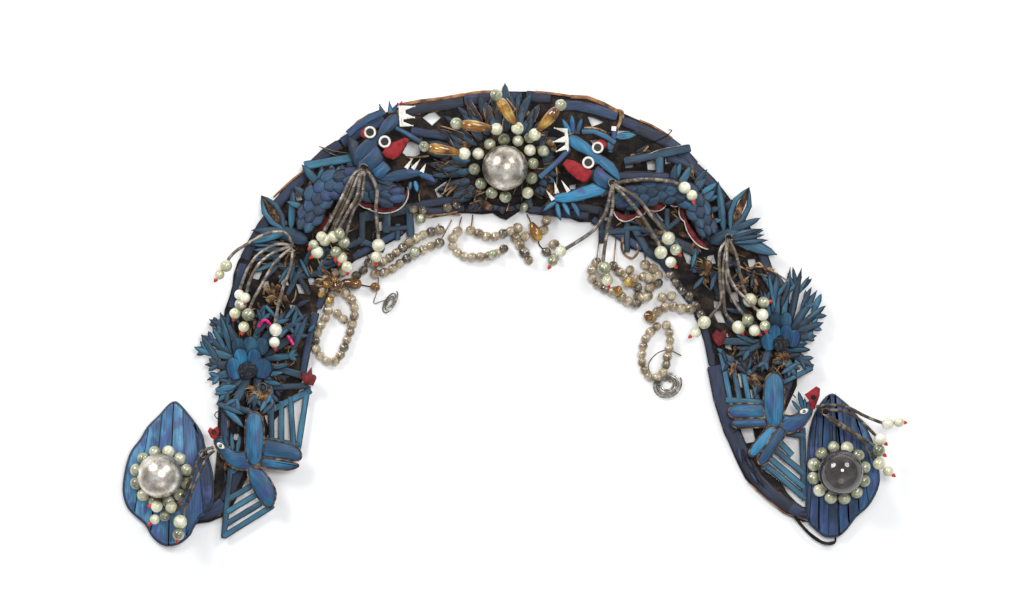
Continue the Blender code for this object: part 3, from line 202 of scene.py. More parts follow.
@dataclass(frozen=True)
class Feather(Finish):
    """Kingfisher feather cut in strips and glued on card: parallel barbs, a satin gloss, turquoise at the cut sides."""

    deep: str = "#16305C"
    body: str = "#2566A6"
    bright: str = "#3C8FCC"
    violet: str = "#4C5AA8"
    margin: str = "#2F86A8"
    worn: str = "#16181F"
    violet_share: float = 0.56
    roughness: float = 0.46
    margin_width: float = 1.1
    margin_share: float = 0.75

    def dress(self, tree: bpy.types.NodeTree, shader: bpy.types.Node) -> None:
        """Barbs run along the strip; the seed in the edge map shifts the tone of each one.

        Args:
            tree: the material's node tree.
            shader: its Principled shader.
        """
        lay = add_node(tree, "UVMap", {"uv_map": "lay"}, {})
        edge = add_node(tree, "UVMap", {"uv_map": "edge"}, {})
        rim = add_node(tree, "SeparateXYZ", {}, {0: edge.outputs[0]})
        # Barbs stand 0.15 mm apart; they are drawn 0.5 mm apart so that the render shows them.
        fine = add_node(tree, "Mapping", {"Scale": (0.11, 2.3, 1.0)}, {"Vector": lay.outputs[0]})
        barbs = add_node(
            tree, "TexNoise", {"Scale": 1.0, "Detail": 3.0, "Roughness": 0.65, "Distortion": 0.25},
            {"Vector": fine.outputs[0]},
        )
        broad = add_node(tree, "Mapping", {"Scale": (0.09, 0.28, 1.0)}, {"Vector": lay.outputs[0]})
        patch = add_node(
            tree, "TexNoise", {"Scale": 1.0, "Detail": 2.5, "Roughness": 0.6}, {"Vector": broad.outputs[0]},
        )
        mixed = add_node(
            tree, "Math", {"operation": "MULTIPLY_ADD", 1: 0.85}, {0: patch.outputs["Fac"], 2: rim.outputs["X"]},
        )
        tone = add_node(tree, "Math", {"operation": "SUBTRACT", 1: 0.42}, {0: mixed.outputs[0]})
        base = add_node(
            tree, "ValToRGB", {"ramp": [(0.12, self.deep), (0.5, self.body), (0.88, self.bright)]},
            {0: tone.outputs[0]},
        )
        shifted = add_node(
            tree, "Mapping", {"Scale": (0.13, 0.2, 1.0), "Location": (31.0, 7.0, 0.0)}, {"Vector": lay.outputs[0]},
        )
        dye = add_node(tree, "TexNoise", {"Scale": 1.0, "Detail": 2.0}, {"Vector": shifted.outputs[0]})
        dyed = add_node(
            tree, "MapRange", {1: self.violet_share, 2: self.violet_share + 0.12, 3: 0.0, 4: 0.8},
            {0: dye.outputs["Fac"]},
        )
        violet = add_node(
            tree, "Mix", {"data_type": "RGBA", 7: linear(self.violet)}, {0: dyed.outputs[0], 6: base.outputs[0]},
        )
        cut = add_node(
            tree, "MapRange", {1: 0.15, 2: self.margin_width, 3: self.margin_share, 4: 0.0}, {0: rim.outputs["Y"]},
        )
        sides = add_node(
            tree, "Mix", {"data_type": "RGBA", 7: linear(self.margin)}, {0: cut.outputs[0], 6: violet.outputs[2]},
        )
        strand = add_node(tree, "MapRange", {1: 0.3, 2: 0.7, 3: 0.52, 4: 1.4}, {0: barbs.outputs["Fac"]})
        shade = add_node(
            tree, "HueSaturation", {"Saturation": 1.0}, {"Value": strand.outputs[0], "Color": sides.outputs[2]},
        )
        bare = add_node(tree, "TexNoise", {"Scale": 0.9, "Detail": 4.0, "Roughness": 0.7}, {"Vector": lay.outputs[0]})
        lost = add_node(tree, "MapRange", {1: 0.66, 2: 0.72, 3: 0.0, 4: 0.85}, {0: bare.outputs["Fac"]})
        worn = add_node(
            tree, "Mix", {"data_type": "RGBA", 7: linear(self.worn)}, {0: lost.outputs[0], 6: shade.outputs[0]},
        )
        tree.links.new(worn.outputs[2], shader.inputs["Base Color"])
        gloss = add_node(
            tree, "MapRange", {1: 0.3, 2: 0.7, 3: self.roughness + 0.1, 4: self.roughness - 0.08},
            {0: barbs.outputs["Fac"]},
        )
        tree.links.new(gloss.outputs[0], shader.inputs["Roughness"])
        relief = add_node(tree, "Bump", {"Strength": 0.35, "Distance": 0.00012}, {"Height": barbs.outputs["Fac"]})
        tree.links.new(relief.outputs[0], shader.inputs["Normal"])
        shader.inputs["Sheen Weight"].default_value = 0.15
        shader.inputs["Sheen Roughness"].default_value = 0.4
        shader.inputs["Specular IOR Level"].default_value = 0.4


@dataclass(frozen=True)
class Fibre(Finish):
    """Paper, card or straw: matt, fibrous, stained in patches."""

    dark: str = "#1A181A"
    light: str = "#3A3028"
    stain: str = "#5A4028"
    patch: float = 5.0
    balance: float = 0.5
    roughness: float = 0.85

    def dress(self, tree: bpy.types.NodeTree, shader: bpy.types.Node) -> None:
        """Patches of two tones, with fine fibres in colour and relief.

        Args:
            tree: the material's node tree.
            shader: its Principled shader.
        """
        large = self.mottle(tree, self.patch, 4.0)
        stops = [(self.balance - 0.1, self.dark), (self.balance + 0.03, self.light), (self.balance + 0.16, self.stain)]
        base = add_node(tree, "ValToRGB", {"ramp": stops}, {0: large.outputs["Fac"]})
        # Fibres are 0.05 mm thick in the paper, drawn at 0.5 mm.
        fibres = self.mottle(tree, 0.5, 5.0, (1.0, 0.35, 1.0))
        strand = add_node(tree, "MapRange", {1: 0.3, 2: 0.7, 3: 0.72, 4: 1.22}, {0: fibres.outputs["Fac"]})
        shade = add_node(tree, "HueSaturation", {}, {"Value": strand.outputs[0], "Color": base.outputs[0]})
        tree.links.new(shade.outputs[0], shader.inputs["Base Color"])
        relief = add_node(tree, "Bump", {"Strength": 0.4, "Distance": 0.00015}, {"Height": fibres.outputs["Fac"]})
        tree.links.new(relief.outputs[0], shader.inputs["Normal"])
        shader.inputs["Roughness"].default_value = self.roughness
        shader.inputs["Specular IOR Level"].default_value = 0.3


@dataclass(frozen=True)
class Glass(Finish):
    """Blown or moulded glass, clear to cloudy, with its coat's patches of two or three tones."""

    dark: str = "#6A5A44"
    light: str = "#B8A888"
    glint: str = "#D8CDB4"
    patch: float = 5.0
    transmission: float = 0.0
    metallic: float = 0.0
    roughness: float = 0.12
    coat: float = 0.6
    relief: float = 0.1

    def dress(self, tree: bpy.types.NodeTree, shader: bpy.types.Node) -> None:
        """Tone patches as wide as a bead, so that beads differ, and a slightly uneven gloss.

        Args:
            tree: the material's node tree.
            shader: its Principled shader.
        """
        large = self.mottle(tree, self.patch, 3.0)
        stops = [(0.36, self.dark), (0.52, self.light), (0.66, self.glint)]
        base = add_node(tree, "ValToRGB", {"ramp": stops}, {0: large.outputs["Fac"]})
        tree.links.new(base.outputs[0], shader.inputs["Base Color"])
        small = self.mottle(tree, 1.1, 3.0)
        gloss = add_node(
            tree, "MapRange", {1: 0.35, 2: 0.7, 3: self.roughness, 4: self.roughness + 0.2}, {0: small.outputs["Fac"]},
        )
        tree.links.new(gloss.outputs[0], shader.inputs["Roughness"])
        if self.relief:
            bump = add_node(
                tree, "Bump", {"Strength": self.relief, "Distance": 0.0002}, {"Height": small.outputs["Fac"]},
            )
            tree.links.new(bump.outputs[0], shader.inputs["Normal"])
        shader.inputs["Transmission Weight"].default_value = self.transmission
        shader.inputs["Metallic"].default_value = self.metallic
        shader.inputs["Coat Weight"].default_value = self.coat
        shader.inputs["Coat Roughness"].default_value = 0.06


@dataclass(frozen=True)
class Wire(Finish):
    """Drawn iron or brass wire, dulled and spotted by age."""

    dark: str
    light: str
    stain: str
    roughness: float = 0.36
    metallic: float = 0.85

    def dress(self, tree: bpy.types.NodeTree, shader: bpy.types.Node) -> None:
        """Metal with stained patches, rougher where it is stained.

        Args:
            tree: the material's node tree.
            shader: its Principled shader.
        """
        large = self.mottle(tree, 3.5, 2.0)
        stops = [(0.36, self.stain), (0.47, self.dark), (0.62, self.light)]
        base = add_node(tree, "ValToRGB", {"ramp": stops}, {0: large.outputs["Fac"]})
        tree.links.new(base.outputs[0], shader.inputs["Base Color"])
        gloss = add_node(
            tree, "MapRange", {1: 0.35, 2: 0.65, 3: self.roughness + 0.25, 4: self.roughness},
            {0: large.outputs["Fac"]},
        )
        tree.links.new(gloss.outputs[0], shader.inputs["Roughness"])
        shader.inputs["Metallic"].default_value = self.metallic


# Bright feather of the dragons' heads, the birds and the petals.
BRIGHT = Feather(
    "kingfisher feather, bright, glued", "#0E2438", "#1A4668", "#2C7CA2", "#303C78", "#1A2024", "#16181F", 0.56, 0.46,
    0.8, 0.9,
)
# The same feather cut in rounded scales, each with the dark card showing at its edge.
SCALY = Feather(
    "kingfisher feather, rounded scales", "#12263C", "#1E4662", "#36708C", "#2E3C6E", "#06090F", "#101218", 0.55, 0.5,
    1.0, 0.95,
)
# Older feather of the leaves, fins and slats, gone teal, dark at the cut sides.
TEAL = Feather(
    "kingfisher feather, teal, aged", "#0E1C28", "#20445A", "#326E88", "#28385E", "#0A1219", "#14161A", 0.6, 0.5, 0.6,
    0.85,
)
# Deep strips that cover the band.
NAVY = Feather(
    "kingfisher feather, navy, band", "#0E1424", "#1A2A48", "#264466", "#262C50", "#0E1422", "#14151B", 0.6, 0.5, 0.8,
    0.8,
)
# Bright strips of the end plaques, violet in the middle of each and turquoise at its sides.
PLAQUE = Feather(
    "kingfisher feather, plaque strips", "#1A2E48", "#2E5680", "#548CB0", "#404E84", "#2A3A44", "#1A2030", 0.48, 0.48,
    0.9, 0.8,
)
# Lacquered card under the feathers, nearly black.
CARD = Fibre("lacquered card, dark", "#0E0D10", "#221C19", "#463628")
# Black net over the lotus hearts.
NET = Fibre("black net over card", "#08090C", "#1A2028", "#36424C", 1.0, 0.5, 0.7)
# Cut sides of the card: dark lacquer, tan where the paper shows.
CUT = Fibre("card edge, cut and worn", "#110E0C", "#2C2018", "#8E6440", 4.0, 0.55, 0.7)
# Copper-brown paper that binds the rim.
RIM = Fibre("copper paper, folded rim", "#4A3020", "#8A5E3A", "#B07C4C", 5.0, 0.47, 0.5)
# Brown paper scraps and twisted straw.
STRAW = Fibre("straw and brown paper, twisted", "#4A3624", "#967858", "#BCA27E", 4.0, 0.5, 0.8)
# Torn dark brown paper.
SCRAP = Fibre("brown paper, torn", "#2A1C14", "#5E442E", "#9A7A54", 3.0, 0.5, 0.8)
# Red silk paper of tongues, combs and bellies.
RED = Fibre("red silk paper, glued", "#5C1014", "#86181E", "#942428", 3.0, 0.42, 0.7)
# Darker red of the bellies.
CRIMSON = Fibre("crimson silk paper, glued", "#420E12", "#68161C", "#7A2026", 3.0, 0.45, 0.6)
# Magenta thread tufts.
MAGENTA = Fibre("magenta silk floss", "#A81458", "#E0207A", "#F04090", 1.2, 0.45, 0.7)
# White paper of teeth and eye rings, slightly soiled.
WHITE = Fibre("white paper, cut", "#A89E8E", "#D8D2C6", "#EAE6DC", 3.5, 0.38, 0.75)
# Black pupils.
BLACK = Fibre("black lacquer, painted", "#060606", "#0C0B0B", "#161210", 2.0, 0.55, 0.35)
# Wax-filled imitation pearls, their coat turned ivory and green-grey.
PEARL = Glass("imitation pearl, waxed glass", "#6A6C54", "#A0A284", "#D6D4BC", 6.0, 0.0, 0.2, 0.14, 0.9, 0.12)
# Whiter pearls on the springs.
IVORY = Glass("imitation pearl, ivory coat", "#B8B490", "#DAD8BC", "#F4F2E4", 6.0, 0.0, 0.1, 0.16, 0.8, 0.12)
# Mercury-silvered ball.
SILVERED = Glass("silvered glass, mirror worn", "#968C7E", "#CCC4B6", "#F2EEE6", 6.0, 0.0, 0.9, 0.24, 0.4, 0.1)
# Clear smoky ball.
CLEAR = Glass("smoky clear glass, blown", "#46403E", "#6A6260", "#8E8682", 9.0, 0.7, 0.0, 0.04, 0.6, 0.0)
# Amber drops.
AMBER = Glass("amber glass, moulded", "#5C3406", "#AE7614", "#E8C45C", 8.0, 0.35, 0.0, 0.08, 1.0, 0.05)
# Champagne beads of the strings.
CHAMPAGNE = Glass("champagne glass, pressed", "#6E5C46", "#BAA684", "#E4D8BC", 4.5, 0.35, 0.0, 0.12, 0.8, 0.0)
# Darker smoky beads.
SMOKY = Glass("smoky glass, pressed", "#3E342A", "#756856", "#B0A48A", 4.0, 0.35, 0.0, 0.1, 0.8, 0.0)
# Coil springs.
SPRING = Wire("coil spring, drawn iron wire", "#5C5248", "#A0968A", "#74685A", 0.38, 0.6)
# Coil springs gone nearly black.
BLACK_SPRING = Wire("coil spring, blackened iron", "#3A322A", "#7A7064", "#4A3E32", 0.4, 0.5)
# Thin silvery wire.
SILVER_WIRE = Wire("silvery wire, drawn", "#6A6660", "#B8B4AA", "#7A6C5A", 0.3)
# Black wire and thread.
DARK_WIRE = Wire("black wire, wound", "#141210", "#2E2A26", "#3A2C20", 0.5)
# Red wax on the pearls' ends.
WAX = Fibre("red sealing wax, dripped", "#8E1C14", "#C0301F", "#D84A32", 1.5, 0.42, 0.35)
# The finishes that the tables name.
FINISHES = {
    "AMBER": AMBER, "BRIGHT": BRIGHT, "CHAMPAGNE": CHAMPAGNE, "DARK_WIRE": DARK_WIRE, "MAGENTA": MAGENTA,
    "NAVY": NAVY, "PEARL": PEARL, "RED": RED, "RIM": RIM, "SILVER_WIRE": SILVER_WIRE, "SMOKY": SMOKY,
    "STRAW": STRAW, "TEAL": TEAL, "WHITE": WHITE,
}


# ---------------------------------------------------------------- modelling helpers


@dataclass
class Master:
    """A shape modelled once: its corners in millimetres, faces, finish marks and distance from the cut side."""

    corners: np.ndarray
    faces: list
    marks: list
    margin: np.ndarray
    length: float = 1.0
    width: float = 1.0


def clear_selection() -> None:
    """Leaves nothing selected."""
    for chosen in bpy.context.selected_objects:
        chosen.select_set(False)


def put_in_scene(name: str, data: bpy.types.ID) -> bpy.types.Object:
    """Makes an object, links it to the scene and makes it the active one.

    Args:
        name: the object's name.
        data: its mesh or curve.

    Returns:
        The new object.
    """
    thing = bpy.data.objects.new(name, data)
    bpy.context.scene.collection.objects.link(thing)
    clear_selection()
    thing.select_set(True)
    bpy.context.view_layer.objects.active = thing
    return thing


def pick(thing: bpy.types.Object, numbers: Sequence[int]) -> None:
    """Selects vertices of the mesh in edit mode.

    Args:
        thing: the object in edit mode.
        numbers: the vertices' numbers.
    """
    chosen = set(numbers)
    bm = bmesh.from_edit_mesh(thing.data)
    for face in bm.faces:
        face.select = False
    for line in bm.edges:
        line.select = False
    for vert in bm.verts:
        vert.select = vert.index in chosen
    bm.select_flush_mode()
    bmesh.update_edit_mesh(thing.data)


def lift_off(thing: bpy.types.Object, length: float = 1.0, width: float = 1.0) -> Master:
    """Reads a finished model into a master and removes its object.

    Args:
        thing: the modelled object.
        length: its length in millimetres, along X.
        width: its width in millimetres, along Y.

    Returns:
        The master.
    """
    mesh = thing.data
    corners = np.array([v.co[:] for v in mesh.vertices])
    faces = [tuple(p.vertices) for p in mesh.polygons]
    marks = [p.material_index for p in mesh.polygons]
    bpy.data.objects.remove(thing, do_unlink=True)
    return Master(corners, faces, marks, np.full(len(corners), 5.0), length, width)


@dataclass(frozen=True)
class Blade:
    """A cut card shape covered with feather: its outline's stations along the middle line, modelled at a typical size.

    A station is its share of the length, its share of the width and its lift in millimetres.
    """

    stations: tuple
    length: float = 16.0
    width: float = 4.2
    ridge: float = 0.2
    thick: float = CARD_THICK
    drop: float = 0.16

    def model(self) -> Master:
        """Shapes a grid column by column, lowers its rim and gives it a wall.

        Returns:
            The master of this blade.
        """
        clear_selection()
        bpy.ops.mesh.primitive_grid_add(x_subdivisions=len(self.stations) - 1, y_subdivisions=6, size=2.0)
        thing = bpy.context.object
        xs = sorted({round(v.co.x, 4) for v in thing.data.vertices})
        ys = sorted({round(v.co.y, 4) for v in thing.data.vertices})
        columns = [[v.index for v in thing.data.vertices if abs(v.co.x - x) < 1e-3] for x in xs]
        rows = [[v.index for v in thing.data.vertices if abs(v.co.y - y) < 1e-3] for y in ys]
        bpy.ops.object.mode_set(mode="EDIT")
        bpy.ops.mesh.select_mode(type="VERT")
        bpy.ops.mesh.select_all(action="SELECT")
        bpy.ops.transform.resize(value=(self.length / 2, self.width / 2, 1), center_override=(0, 0, 0))
        targets = (-1.0, -0.84, -0.42, 0.0, 0.42, 0.84, 1.0)
        heights = (-self.drop, 0.0, self.ridge * 0.6, self.ridge, self.ridge * 0.6, 0.0, -self.drop)
        for row, y, target, height in zip(rows, ys, targets, heights):
            pick(thing, row)
            bpy.ops.transform.translate(value=(0, (target - y) * self.width / 2, height))
        for column, x, (share, width, rise) in zip(columns, xs, self.stations):
            pick(thing, column)
            middle = x * self.length / 2
            bpy.ops.transform.resize(value=(1, max(width, 0.02), 1), center_override=(middle, 0, 0))
            bpy.ops.transform.translate(value=((2 * share - 1) * self.length / 2 - middle, 0, rise))
        bpy.ops.mesh.select_all(action="SELECT")
        bpy.ops.mesh.remove_doubles(threshold=0.02)
        bpy.ops.object.mode_set(mode="OBJECT")
        wall = thing.modifiers.new("wall", "SOLIDIFY")
        wall.thickness = self.thick
        wall.offset = -1.0
        bpy.ops.object.modifier_apply(modifier="wall")
        shares = [s[0] for s in self.stations]
        widths = [s[1] for s in self.stations]
        for face in thing.data.polygons:
            half = self.width / 2 * np.interp(face.center.x / self.length + 0.5, shares, widths)
            face.material_index = 0 if face.normal.z > FACE_TILT and abs(face.center.y) < half * 0.87 else 1
        master = lift_off(thing, self.length, self.width)
        half = self.width / 2 * np.interp(master.corners[:, 0] / self.length + 0.5, shares, widths)
        master.margin = np.maximum(half - np.abs(master.corners[:, 1]), 0.0)
        return master


class Form(Enum):
    """The cut shapes that make the feathered layers."""

    LEAF = Blade(((0, 0.42, 0), (0.12, 0.8, 0.05), (0.34, 1.0, 0.1), (0.62, 0.96, 0.1), (0.85, 0.6, 0.05), (1, 0, 0)))
    STRIP = Blade(
        ((0, 0.86, 0), (0.02, 1.0, 0), (0.33, 0.95, 0), (0.66, 1.0, 0), (0.97, 0.96, 0), (1, 0.72, 0)), 16, 3.0, 0.1,
    )
    OVAL = Blade(
        (
            (0, 0.0, -0.2), (0.05, 0.44, 0), (0.2, 0.8, 0.1), (0.5, 1.0, 0.2), (0.8, 0.8, 0.1), (0.95, 0.44, 0),
            (1, 0, -0.2),
        ),
        14, 6.5, 0.42,
    )
    SPIKE = Blade(((0, 1.0, 0), (0.35, 0.7, 0), (0.7, 0.34, 0), (1, 0, 0)), 6.0, 3.0, 0.12)
    SCALE = Blade(((0, 0.7, 0), (0.35, 1.0, 0.1), (0.68, 0.92, 0.1), (0.9, 0.55, 0), (1, 0.1, -0.1)), 6.0, 6.0, 0.35)
    CRESCENT = Blade(
        (
            (0, 0.0, 0), (0.12, 0.5, 0), (0.3, 0.85, 0), (0.5, 1.0, 0), (0.7, 0.85, 0), (0.88, 0.5, 0), (1, 0, 0),
        ), 16, 3.0, 0.1,
    )
    CUPPED = Blade(
        ((0, 0.5, 0), (0.2, 0.88, 0.1), (0.45, 1.0, 0.4), (0.72, 0.92, 0.9), (0.9, 0.6, 1.3), (1, 0.08, 1.5)),
        9.0, 6.0, 0.9, 0.4, 0.6,
    )


@dataclass(frozen=True)
class Turned:
    """A round shape turned from a half profile of share along the axis and share of the radius."""

    profile: tuple
    sides: int = 14

    def model(self) -> Master:
        """Spins the profile round X and closes it.

        Returns:
            The master, one millimetre in length and in radius.
        """
        mesh = bpy.data.meshes.new("profile")
        line = [(2 * share - 1, 0.0, radius) for share, radius in self.profile]
        mesh.from_pydata(line, [(i, i + 1) for i in range(len(line) - 1)], [])
        thing = put_in_scene("profile", mesh)
        bpy.ops.object.mode_set(mode="EDIT")
        bpy.ops.mesh.select_all(action="SELECT")
        bpy.ops.mesh.spin(steps=self.sides, angle=math.tau, center=(0, 0, 0), axis=(1, 0, 0))
        bpy.ops.mesh.select_all(action="SELECT")
        bpy.ops.mesh.remove_doubles(threshold=1e-4)
        bpy.ops.mesh.select_all(action="SELECT")
        bpy.ops.mesh.fill_holes(sides=0)
        bpy.ops.mesh.select_all(action="SELECT")
        bpy.ops.mesh.normals_make_consistent(inside=False)
        bpy.ops.object.mode_set(mode="OBJECT")
        return lift_off(thing)


def arc_profile(steps: int, hole: float) -> tuple:
    """A sphere's half profile with a drilled hole at each pole.

    Args:
        steps: the rings between the poles.
        hole: the hole's radius as a share of the sphere's.

    Returns:
        Rows of share along the axis and share of the radius.
    """
    first = math.asin(hole)
    rows = [(0.16, hole * 0.8)]
    for i in range(steps + 1):
        angle = first + (math.pi - 2 * first) * i / steps
        rows.append((0.5 - 0.5 * math.cos(angle), math.sin(angle)))
    return tuple(rows + [(0.84, hole * 0.8)])


class Knob(Enum):
    """The turned shapes: beads, balls and drops."""

    PEARL = Turned(arc_profile(9, 0.16), 16)
    BALL = Turned(arc_profile(26, 0.06), 48)
    FACET = Turned(((0.1, 0.16), (0.0, 0.42), (0.2, 0.86), (0.5, 1.0), (0.8, 0.86), (1.0, 0.42), (0.9, 0.16)), 8)
    DROP = Turned(
        (
            (0.02, 0.12), (0.0, 0.3), (0.04, 0.42), (0.2, 0.66), (0.42, 0.9), (0.62, 1.0), (0.8, 0.96), (0.93, 0.74),
            (1.0, 0.36), (0.98, 0.1),
        ),
        12,
    )
    TIP = Turned(((0.0, 0.0), (0.12, 0.7), (0.4, 1.0), (0.7, 0.75), (1.0, 0.1)), 8)
    DISC = Turned(((0.0, 0.0), (0.0, 0.92), (0.5, 1.0), (1.0, 0.92), (1.0, 0.0)), 20)


MASTERS: dict = {}


def master_of(form: Enum) -> Master:
    """The master of a named form, modelled on first use.

    Args:
        form: a member of Form or Knob.

    Returns:
        Its master.
    """
    if form not in MASTERS:
        MASTERS[form] = form.value.model()
    return MASTERS[form]


def smooth(points: Sequence, pieces: int = 6) -> np.ndarray:
    """Points on a Catmull-Rom curve through the given ones.

    Args:
        points: the knots.
        pieces: steps between each two knots.

    Returns:
        One row for each point.
    """
    knots = np.array(points, dtype=float)
    if len(knots) == 2:
        return knots
    ends = np.vstack([2 * knots[0] - knots[1], knots, 2 * knots[-1] - knots[-2]])
    path = []
    for i in range(1, len(ends) - 2):
        a, b, c, d = ends[i - 1 : i + 3]
        for step in range(pieces):
            t = step / pieces
            path.append(
                0.5 * (2 * b + (c - a) * t + (2 * a - 5 * b + 4 * c - d) * t**2 + (3 * b - a - 3 * c + d) * t**3)
            )
    return np.array(path + [knots[-1]])


def along(path: np.ndarray, shares: np.ndarray) -> tuple[np.ndarray, np.ndarray, float]:
    """Places at shares of a path's length.

    Args:
        path: the path's points.
        shares: shares of its length, from 0 to 1.

    Returns:
        The places, the unit directions there, and the path's length.
    """
    steps = np.diff(path, axis=0)
    lengths = np.concatenate([[0.0], np.cumsum(np.linalg.norm(steps, axis=1))])
    target = np.clip(shares, 0.0, 1.0) * lengths[-1]
    places = np.stack([np.interp(target, lengths, path[:, k]) for k in range(3)], axis=1)
    delta = lengths[-1] * 0.02
    ahead = np.stack(
        [np.interp(np.minimum(target + delta, lengths[-1]), lengths, path[:, k]) for k in range(3)], axis=1,
    )
    behind = np.stack([np.interp(np.maximum(target - delta, 0), lengths, path[:, k]) for k in range(3)], axis=1)
    ways = ahead - behind
    return places, ways / np.linalg.norm(ways, axis=1, keepdims=True), float(lengths[-1])


@dataclass
class Pile:
    """Copies of masters gathered into one piece. Finishes are listed once and named by their order."""

    name: str
    finishes: list
    slot: str
    nodes: tuple = ()
    corners: list = field(default_factory=list)
    faces: list = field(default_factory=list)
    marks: list = field(default_factory=list)
    lays: list = field(default_factory=list)
    edges: list = field(default_factory=list)
    count: int = 0
    copies: int = 0

    def mark(self, finish: Finish) -> int:
        """The number of a finish in this piece, added if it is new.

        Args:
            finish: the finish.

        Returns:
            Its material slot's number.
        """
        if finish not in self.finishes:
            self.finishes.append(finish)
        return self.finishes.index(finish)

    def shift(self) -> np.ndarray:
        """Moves the pattern on, so that no two copies show the same part of it.

        Returns:
            How far, along and across the feather, in millimetres.
        """
        far = self.copies * COPY_SHIFT + len(self.name) * NAME_SHIFT
        return np.array([far, far * CROSS_SHIFT])

    def add(
        self, corners: np.ndarray, faces: Sequence, marks: Sequence[int], lay: np.ndarray, edge: np.ndarray,
    ) -> None:
        """Adds one copy.

        Args:
            corners: its corners in millimetres.
            faces: its faces.
            marks: a material slot for each face.
            lay: each corner's place along and across the feather, in millimetres.
            edge: each corner's tone and distance from the cut side.
        """
        self.corners.append(corners)
        self.faces += [tuple(i + self.count for i in face) for face in faces]
        self.marks += list(marks)
        self.lays.append(lay)
        self.edges.append(edge)
        self.count += len(corners)
        self.copies += 1

    def blade(self, form: Form, path: Sequence, width: float, tone: float, finish: Finish, rim: Finish = CUT) -> None:
        """Lays a blade along a path of points, the plate's underside at the path's height.

        Args:
            form: the cut shape.
            path: two or more points as x, y, z.
            width: its widest, in millimetres.
            tone: 0 for dark to 1 for bright.
            finish: the finish of its face.
            rim: the finish of its cut side.
        """
        master = master_of(form)
        shares = master.corners[:, 0] / master.length + 0.5
        places, ways, length = along(smooth(path), shares)
        side = np.stack([-ways[:, 1], ways[:, 0], np.zeros(len(ways))], axis=1)
        side /= np.linalg.norm(side, axis=1, keepdims=True)
        up = np.cross(ways, side)
        across = master.corners[:, 1:2] * width / master.width
        corners = places + side * across + up * (master.corners[:, 2:3] + BLADE_TOP)
        lay = np.stack([shares * length, across[:, 0]], axis=1) + self.shift()
        edge = np.stack([np.full(len(corners), tone), master.margin * width / master.width], axis=1)
        face, cut = self.mark(finish), self.mark(rim)
        self.add(corners, master.faces, [cut if m else face for m in master.marks], lay, edge)

    def plate(
        self, outline: Sequence, level: float, tone: float, grain: float, finish: Finish, rim: Finish = CUT,
        rise: float = 0.3,
    ) -> None:
        """Adds a plate of a free outline, its rim lowered and its middle raised.

        Args:
            outline: corners as x, y.
            level: the height of its underside.
            tone: 0 for dark to 1 for bright.
            grain: the direction of the barbs in degrees.
            finish: the finish of its face.
            rim: the finish of its cut side.
            rise: how far the middle is raised.
        """
        ring = np.array(outline, dtype=float)
        turned = np.roll(ring, -1, axis=0)
        if np.sum(ring[:, 0] * turned[:, 1] - turned[:, 0] * ring[:, 1]) < 0:
            ring = ring[::-1]
        mesh = bpy.data.meshes.new("plate")
        mesh.from_pydata([(x, y, level + PLATE_TOP) for x, y in ring], [], [tuple(range(len(ring)))])
        thing = put_in_scene("plate", mesh)
        bpy.ops.object.mode_set(mode="EDIT")
        bpy.ops.mesh.select_mode(type="FACE")
        bpy.ops.mesh.select_all(action="SELECT")
        bpy.ops.mesh.inset(thickness=RIM_WIDTH, depth=RIM_DROP, use_even_offset=False)
        bpy.ops.mesh.inset(thickness=CROWN_WIDTH, depth=rise, use_even_offset=False)
        bpy.ops.mesh.select_all(action="SELECT")
        bpy.ops.transform.translate(value=(0, 0, -RIM_DROP))
        bpy.ops.object.mode_set(mode="OBJECT")
        wall = thing.modifiers.new("wall", "SOLIDIFY")
        wall.thickness = CARD_THICK
        wall.offset = -1.0
        bpy.ops.object.modifier_apply(modifier="wall")
        ends = np.roll(ring, -1, axis=0)
        spans = ends - ring
        where = np.array([v.co[:2] for v in thing.data.vertices])
        gaps = where[:, None, :] - ring[None, :, :]
        share = np.clip(np.sum(gaps * spans, axis=2) / np.maximum(np.sum(spans**2, axis=1), 1e-9), 0, 1)
        margin = np.min(np.linalg.norm(gaps - share[..., None] * spans, axis=2), axis=1)
        for face in thing.data.polygons:
            inner = np.mean([margin[i] for i in face.vertices]) > 0.2
            face.material_index = 0 if face.normal.z > FACE_TILT and inner else 1
        master = lift_off(thing)
        angle = math.radians(grain)
        turned = (
            where[:, 0] * math.cos(angle) + where[:, 1] * math.sin(angle),
            where[:, 1] * math.cos(angle) - where[:, 0] * math.sin(angle),
        )
        lay = np.stack(turned, axis=1) + self.shift()
        edge = np.stack([np.full(len(where), tone), margin], axis=1)
        face, cut = self.mark(finish), self.mark(rim)
        self.add(master.corners, master.faces, [cut if m else face for m in master.marks], lay, edge)

    def knob(
        self, form: Knob, centre: Sequence, radius: float, finish: Finish, way: Sequence = (1, 0, 0),
        length: float = 0.0,
    ) -> None:
        """Puts a turned shape at a place, its axis along a direction.

        Args:
            form: the turned shape.
            centre: its middle as x, y, z.
            radius: its radius in millimetres.
            finish: its finish.
            way: the direction of its axis.
            length: its length; twice the radius if zero.
        """
        master = master_of(form)
        axis = Vector(way).normalized()
        across = axis.cross(Vector((0, 0, 1))) if abs(axis.z) < 0.9 else axis.cross(Vector((0, 1, 0)))
        across.normalize()
        frame = np.array([axis[:], across[:], axis.cross(across)[:]])
        if np.linalg.det(frame) < 0:
            frame[1] *= -1
        size = np.array([(length or 2 * radius) / 2, radius, radius])
        corners = (master.corners * size) @ frame + np.array(centre, dtype=float)
        lay = np.stack([master.corners[:, 0] * size[0], master.corners[:, 1] * radius], axis=1)
        edge = np.full((len(corners), 2), 0.5)
        self.add(corners, master.faces, [self.mark(finish)] * len(master.faces), lay, edge)

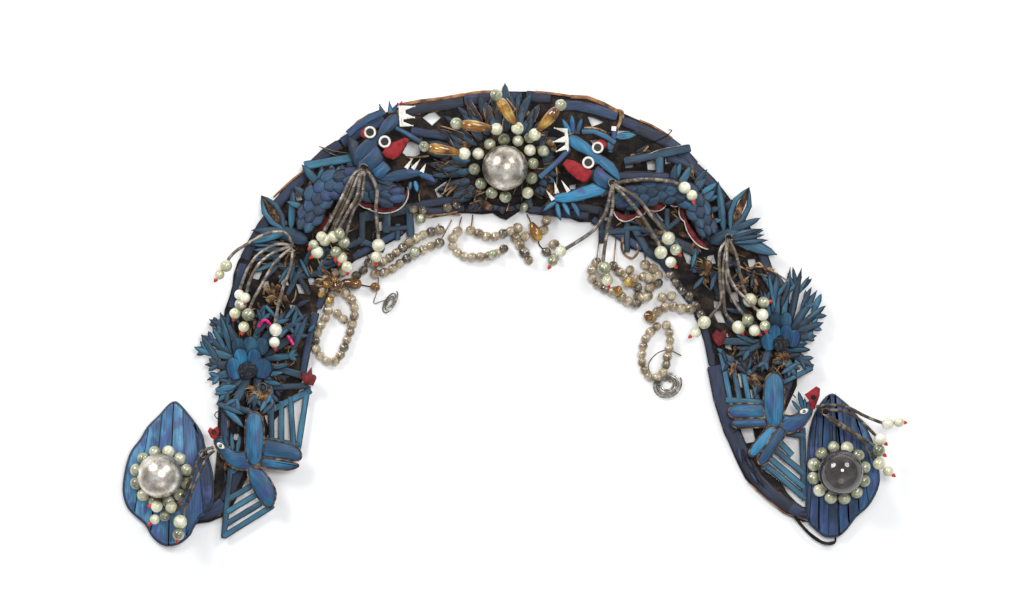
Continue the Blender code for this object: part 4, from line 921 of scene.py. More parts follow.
    def tube(self, path: np.ndarray, radius: float, finish: Finish, sides: int = 6, closed: bool = False) -> None:
        """Adds a round wire along a path.

        Args:
            path: the path's points.
            radius: the wire's radius.
            finish: its finish.
            sides: the faces round it.
            closed: True for a ring.
        """
        path = np.asarray(path, dtype=float)
        count = len(path)
        if closed:
            ways = np.roll(path, -1, axis=0) - np.roll(path, 1, axis=0)
        else:
            ways = np.gradient(path, axis=0)
        ways /= np.maximum(np.linalg.norm(ways, axis=1, keepdims=True), 1e-9)
        side = np.zeros_like(path)
        first = np.cross(ways[0], (0, 0, 1.0))
        if np.linalg.norm(first) < 0.1:
            first = np.cross(ways[0], (0, 1.0, 0))
        side[0] = first / np.linalg.norm(first)
        for i in range(1, count):
            here = side[i - 1] - ways[i] * np.dot(side[i - 1], ways[i])
            side[i] = here / np.linalg.norm(here)
        up = np.cross(ways, side)
        corners = []
        for k in range(sides):
            angle = math.tau * k / sides
            corners.append(path + (side * math.cos(angle) + up * math.sin(angle)) * radius)
        corners = np.stack(corners, axis=1).reshape(-1, 3)
        faces = []
        for i in range(count if closed else count - 1):
            n = (i + 1) % count
            for k in range(sides):
                m = (k + 1) % sides
                faces.append((i * sides + k, i * sides + m, n * sides + m, n * sides + k))
        if not closed:
            faces.append(tuple(range(sides))[::-1])
            faces.append(tuple((count - 1) * sides + k for k in range(sides)))
        lay = np.repeat(np.stack([np.arange(count) * 1.0, np.zeros(count)], axis=1), sides, axis=0)
        edge = np.full((len(corners), 2), 0.5)
        self.add(corners, faces, [self.mark(finish)] * len(faces), lay, edge)

    def finish(self) -> bpy.types.Object:
        """Makes the piece, in its place, and hands it to the frame.

        Returns:
            The new object.
        """
        mesh = bpy.data.meshes.new(self.name)
        corners = np.concatenate(self.corners) * MM
        mesh.from_pydata(corners.tolist(), [], self.faces)
        numbers = np.zeros(len(mesh.loops), dtype=np.int32)
        mesh.loops.foreach_get("vertex_index", numbers)
        for name, rows in (("lay", self.lays), ("edge", self.edges)):
            layer = mesh.uv_layers.new(name=name)
            layer.data.foreach_set("uv", np.concatenate(rows)[numbers].astype(np.float32).ravel())
        for finish in self.finishes:
            mesh.materials.append(finish.material())
        mesh.polygons.foreach_set("material_index", np.array(self.marks, dtype=np.int32))
        thing = put_in_scene(self.name, mesh)
        bpy.ops.object.shade_smooth_by_angle(angle=SMOOTH_BELOW)
        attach(thing, "root")
        if self.nodes:
            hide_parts(*self.nodes)
        LOG.info("%s: %d copies, %d faces", self.name, self.copies, len(self.faces))
        return thing


def trace(text: str) -> tuple:
    """Reads a short table: rows parted by semicolons, their cells by commas, and numbers and words by spaces.

    Args:
        text: the table.

    Returns:
        One tuple of cells, or of rows of cells; a cell with one value is that value alone.
    """
    if ";" in text:
        return tuple(trace(row) for row in text.split(";"))
    cells = [tuple(w if w[0].isalpha() else float(w) for w in cell.split()) for cell in text.split(",")]
    return tuple(cell if len(cell) > 1 else cell[0] for cell in cells)


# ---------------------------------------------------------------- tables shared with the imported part, in millimetres

# Fretwork on the band under each dragon: kind, x, y, x, y, width, lift.
FRET_LEFT = trace(
    "bar -68 43 -46 47 5 0, bar -57 46 -57 36 4 0, bar -57.5 37.5 -45 38.5 2.6 0, bar -47 48 -46 34 3.6 0, "
    "bar -52 40 -52 32.5 2.6 0, bar -68 45 -68 30 3 0, bar -70 33 -58 28 3 0, bar -67 33 -84 26 3 0, "
    "bar -84 29 -87 17 3.6 0, bar -88 19 -76 24 3 0, bar -85 18 -99 16 3.2 0, bar -90 29 -99 14 3 0, "
    "bar -97 17 -102 8 2.6 0, bar -97 17 -92 8 2.6 0, bar -98 17 -108 23 3 0"
)
FRET_RIGHT = trace(
    "bar 40 46 40 31 2.8 0, bar 38.9 36 52.2 37 3 0, bar 51.5 46 51.5 27 2.8 0, bar 50 38 59 38 2.6 0, "
    "bar 54 39 61 27 3.6 0, bar 60 28 68 23 4 0, bar 57 38 66 34 2.8 0, bar 63 44 70 36 3 0, "
    "bar 69.5 47 69.5 35 2.8 0, bar 69 37 77 44 2.6 0, bar 63 36 84 27 5 0, bar 82 29 82 18 3 0, "
    "bar 80 20 96 16 3 0, bar 90 18 94 6 4 0"
)

# Leaves round each lotus: kind, x, y of the base, x, y of the tip, width, lift.
LEAVES_LEFT = trace(
    "disc -125 -20 -111 -20 13 0, leaf -126 -10 -137 -3 4 0, leaf -124 -14 -135.5 -6.5 4 0, "
    "leaf -124 -20 -140.5 -10 4.5 0, leaf -124 -21 -143.8 -15.5 4.5 0, leaf -122 -18 -132 0 4.5 0, "
    "leaf -121 -24 -139 -23.5 5 0, leaf -121 -25 -138 -30.5 5 0, leaf -116 -25 -133 -34 5 0, "
    "leaf -118 -24 -133.5 -41 5 0, leaf -117 -24 -128 -46 5 0, leaf -114 -24 -117 -44 5 0, "
    "leaf -112 -24 -108 -43 4.5 0, bar -114 -23 -89 -30 3.5 0, leaf -112 -20 -92 -6 4 0, leaf -112 -21 -96 -19 4 0, "
    "leaf -115 -17 -92 0 4 0, leaf -118 -18 -111.5 3 4 0, leaf -116 -17 -102 1 4 0, disc -97 -28 -87.5 -29.5 7 0.8, "
    "bar -116 -34 -92 -33 3 0"
)
LEAVES_RIGHT = trace(
    "disc 114 -12.5 127 -12.5 12 0, leaf 124 -8 130 20 4 0, leaf 119 -9 119 18 4 0, leaf 118 -9 111 11 4 0, "
    "leaf 121 -9 125 20.5 3.6 0, leaf 125 -9 137 10 4.5 0, leaf 126 -9 141 3 4 0, leaf 126 -10 140 -4.5 4.5 0, "
    "leaf 126 -12 137 -10.5 4 0, leaf 125 -14 133 -14 4 0, leaf 124 -16 134 -17 4 0, leaf 121 -15 135.5 -24.5 5 0, "
    "leaf 119 -16 128 -29 5 0, leaf 116 -15 112 -27 4.5 0, leaf 115 -13 97 8 4 0, bar 117 -14 91 -12.5 3.6 0, "
    "leaf 116 -12 100 -20 4 0, disc 88.5 -11.5 98.5 -11 6.5 0.8"
)

# Tail leaves and legs of the dragons, in the same columns.
TAIL_LEFT = trace(
    "disc -107 37.5 -92.5 32 7.5 0, leaf -103 37 -113.5 52.8 7.5 0, leaf -100 38 -99 55.5 4.5 0, "
    "leaf -102 37 -118 37 4 0, leaf -102 36 -119 31 4 0"
)
TAIL_RIGHT = trace(
    "disc 88.5 32 103 36.5 7.5 0, leaf 98 37 106.5 56.5 7.5 0, leaf 95 37 92.5 59 4.5 0, leaf 99 37 111.5 42.5 4 0, "
    "leaf 100 35 113 37 4 0, leaf 98 34 119 26 7 0"
)
# Centre lines of the dragons' bodies: x, y, width.
BODY_LEFT = trace("-50 53 7, -57 53 11, -67 57.5 12, -78 58.5 12, -86 54 12, -90 46 11, -94 38 8")
BODY_RIGHT = trace("47 50 7, 56 52.5 10, 66 54.5 10, 74 54 10, 80.5 51 10, 84.5 44 9, 88 36 7")
FINS_LEFT = trace(
    "leaf -84 57 -86.5 66 4.5 0, leaf -80 58 -82 67 4.5 0, leaf -76 58 -77 67 4.5 0, bar -94 66 -70 70 4.2 0, "
    "leaf -86 56 -95 66.5 5 0, bar -73 57 -73 70 4 0"
)
FINS_RIGHT = trace(
    "leaf 71 56 73.5 67 4.5 0, leaf 75 56 80 66 4.5 0, leaf 80 53 87 60.5 4.5 0, leaf 83 48 91 55 4.5 0, "
    "bar 66 54 66 70 4 0, bar 50 68 80 74 4 0"
)

BIRD_TAIL_LEFT = trace(
    "bar -127.5 -70 -130.5 -102 2.8 0, bar -130.5 -101 -108 -87 2.8 0, bar -129.5 -95.5 -113.5 -86 2.8 0, "
    "bar -129 -90 -113 -80.5 2.8 0, bar -129 -84.5 -114 -76 2.8 0, bar -109 -44 -109 -60 2.8 0, "
    "bar -104.5 -40 -104.5 -61 2.8 0, bar -100.5 -38 -99 -61 2.8 0, bar -92.5 -33 -97 -62 2.8 0, "
    "bar -111 -45 -91 -35 3.2 0, bar -119 -56 -96 -60 2.8 0, bar -127 -72 -108 -57 3.2 0"
)
BIRD_TAIL_RIGHT = trace(
    "bar 130.5 -52 131.5 -85 3 0, bar 118 -56 126 -64.5 3 0, bar 116 -60 131.5 -73 3 0, bar 115 -65 131.5 -79 3 0, "
    "bar 113 -68 132 -84 3 0, bar 116 -53 113 -71 3 0, bar 94 -19 98.5 -42 2.8 0, bar 98.5 -20 103 -43 2.8 0, "
    "bar 103.5 -24 107 -43 2.8 0, bar 108 -27 111 -43 2.8 0, bar 93 -18 112 -30.5 3.2 0, bar 96 -39.5 119 -41 3 0, "
    "bar 117.5 -39 117.5 -58 3.2 0, bar 116 -53 132 -56 3 0"
)

# Lotus petals and hearts: x, y, width, length, turn in degrees, height above the leaves.
LOTUS_LEFT = trace(
    "-119.5 -26 7 8 0 3.4, -125.5 -25 6 10 10 2.4, -112.5 -25 7 9 -12 2.4, -122.5 -20 5.5 8 8 2.8, "
    "-116.5 -20 5.5 8 -8 2.8, -123.5 -15 5.5 8 6 1.8, -118.3 -14.5 5.5 8 0 2, -113 -15 5.5 8 -6 1.8"
)
LOTUS_RIGHT = trace(
    "120.5 -14 5.8 7.5 0 3.4, 114.8 -13 5.5 8 12 2.4, 126.3 -11.5 5.2 8 -12 2.4, 117.8 -9 5 7.5 8 2.8, "
    "122.8 -9 5 7.5 -8 2.8, 118.5 -3.5 4.8 7.5 4 1.8, 123 -3.5 4.6 7.5 -6 1.8"
)

# How far the outer leaves reach towards the right, the crown, the left and the brow.
CROWN_REACH = (25.5, 38.0, 37.0, 22.0)
# Amber drops that ray out of the crown flower: name, foot x, y, tip x, y, the end pearl's radius.
CROWN_RAYS = trace(
    "ray_lower_left -23.5 71.5 -38 74 2.4, ray_upper_left -9 82.5 -23.2 84.3 2.8, ray_top 1.2 84 -6.3 95.5 2.8, "
    "ray_right 10.8 81 20 91.3 2.7"
)

# Springs by group: the post as x, y, radius, foot and top, then one row a spring: its height at the root and at
# the end, its route as x, y, its pearls as x, y, radius, and its tip as x, y. The last row of springs_left_tail
# and the last two of springs_left_head aren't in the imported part.
SPRING_GROUPS = {
    "springs_left_tail": ((-99.5, 28.8, 1.3, SEAT, 12.4), trace(
        "11.5 13, -99 30.5, -102 35.5, -107 36.3, -113 34.5, -119 31, -124 28, -127.5 24.5, -129 21 2.8, -132 17 "
        "2.3, -134 14; "
        "11.5 11, -99 30, -105 30.8, -110 29, -115 25.5, -119 20, -121.5 14, -122.6 11, -123 8 2.4, -122.5 3.5 2.8, "
        "-125 -0.5 2.6, -125.7 -3.5; "
        "11.5 13, -99 29.5, -104 25.5, -108 21, -112 14, -116 7, -118 2.5, -119 -1 3, -121 -6.5 2.5, -121.8 -9.8; "
        "11.5 12, -99 29, -100 20, -103 12, -105 5, -107 -4.5, -106.7 -7.8 3, -107.3 -13.4 2.5, -106.8 -16.8; "
        "11.5 12.6, -99 29.8, -104 28.4, -110 25.5, -115 20.6, -118.2 14.5, -119.6 9.6, -120.4 6.6 2.4, -120.8 3.6"
    )),
    "springs_left_head": ((-67.0, 65.0, 1.4, HEAD_LEVEL + 2.2, 19.5), trace(
        "19 14, -67.5 64.5, -71 62, -74 54, -79 43, -81.8 36.2, -84.5 32.5 2.8, -88 27 2.9, -91 24.5; "
        "19 15.5, -67 64, -69.5 61, -73 52, -78 42, -79.8 37.5, -80.5 34 2.7, -79.5 27 2.7, -79.7 23; "
        "19 14.5, -66.5 64, -66.8 61, -68 52, -72 45, -75 35, -76 31.5 2.8, -77 24.6 2.6, -78.2 21.3; "
        "19 13, -66 64, -63 60, -61 54, -61.5 46, -60.5 33.5, -60.5 30.2 3, -61.5 25 2.5, -61.5 21.4; "
        "19 15, -67.3 64.6, -72 61, -76 53, -81 43, -84.4 37.4, -86 34 2.5, -89.6 30.4 2.3, -91.6 28.6; "
        "19 17, -66.6 64, -68.6 60, -70 52, -74 45, -77.6 38.6, -78 35.4 2.6, -74.4 20.4 2.6, -74.2 17.2"
    )),
    "springs_left_plaque": ((-139.4, -63.6, 1.3, PLAQUE_TOP + CLEARANCE, 14.8), trace(
        "13 14.5, -134.8 -60.6, -139 -62.5, -143 -70, -146 -78, -149.5 -85, -153.5 -87.5 2.8, -160 -87.2 2.7, -163.7 "
        "-86.8; "
        "13 14.5, -134.4 -62, -138 -66, -142.5 -76, -146 -85, -148.5 -90.5, -149.5 -94 3.2, -150.3 -99.7 2.7, -151 "
        "-103; "
        "14.5 13, -148.6 -85.4, -151 -88.5, -153 -89.5, -156.5 -91.5 2.5, -161 -93 2.3, -163.7 -95.5"
    )),
    "springs_right_head": ((44.5, 58.2, 1.4, HEAD_LEVEL + 2.2, 19.5), trace(
        "19 17, 45 58, 56 59.5, 65 59.5, 73.5 58, 77 56 2.8, 80.3 52.6 2.5, 81.3 49; "
        "19 12, 44.5 57.5, 42.5 48, 40 42, 35 36, 24.8 29.3, 21.5 27.5 2.6, 17.8 23 2.4, 16 19.8; "
        "19 12, 44.8 57.5, 44.5 46, 42.5 38, 40.6 24, 41 20 3, 42.5 14.4 2.5, 43 11.2; "
        "19 12, 45 57.5, 54 48, 60 40, 65.4 31, 66.5 27 3, 71 22.6 2.6, 73.5 20.3; "
        "19 13, 45 57.8, 56 51, 62 43.5, 67.5 37, 69.9 33.3 3.1, 73.2 28.2 2.7, 75.3 25.4"
    )),
    "springs_right_tail": ((97.0, 33.6, 1.3, LEAF_LEVEL + SHEET + 0.1 + CLEARANCE, 14.5), trace(
        "14 12, 96.5 33, 92.8 27, 93 14, 93.5 5, 89 -1.5, 86 -4.5 3, 82 -8.9 2.5, 79.2 -11.2; "
        "14 13, 97 33, 100.5 25, 102 17, 104.3 9, 106.5 5.5 3.2, 112.6 4.6 2.7, 116 5; "
        "14 13, 96.6 33, 96 23, 96.5 12, 100 4, 103.5 -0.6, 105.7 -3.2 2.8, 108.6 -8 2.7, 111.3 -10; "
        "14 10.5, 96.4 33, 94.4 20, 94.6 10, 95.5 0, 99 -4.2, 101.5 -6.7 3.1, 103.4 -9.6; "
        "14 16, 96.6 33, 96 22, 98.5 13, 105 5.5, 109.6 1, 112 -1 2.8, 113.2 -6 2.5, 113.8 -9"
    )),
    "springs_right_bird": ((140.5, -44.6, 1.3, PLAQUE_TOP + CLEARANCE, 14.6), trace(
        "13 15, 136 -42.5, 142 -41.5, 150 -42.5, 158 -46.5, 165 -49.3, 168.3 -50 2.8, 173.4 -49.2 2.4, 176.4 -49.5; "
        "13 14, 138 -43.5, 149 -44.5, 156 -48.5, 162.2 -54.6, 165 -57 2.8, 168 -59.4; "
        "13 12, 138 -44.4, 145 -48.5, 153 -54, 161.6 -59.4, 164.5 -62 2.9, 167.6 -64.6; "
        "13 13, 139 -45, 145 -49.8, 155 -56, 159 -61, 162 -65.5, 164.5 -68 2.8, 168.7 -71.4 2.4, 171.6 -73.6"
    )),
}

# Strings of beads lying in the arch: x, y of each bare end, then beads as x, y, radius.
STRINGS = {
    "beads_left_upper": (
        (-66.3, 26), (-33.6, 40.2),
        trace(
            "-62.5 22 2.1, -58 23.2 2.1, -54 26 2.1, -50 29 2.1, -46 32 2.1, -42 34.3 2.1, -37.6 36.2 2.1, "
            "-33.2 37.2 2.1"
        ),
    ),
    "beads_left_lower": (
        None, (-27.7, 41.8),
        trace(
            "-62 17.4 2.1, -57.4 18.2 2.1, -53.2 20.4 2.1, -49.5 23.2 2.1, -45.6 25.6 2.1, -41.5 27.8 2.1, "
            "-37.3 29.7 2.1, -33.2 31.4 2.1"
        ),
    ),
    "beads_left_loop": (
        (-85.5, 5), None,
        trace(
            "-82.8 4.6 2.2, -83.6 0.5 2, -85 -3.5 2, -87.5 -7.5 2, -89 -12.5 2, -88.5 -17.5 2, -85 -21.5 2, "
            "-80.3 -22 2, -77.3 -18.2 2, -75.5 -13.8 2, -73.7 -9.4 2, -72.3 -4.8 2, -71.5 0 2, -72.4 4.6 2.2, "
            "-75.4 8.4 2.3"
        ),
    ),
    "beads_left_amber": ((-79, 14.2), None, trace("-76.6 13.6 2.4, -71.8 13.2 2.4, -66.5 12 2.7, -62.2 11.4 2")),
    "beads_middle": (
        (-23.2, 43.2), None,
        trace(
            "-25 36.5 2.1, -27.6 32 2.1, -25.5 27.5 2.1, -21.3 25.2 2.1, -16.8 25 2.1, -12.3 25.4 2.1, -8 26.4 2.1, "
            "-4.2 28.6 2"
        ),
    ),
    "beads_middle_top": (
        (-18.2, 44), None,
        trace(
            "-19 37 2.1, -14.6 35.4 2.1, -10.2 34 2.1, -5.6 35.2 2.1, -1 36.6 2.1, 1.8 32.6 2.3, 4.4 28.2 2.5, "
            "7 23.6 2"
        ),
    ),
    "beads_centre_drop": ((6.2, 44.4), None, trace("8.6 39.6 2.6, 11.4 35.8 2.4, 11.8 30.8 2.4, 15 27.2 2.2")),
    "beads_right_loop": (
        (39.4, 36.9), None,
        trace(
            "37.6 22.6 2.1, 35.4 18.2 2.1, 36.6 13.6 2.1, 40.8 11 2.1, 45.6 9.2 2.3, 50.2 6 2.5, 54.8 3.8 2.2, "
            "58.6 6.6 2.1"
        ),
    ),
    "beads_right_cross": ((46.5, 33.8), None, trace("45.4 21 2.1, 48.6 17.6 2.1, 52.4 14.4 2.3, 56.2 11.4 2.1")),
    "beads_right_rosette": ((59.5, 27), None, trace("59.8 21.4 2.2, 64.4 19 2.2, 66 14.2 2.2, 62 11.2 2.2")),
    "beads_right_amber": (
        (82.7, 1.9), None, trace("80.2 1.6 2.2, 75.4 1.8 2.3, 70.6 3 2.2, 66 0.8 2.3, 62.2 -2.2 2.6"),
    ),
    "beads_right_hanging": (
        None, None,
        trace(
            "64.8 -6.4 2, 61 -10 2, 59 -14.6 2, 58.2 -19.6 2, 58.7 -24.4 2, 61 -28.6 2, 65.6 -29.2 2, 68.6 -25.4 2, "
            "69.6 -20.6 2, 70.6 -15.6 2, 71 -10.6 2, 69.4 -5.8 2"
        ),
    ),
}


# ---------------------------------------------------------------- tables, in millimetres

# The arch's middle line: x, y, width.
ARCH = trace(
    "-144 -91 9, -135 -88 9.5, -128.5 -76 12, -123.5 -61 20, -121 -46 25, -114.5 -30 34, -112.2 -14 37, "
    "-106.2 12.8 38, -87.7 39.5 42, -62.7 57.5 48, -34.2 68.5 49, -2.2 72.5 50, 29.7 68.5 49, 58.2 57.5 48, "
    "83.2 39.5 42, 101.7 12.8 38, 108.2 -14 37, 110.5 -30 34, 107 -45 24, 102 -56 9, 104.5 -66 7, 111 -77 7, "
    "120.5 -85.5 7, 131 -90.5 7, 139.5 -91.5 7"
)
# The arch's outer edge, from its left end over the crown to its right end.
BAND_OUTER = trace(
    "-144 -87, -137.5 -84, -134.5 -76, -133.5 -62, -133 -48, -132.5 -33, -131 -10, -130 1, -128 6.5, -126.5 12, "
    "-126 17, -124 23, -121 28, -114.5 40, -107 51, -104 55.5, -98 60, -95 62.5, -92 67, -88 71.5, -82 75.5, "
    "-76 79.5, -70 83.5, -66 86.5, -60 89, -50 93, -44 95, -30 97, -22 98, -14 99, -3 99.5, 8 99.5, 15 98.6, "
    "27 97.2, 34 96.5, 40 94, 46 90.7, 49 90, 57 86.5, 64 83.5, 68 80.5, 72 78, 75.5 75, 79 72, 83.5 66.5, 88 63, "
    "91 60, 95 55, 98 51, 106 40, 115 25, 117 20, 121 12, 126 1, 128 -20, 128 -33, 123 -44, 113 -52, 109.5 -60, "
    "109.5 -66, 114 -72, 121 -77, 124 -82, 128 -86, 131 -88, 139 -88.5"
)
# Its inner edge, from the same end.
BAND_INNER = trace(
    "-143.5 -95.3, -137 -94.5, -131 -92, -126 -86, -122 -78, -117 -68, -112 -58, -109 -50, -104 -44, -97.5 -37, "
    "-95 -30, -92 -18, -90.5 -5, -87 4.5, -83 10.5, -78 17, -71.5 23.5, -65 26.5, -58 30.5, -50.5 34.5, -46 39, "
    "-45 44, -36 43, -24 45, -20 45, -14 44.5, -9 45, -6 43, -3 42, 3 46, 13 44, 25 43, 30 41, 38 41, 45 35, 53 29, "
    "60 27, 64 25, 68 20.5, 71 16, 75 9.5, 80 4.5, 82 -1, 85 -9, 88 -18, 90.5 -32, 92.5 -42, 95 -50, 98 -60, "
    "101.5 -68, 105 -75, 110 -80.5, 116 -85.5, 122 -90.5, 131 -94.3, 139 -94.3"
)
# The openings that show the ground through the card.
BAND_GAPS = trace(
    "-39.7 88, -36 90.3, -33.6 88, -36.5 85.4; -48.6 72.5, -46.5 76.4, -43.2 75, -43 72, -46 70.2; -44.6 81.4, "
    "-43 81, -40 78, -43.5 79.6; -34.6 55.5, -30 58.7, -31.5 56, -33.5 54.8, -31.5 53.5, -33.2 52; -98.5 54, "
    "-97 54.6, -95.6 51.4, -97.5 51; -106.4 43, -104 43.4, -101.6 40.2, -104.4 40; -117.6 16, -116 18.8, "
    "-113.6 18.2, -115 15.4; -105.4 16.4, -103 16, -101.6 12.8, -104.4 13; -97.4 12.4, -95 12, -93.6 8.8, "
    "-96.4 9.2; -92.4 15.4, -90 15, -88.6 12.6, -91.4 12.8; 34.4 88.2, 37 87.6, 40.2 86.2, 36 84.6; 47.6 80.4, "
    "48.6 82, 52 81.8, 55 79.8, 51 80.6; 35.2 77.8, 37.6 78, 39.2 77, 36.4 76; 25.8 57.4, 28.2 57.6, 28 55.8, "
    "26 55.8; 51 66.8, 54 67, 54 65.6, 51.4 65.4; 61.2 67.6, 64 68.4, 65.6 66.8, 64.8 64.8, 61.6 65; 69.8 70, "
    "74 69.2, 77 66.8, 73 67.8, 70 67.2; 85.4 55.4, 88 56, 90.2 53, 87 53.2; 61.8 45.6, 64 45.8, 68.2 41.4, "
    "65 42.6; 77 27, 79.4 27.4, 81.2 21.8, 78.6 23; 91 -0.4, 93.6 0, 95.2 -4, 92.6 -3.8; 95 -10, 97 -10.4, "
    "98.4 -16, 96 -15; 102.6 -50.8, 107.2 -50.8, 108.6 -57, 105.4 -57.6; -111.6 -47, -109.2 -46, -108.4 -49, "
    "-110.6 -50.5; -125.8 -55, -123.8 -55, -124.4 -57.4, -126 -57.2; -78.6 66.6, -74.6 66.2, -75.8 64.2, -78 65; "
    "-60.6 40.2, -58.4 41, -58.6 37.6, -60.4 37.4; 40.8 43.6, 43.4 43.6, 43.2 41.8, 41 41.8; -112.4 13.4, "
    "-110.4 13.8, -110 11, -112 10.6; -82 20, -79.4 19.6, -79.6 17.4, -81.6 17.6; -67.6 45.4, -64.4 44.2, -63 43.2, "
    "-66.4 43.4; -100.4 3.4, -97.8 3, -97.4 0.8, -100 1; -85.6 62.4, -83.6 63.2, -83.8 61; -81.4 63.2, -79.4 63.8, "
    "-80 61.6; 106.4 23.6, 109 23.8, 109.6 21, 107 20.8; 90.8 5, 92.8 4.4, 92.6 2.2, 91 2.4; 100.8 -28, 103 -28.6, "
    "103.4 -33, 101.2 -32.6; 106.2 -35, 108.4 -35.4, 108.6 -39, 106.6 -38.6; 98 8.4, 101 8.8, 101.4 5.4, 98.6 5.2; "
    "104 -3, 106.6 -2.6, 107 -6, 104.6 -6.2; 88 25, 90.4 25.6, 91 22.6, 88.4 22.4"
)
# Navy strips glued on the card: width, then points.
BAND_STRIPS = trace(
    "5.4, -50 90.5, -36 93, -22.5 95; 5.6, -22 96, -10 97, 4 97; 5.2, 6 97.5, 17 97; 5.4, 19 93.5, 32 93, 47 88.5; "
    "5, 48 87, 56 84; 6, 55.5 83.5, 63 80.5, 70 77; 5, 70 77, 76 72.5, 82 66; 4.6, 82 65.5, 88 60, 95 51; 4.6, "
    "97 50, 103 40, 110 29; 4.6, 112 28, 117 14, 121 4; 4.6, 122 2, 124 -10, 124.5 -22; 4.4, 124 -24, 124 -34, "
    "118 -45; 7.2, 91 -24, 94.5 -42, 100.5 -58, 105 -67; 6.6, 104.4 -66, 111 -76.5, 119 -84, 126 -88.5; 6.2, "
    "125.5 -88, 131 -91, 138 -91.6; 5, -95 60, -88 69, -78 76; 5, -77 76.5, -68 82, -58 87; 4.8, -108 47, -100 56, "
    "-95 60; 4.8, -121 24, -115 36, -108 46; 4.6, -126.5 2, -124 12, -121.5 22; 4.4, -129 -30, -128.5 -14, -127 0; "
    "4.4, -130 -60, -130 -45, -129 -31; 7, -143 -91, -136 -90, -130.5 -86; 6, -130 -85, -126 -76, -122 -66; 3.6, "
    "-50 37, -60 31.5, -72 25; 3.6, -74 23, -82 14.5, -88 2; 3.8, -44 46.4, -34 45.4, -22 47; 3.8, -20 47, -8 47.4, "
    "4 48; 4, 7 46.6, 20 45, 34 43.4; 3.8, 36 42, 46 36, 58 29; 3.6, 66 25, 74 13, 81 4; 3.6, 83 2, 87 -9, 90 -24; "
    "3.6, -89 0, -92 -12, -95 -28; 4, -48 47, -34 50, -22 51; 4, 20 50, 34 47, 48 44; 4.4, -46 82, -34 80, -24 79; "
    "4.4, 50 62, 60 62, 70 61; 4, 70 70, 80 66, 88 58; 4, -120 -48, -112 -38, -104 -34; 4, 96 -4, 104 -10, 112 -26"
)
# Copper-brown paper on the rim: width, then points.
BAND_RIMS = trace(
    "1.5, -51 93.6, -44 95.2, -34 96.2, -22 98.4; 1.3, -23 98, -16 99.4, -8 99.6; 1.7, 26 97.4, 34 97, 40 94.6, "
    "47.5 90.6; 1.1, 10 99.6, 18 98.8, 26 97.6; 1, -73 82.6, -66 87, -58 90; 0.9, 57 86.8, 64 83.8, 72 78.6; 0.5, "
    "106 -76.4, 114 -84, 124 -91.4, 134 -94.2; 1, -45 44.4, -36 43.6, -25 45.4; 0.9, -108 52, -100 59.6, -94 64"
)

# Small leaves and strips among the lotus leaves, as kind, base, tip, width, lift.
LEAVES_LEFT_EXTRA = trace(
    "leaf -128 -8 -137 -3 3 0.3, leaf -130 -16 -135.5 -6.5 3.2 0.3, leaf -133 -22 -140.5 -10 4 0.3, "
    "leaf -136 -19 -143.8 -15.5 3.2 0.3, leaf -127 -18 -132 0 3.5 0.3, leaf -99.5 -18 -92 0 3.5 0.3, "
    "leaf -92 -8.5 -88.6 -5 2.6 0.3, leaf -108 -25 -100 -23 3 0.4, leaf -112 -28 -103 -27 3 0.4, "
    "leaf -112 -31 -104 -32.5 3.2 0.4, bar -116 -2 -111.5 3 2 0.6, bar -107 -2 -111.5 3 2 0.6, "
    "bar -116 -10 -111.5 -5.5 2 0.6, bar -107 -10 -111.5 -5.5 2 0.6, bar -102.5 -3 -98.5 2.5 2 0.6, "
    "bar -94.5 -3 -98.5 2.5 2 0.6, bar -105 -11 -101 -6.5 2 0.6, bar -97 -11 -101 -6.5 2 0.6, "
    "leaf -127 -42 -115 -46 3.6 0.2, leaf -131 -42 -121 -52 4 0.2, leaf -133.5 -41 -121 -46 3.4 0.4, "
    "leaf -134 -35 -124 -33 4 0.4, leaf -111 -39.5 -114 -45 3 0.5, leaf -108 -41 -113 -46 3 0.6"
)
LEAVES_RIGHT_EXTRA = trace(
    "leaf 125.5 -3 130 20 3.2 0.4, leaf 128 8 133.6 16.5 2.4 0.4, leaf 128 10 126 20.6 2.4 0.5, "
    "leaf 118 2 115 18 2.6 0.5, leaf 117 0 119 18 3.4 0.4, leaf 121 3 125 13.5 2.6 0.5, leaf 116 -2 113 10 2.8 0.5, "
    "leaf 130 2 134.5 11.5 2.8 0.4, leaf 135 0 139 8.5 3.6 0.3, leaf 133 -3 140.5 3 2.8 0.4, "
    "leaf 128 -8.5 140 -4.5 3.8 0.4, leaf 121 -12 132 -14 3.4 0.3, leaf 124 -17 134 -16.5 3 0.3, "
    "leaf 123 -19.5 130 -19 2.8 0.4, leaf 101 -10 110 -14 3.2 0.3, leaf 107 -16 101.5 -16.5 2.8 0.3, "
    "bar 127 -22 135.5 -24.5 2.4 0.3, bar 122 -31.5 135 -25 2.4 0.3, leaf 122 -22 117 -23 2.8 0.3, "
    "leaf 128 -23 120.5 -28 3 0.3"
)

# More spikes along the dragons' backs, and the small feathers on the birds' heads.
EXTRA_FINS = {
    "left": trace(
        "leaf -87.6 59.4 -85.4 64.8 3.6 0, leaf -83.2 60 -81.4 65.6 3.6 0, leaf -79 60.4 -78.2 66 3.6 0, "
        "leaf -75.2 60.4 -74.8 65.8 3.6 0, leaf -92 52 -99 57 3.6 0, leaf -94 47 -102 50 3.6 0"
    ),
    "right": trace(
        "leaf 73 60 75.6 67.4 3.6 0, leaf 82 58 87.4 64.4 3.6 0, leaf 85 53.6 92 58.4 3.6 0, "
        "leaf 86 50 92.6 52.6 3.4 0, leaf 87 45.6 93.4 47 3.4 0, leaf 88.6 41 94.4 41.6 3.2 0"
    ),
}
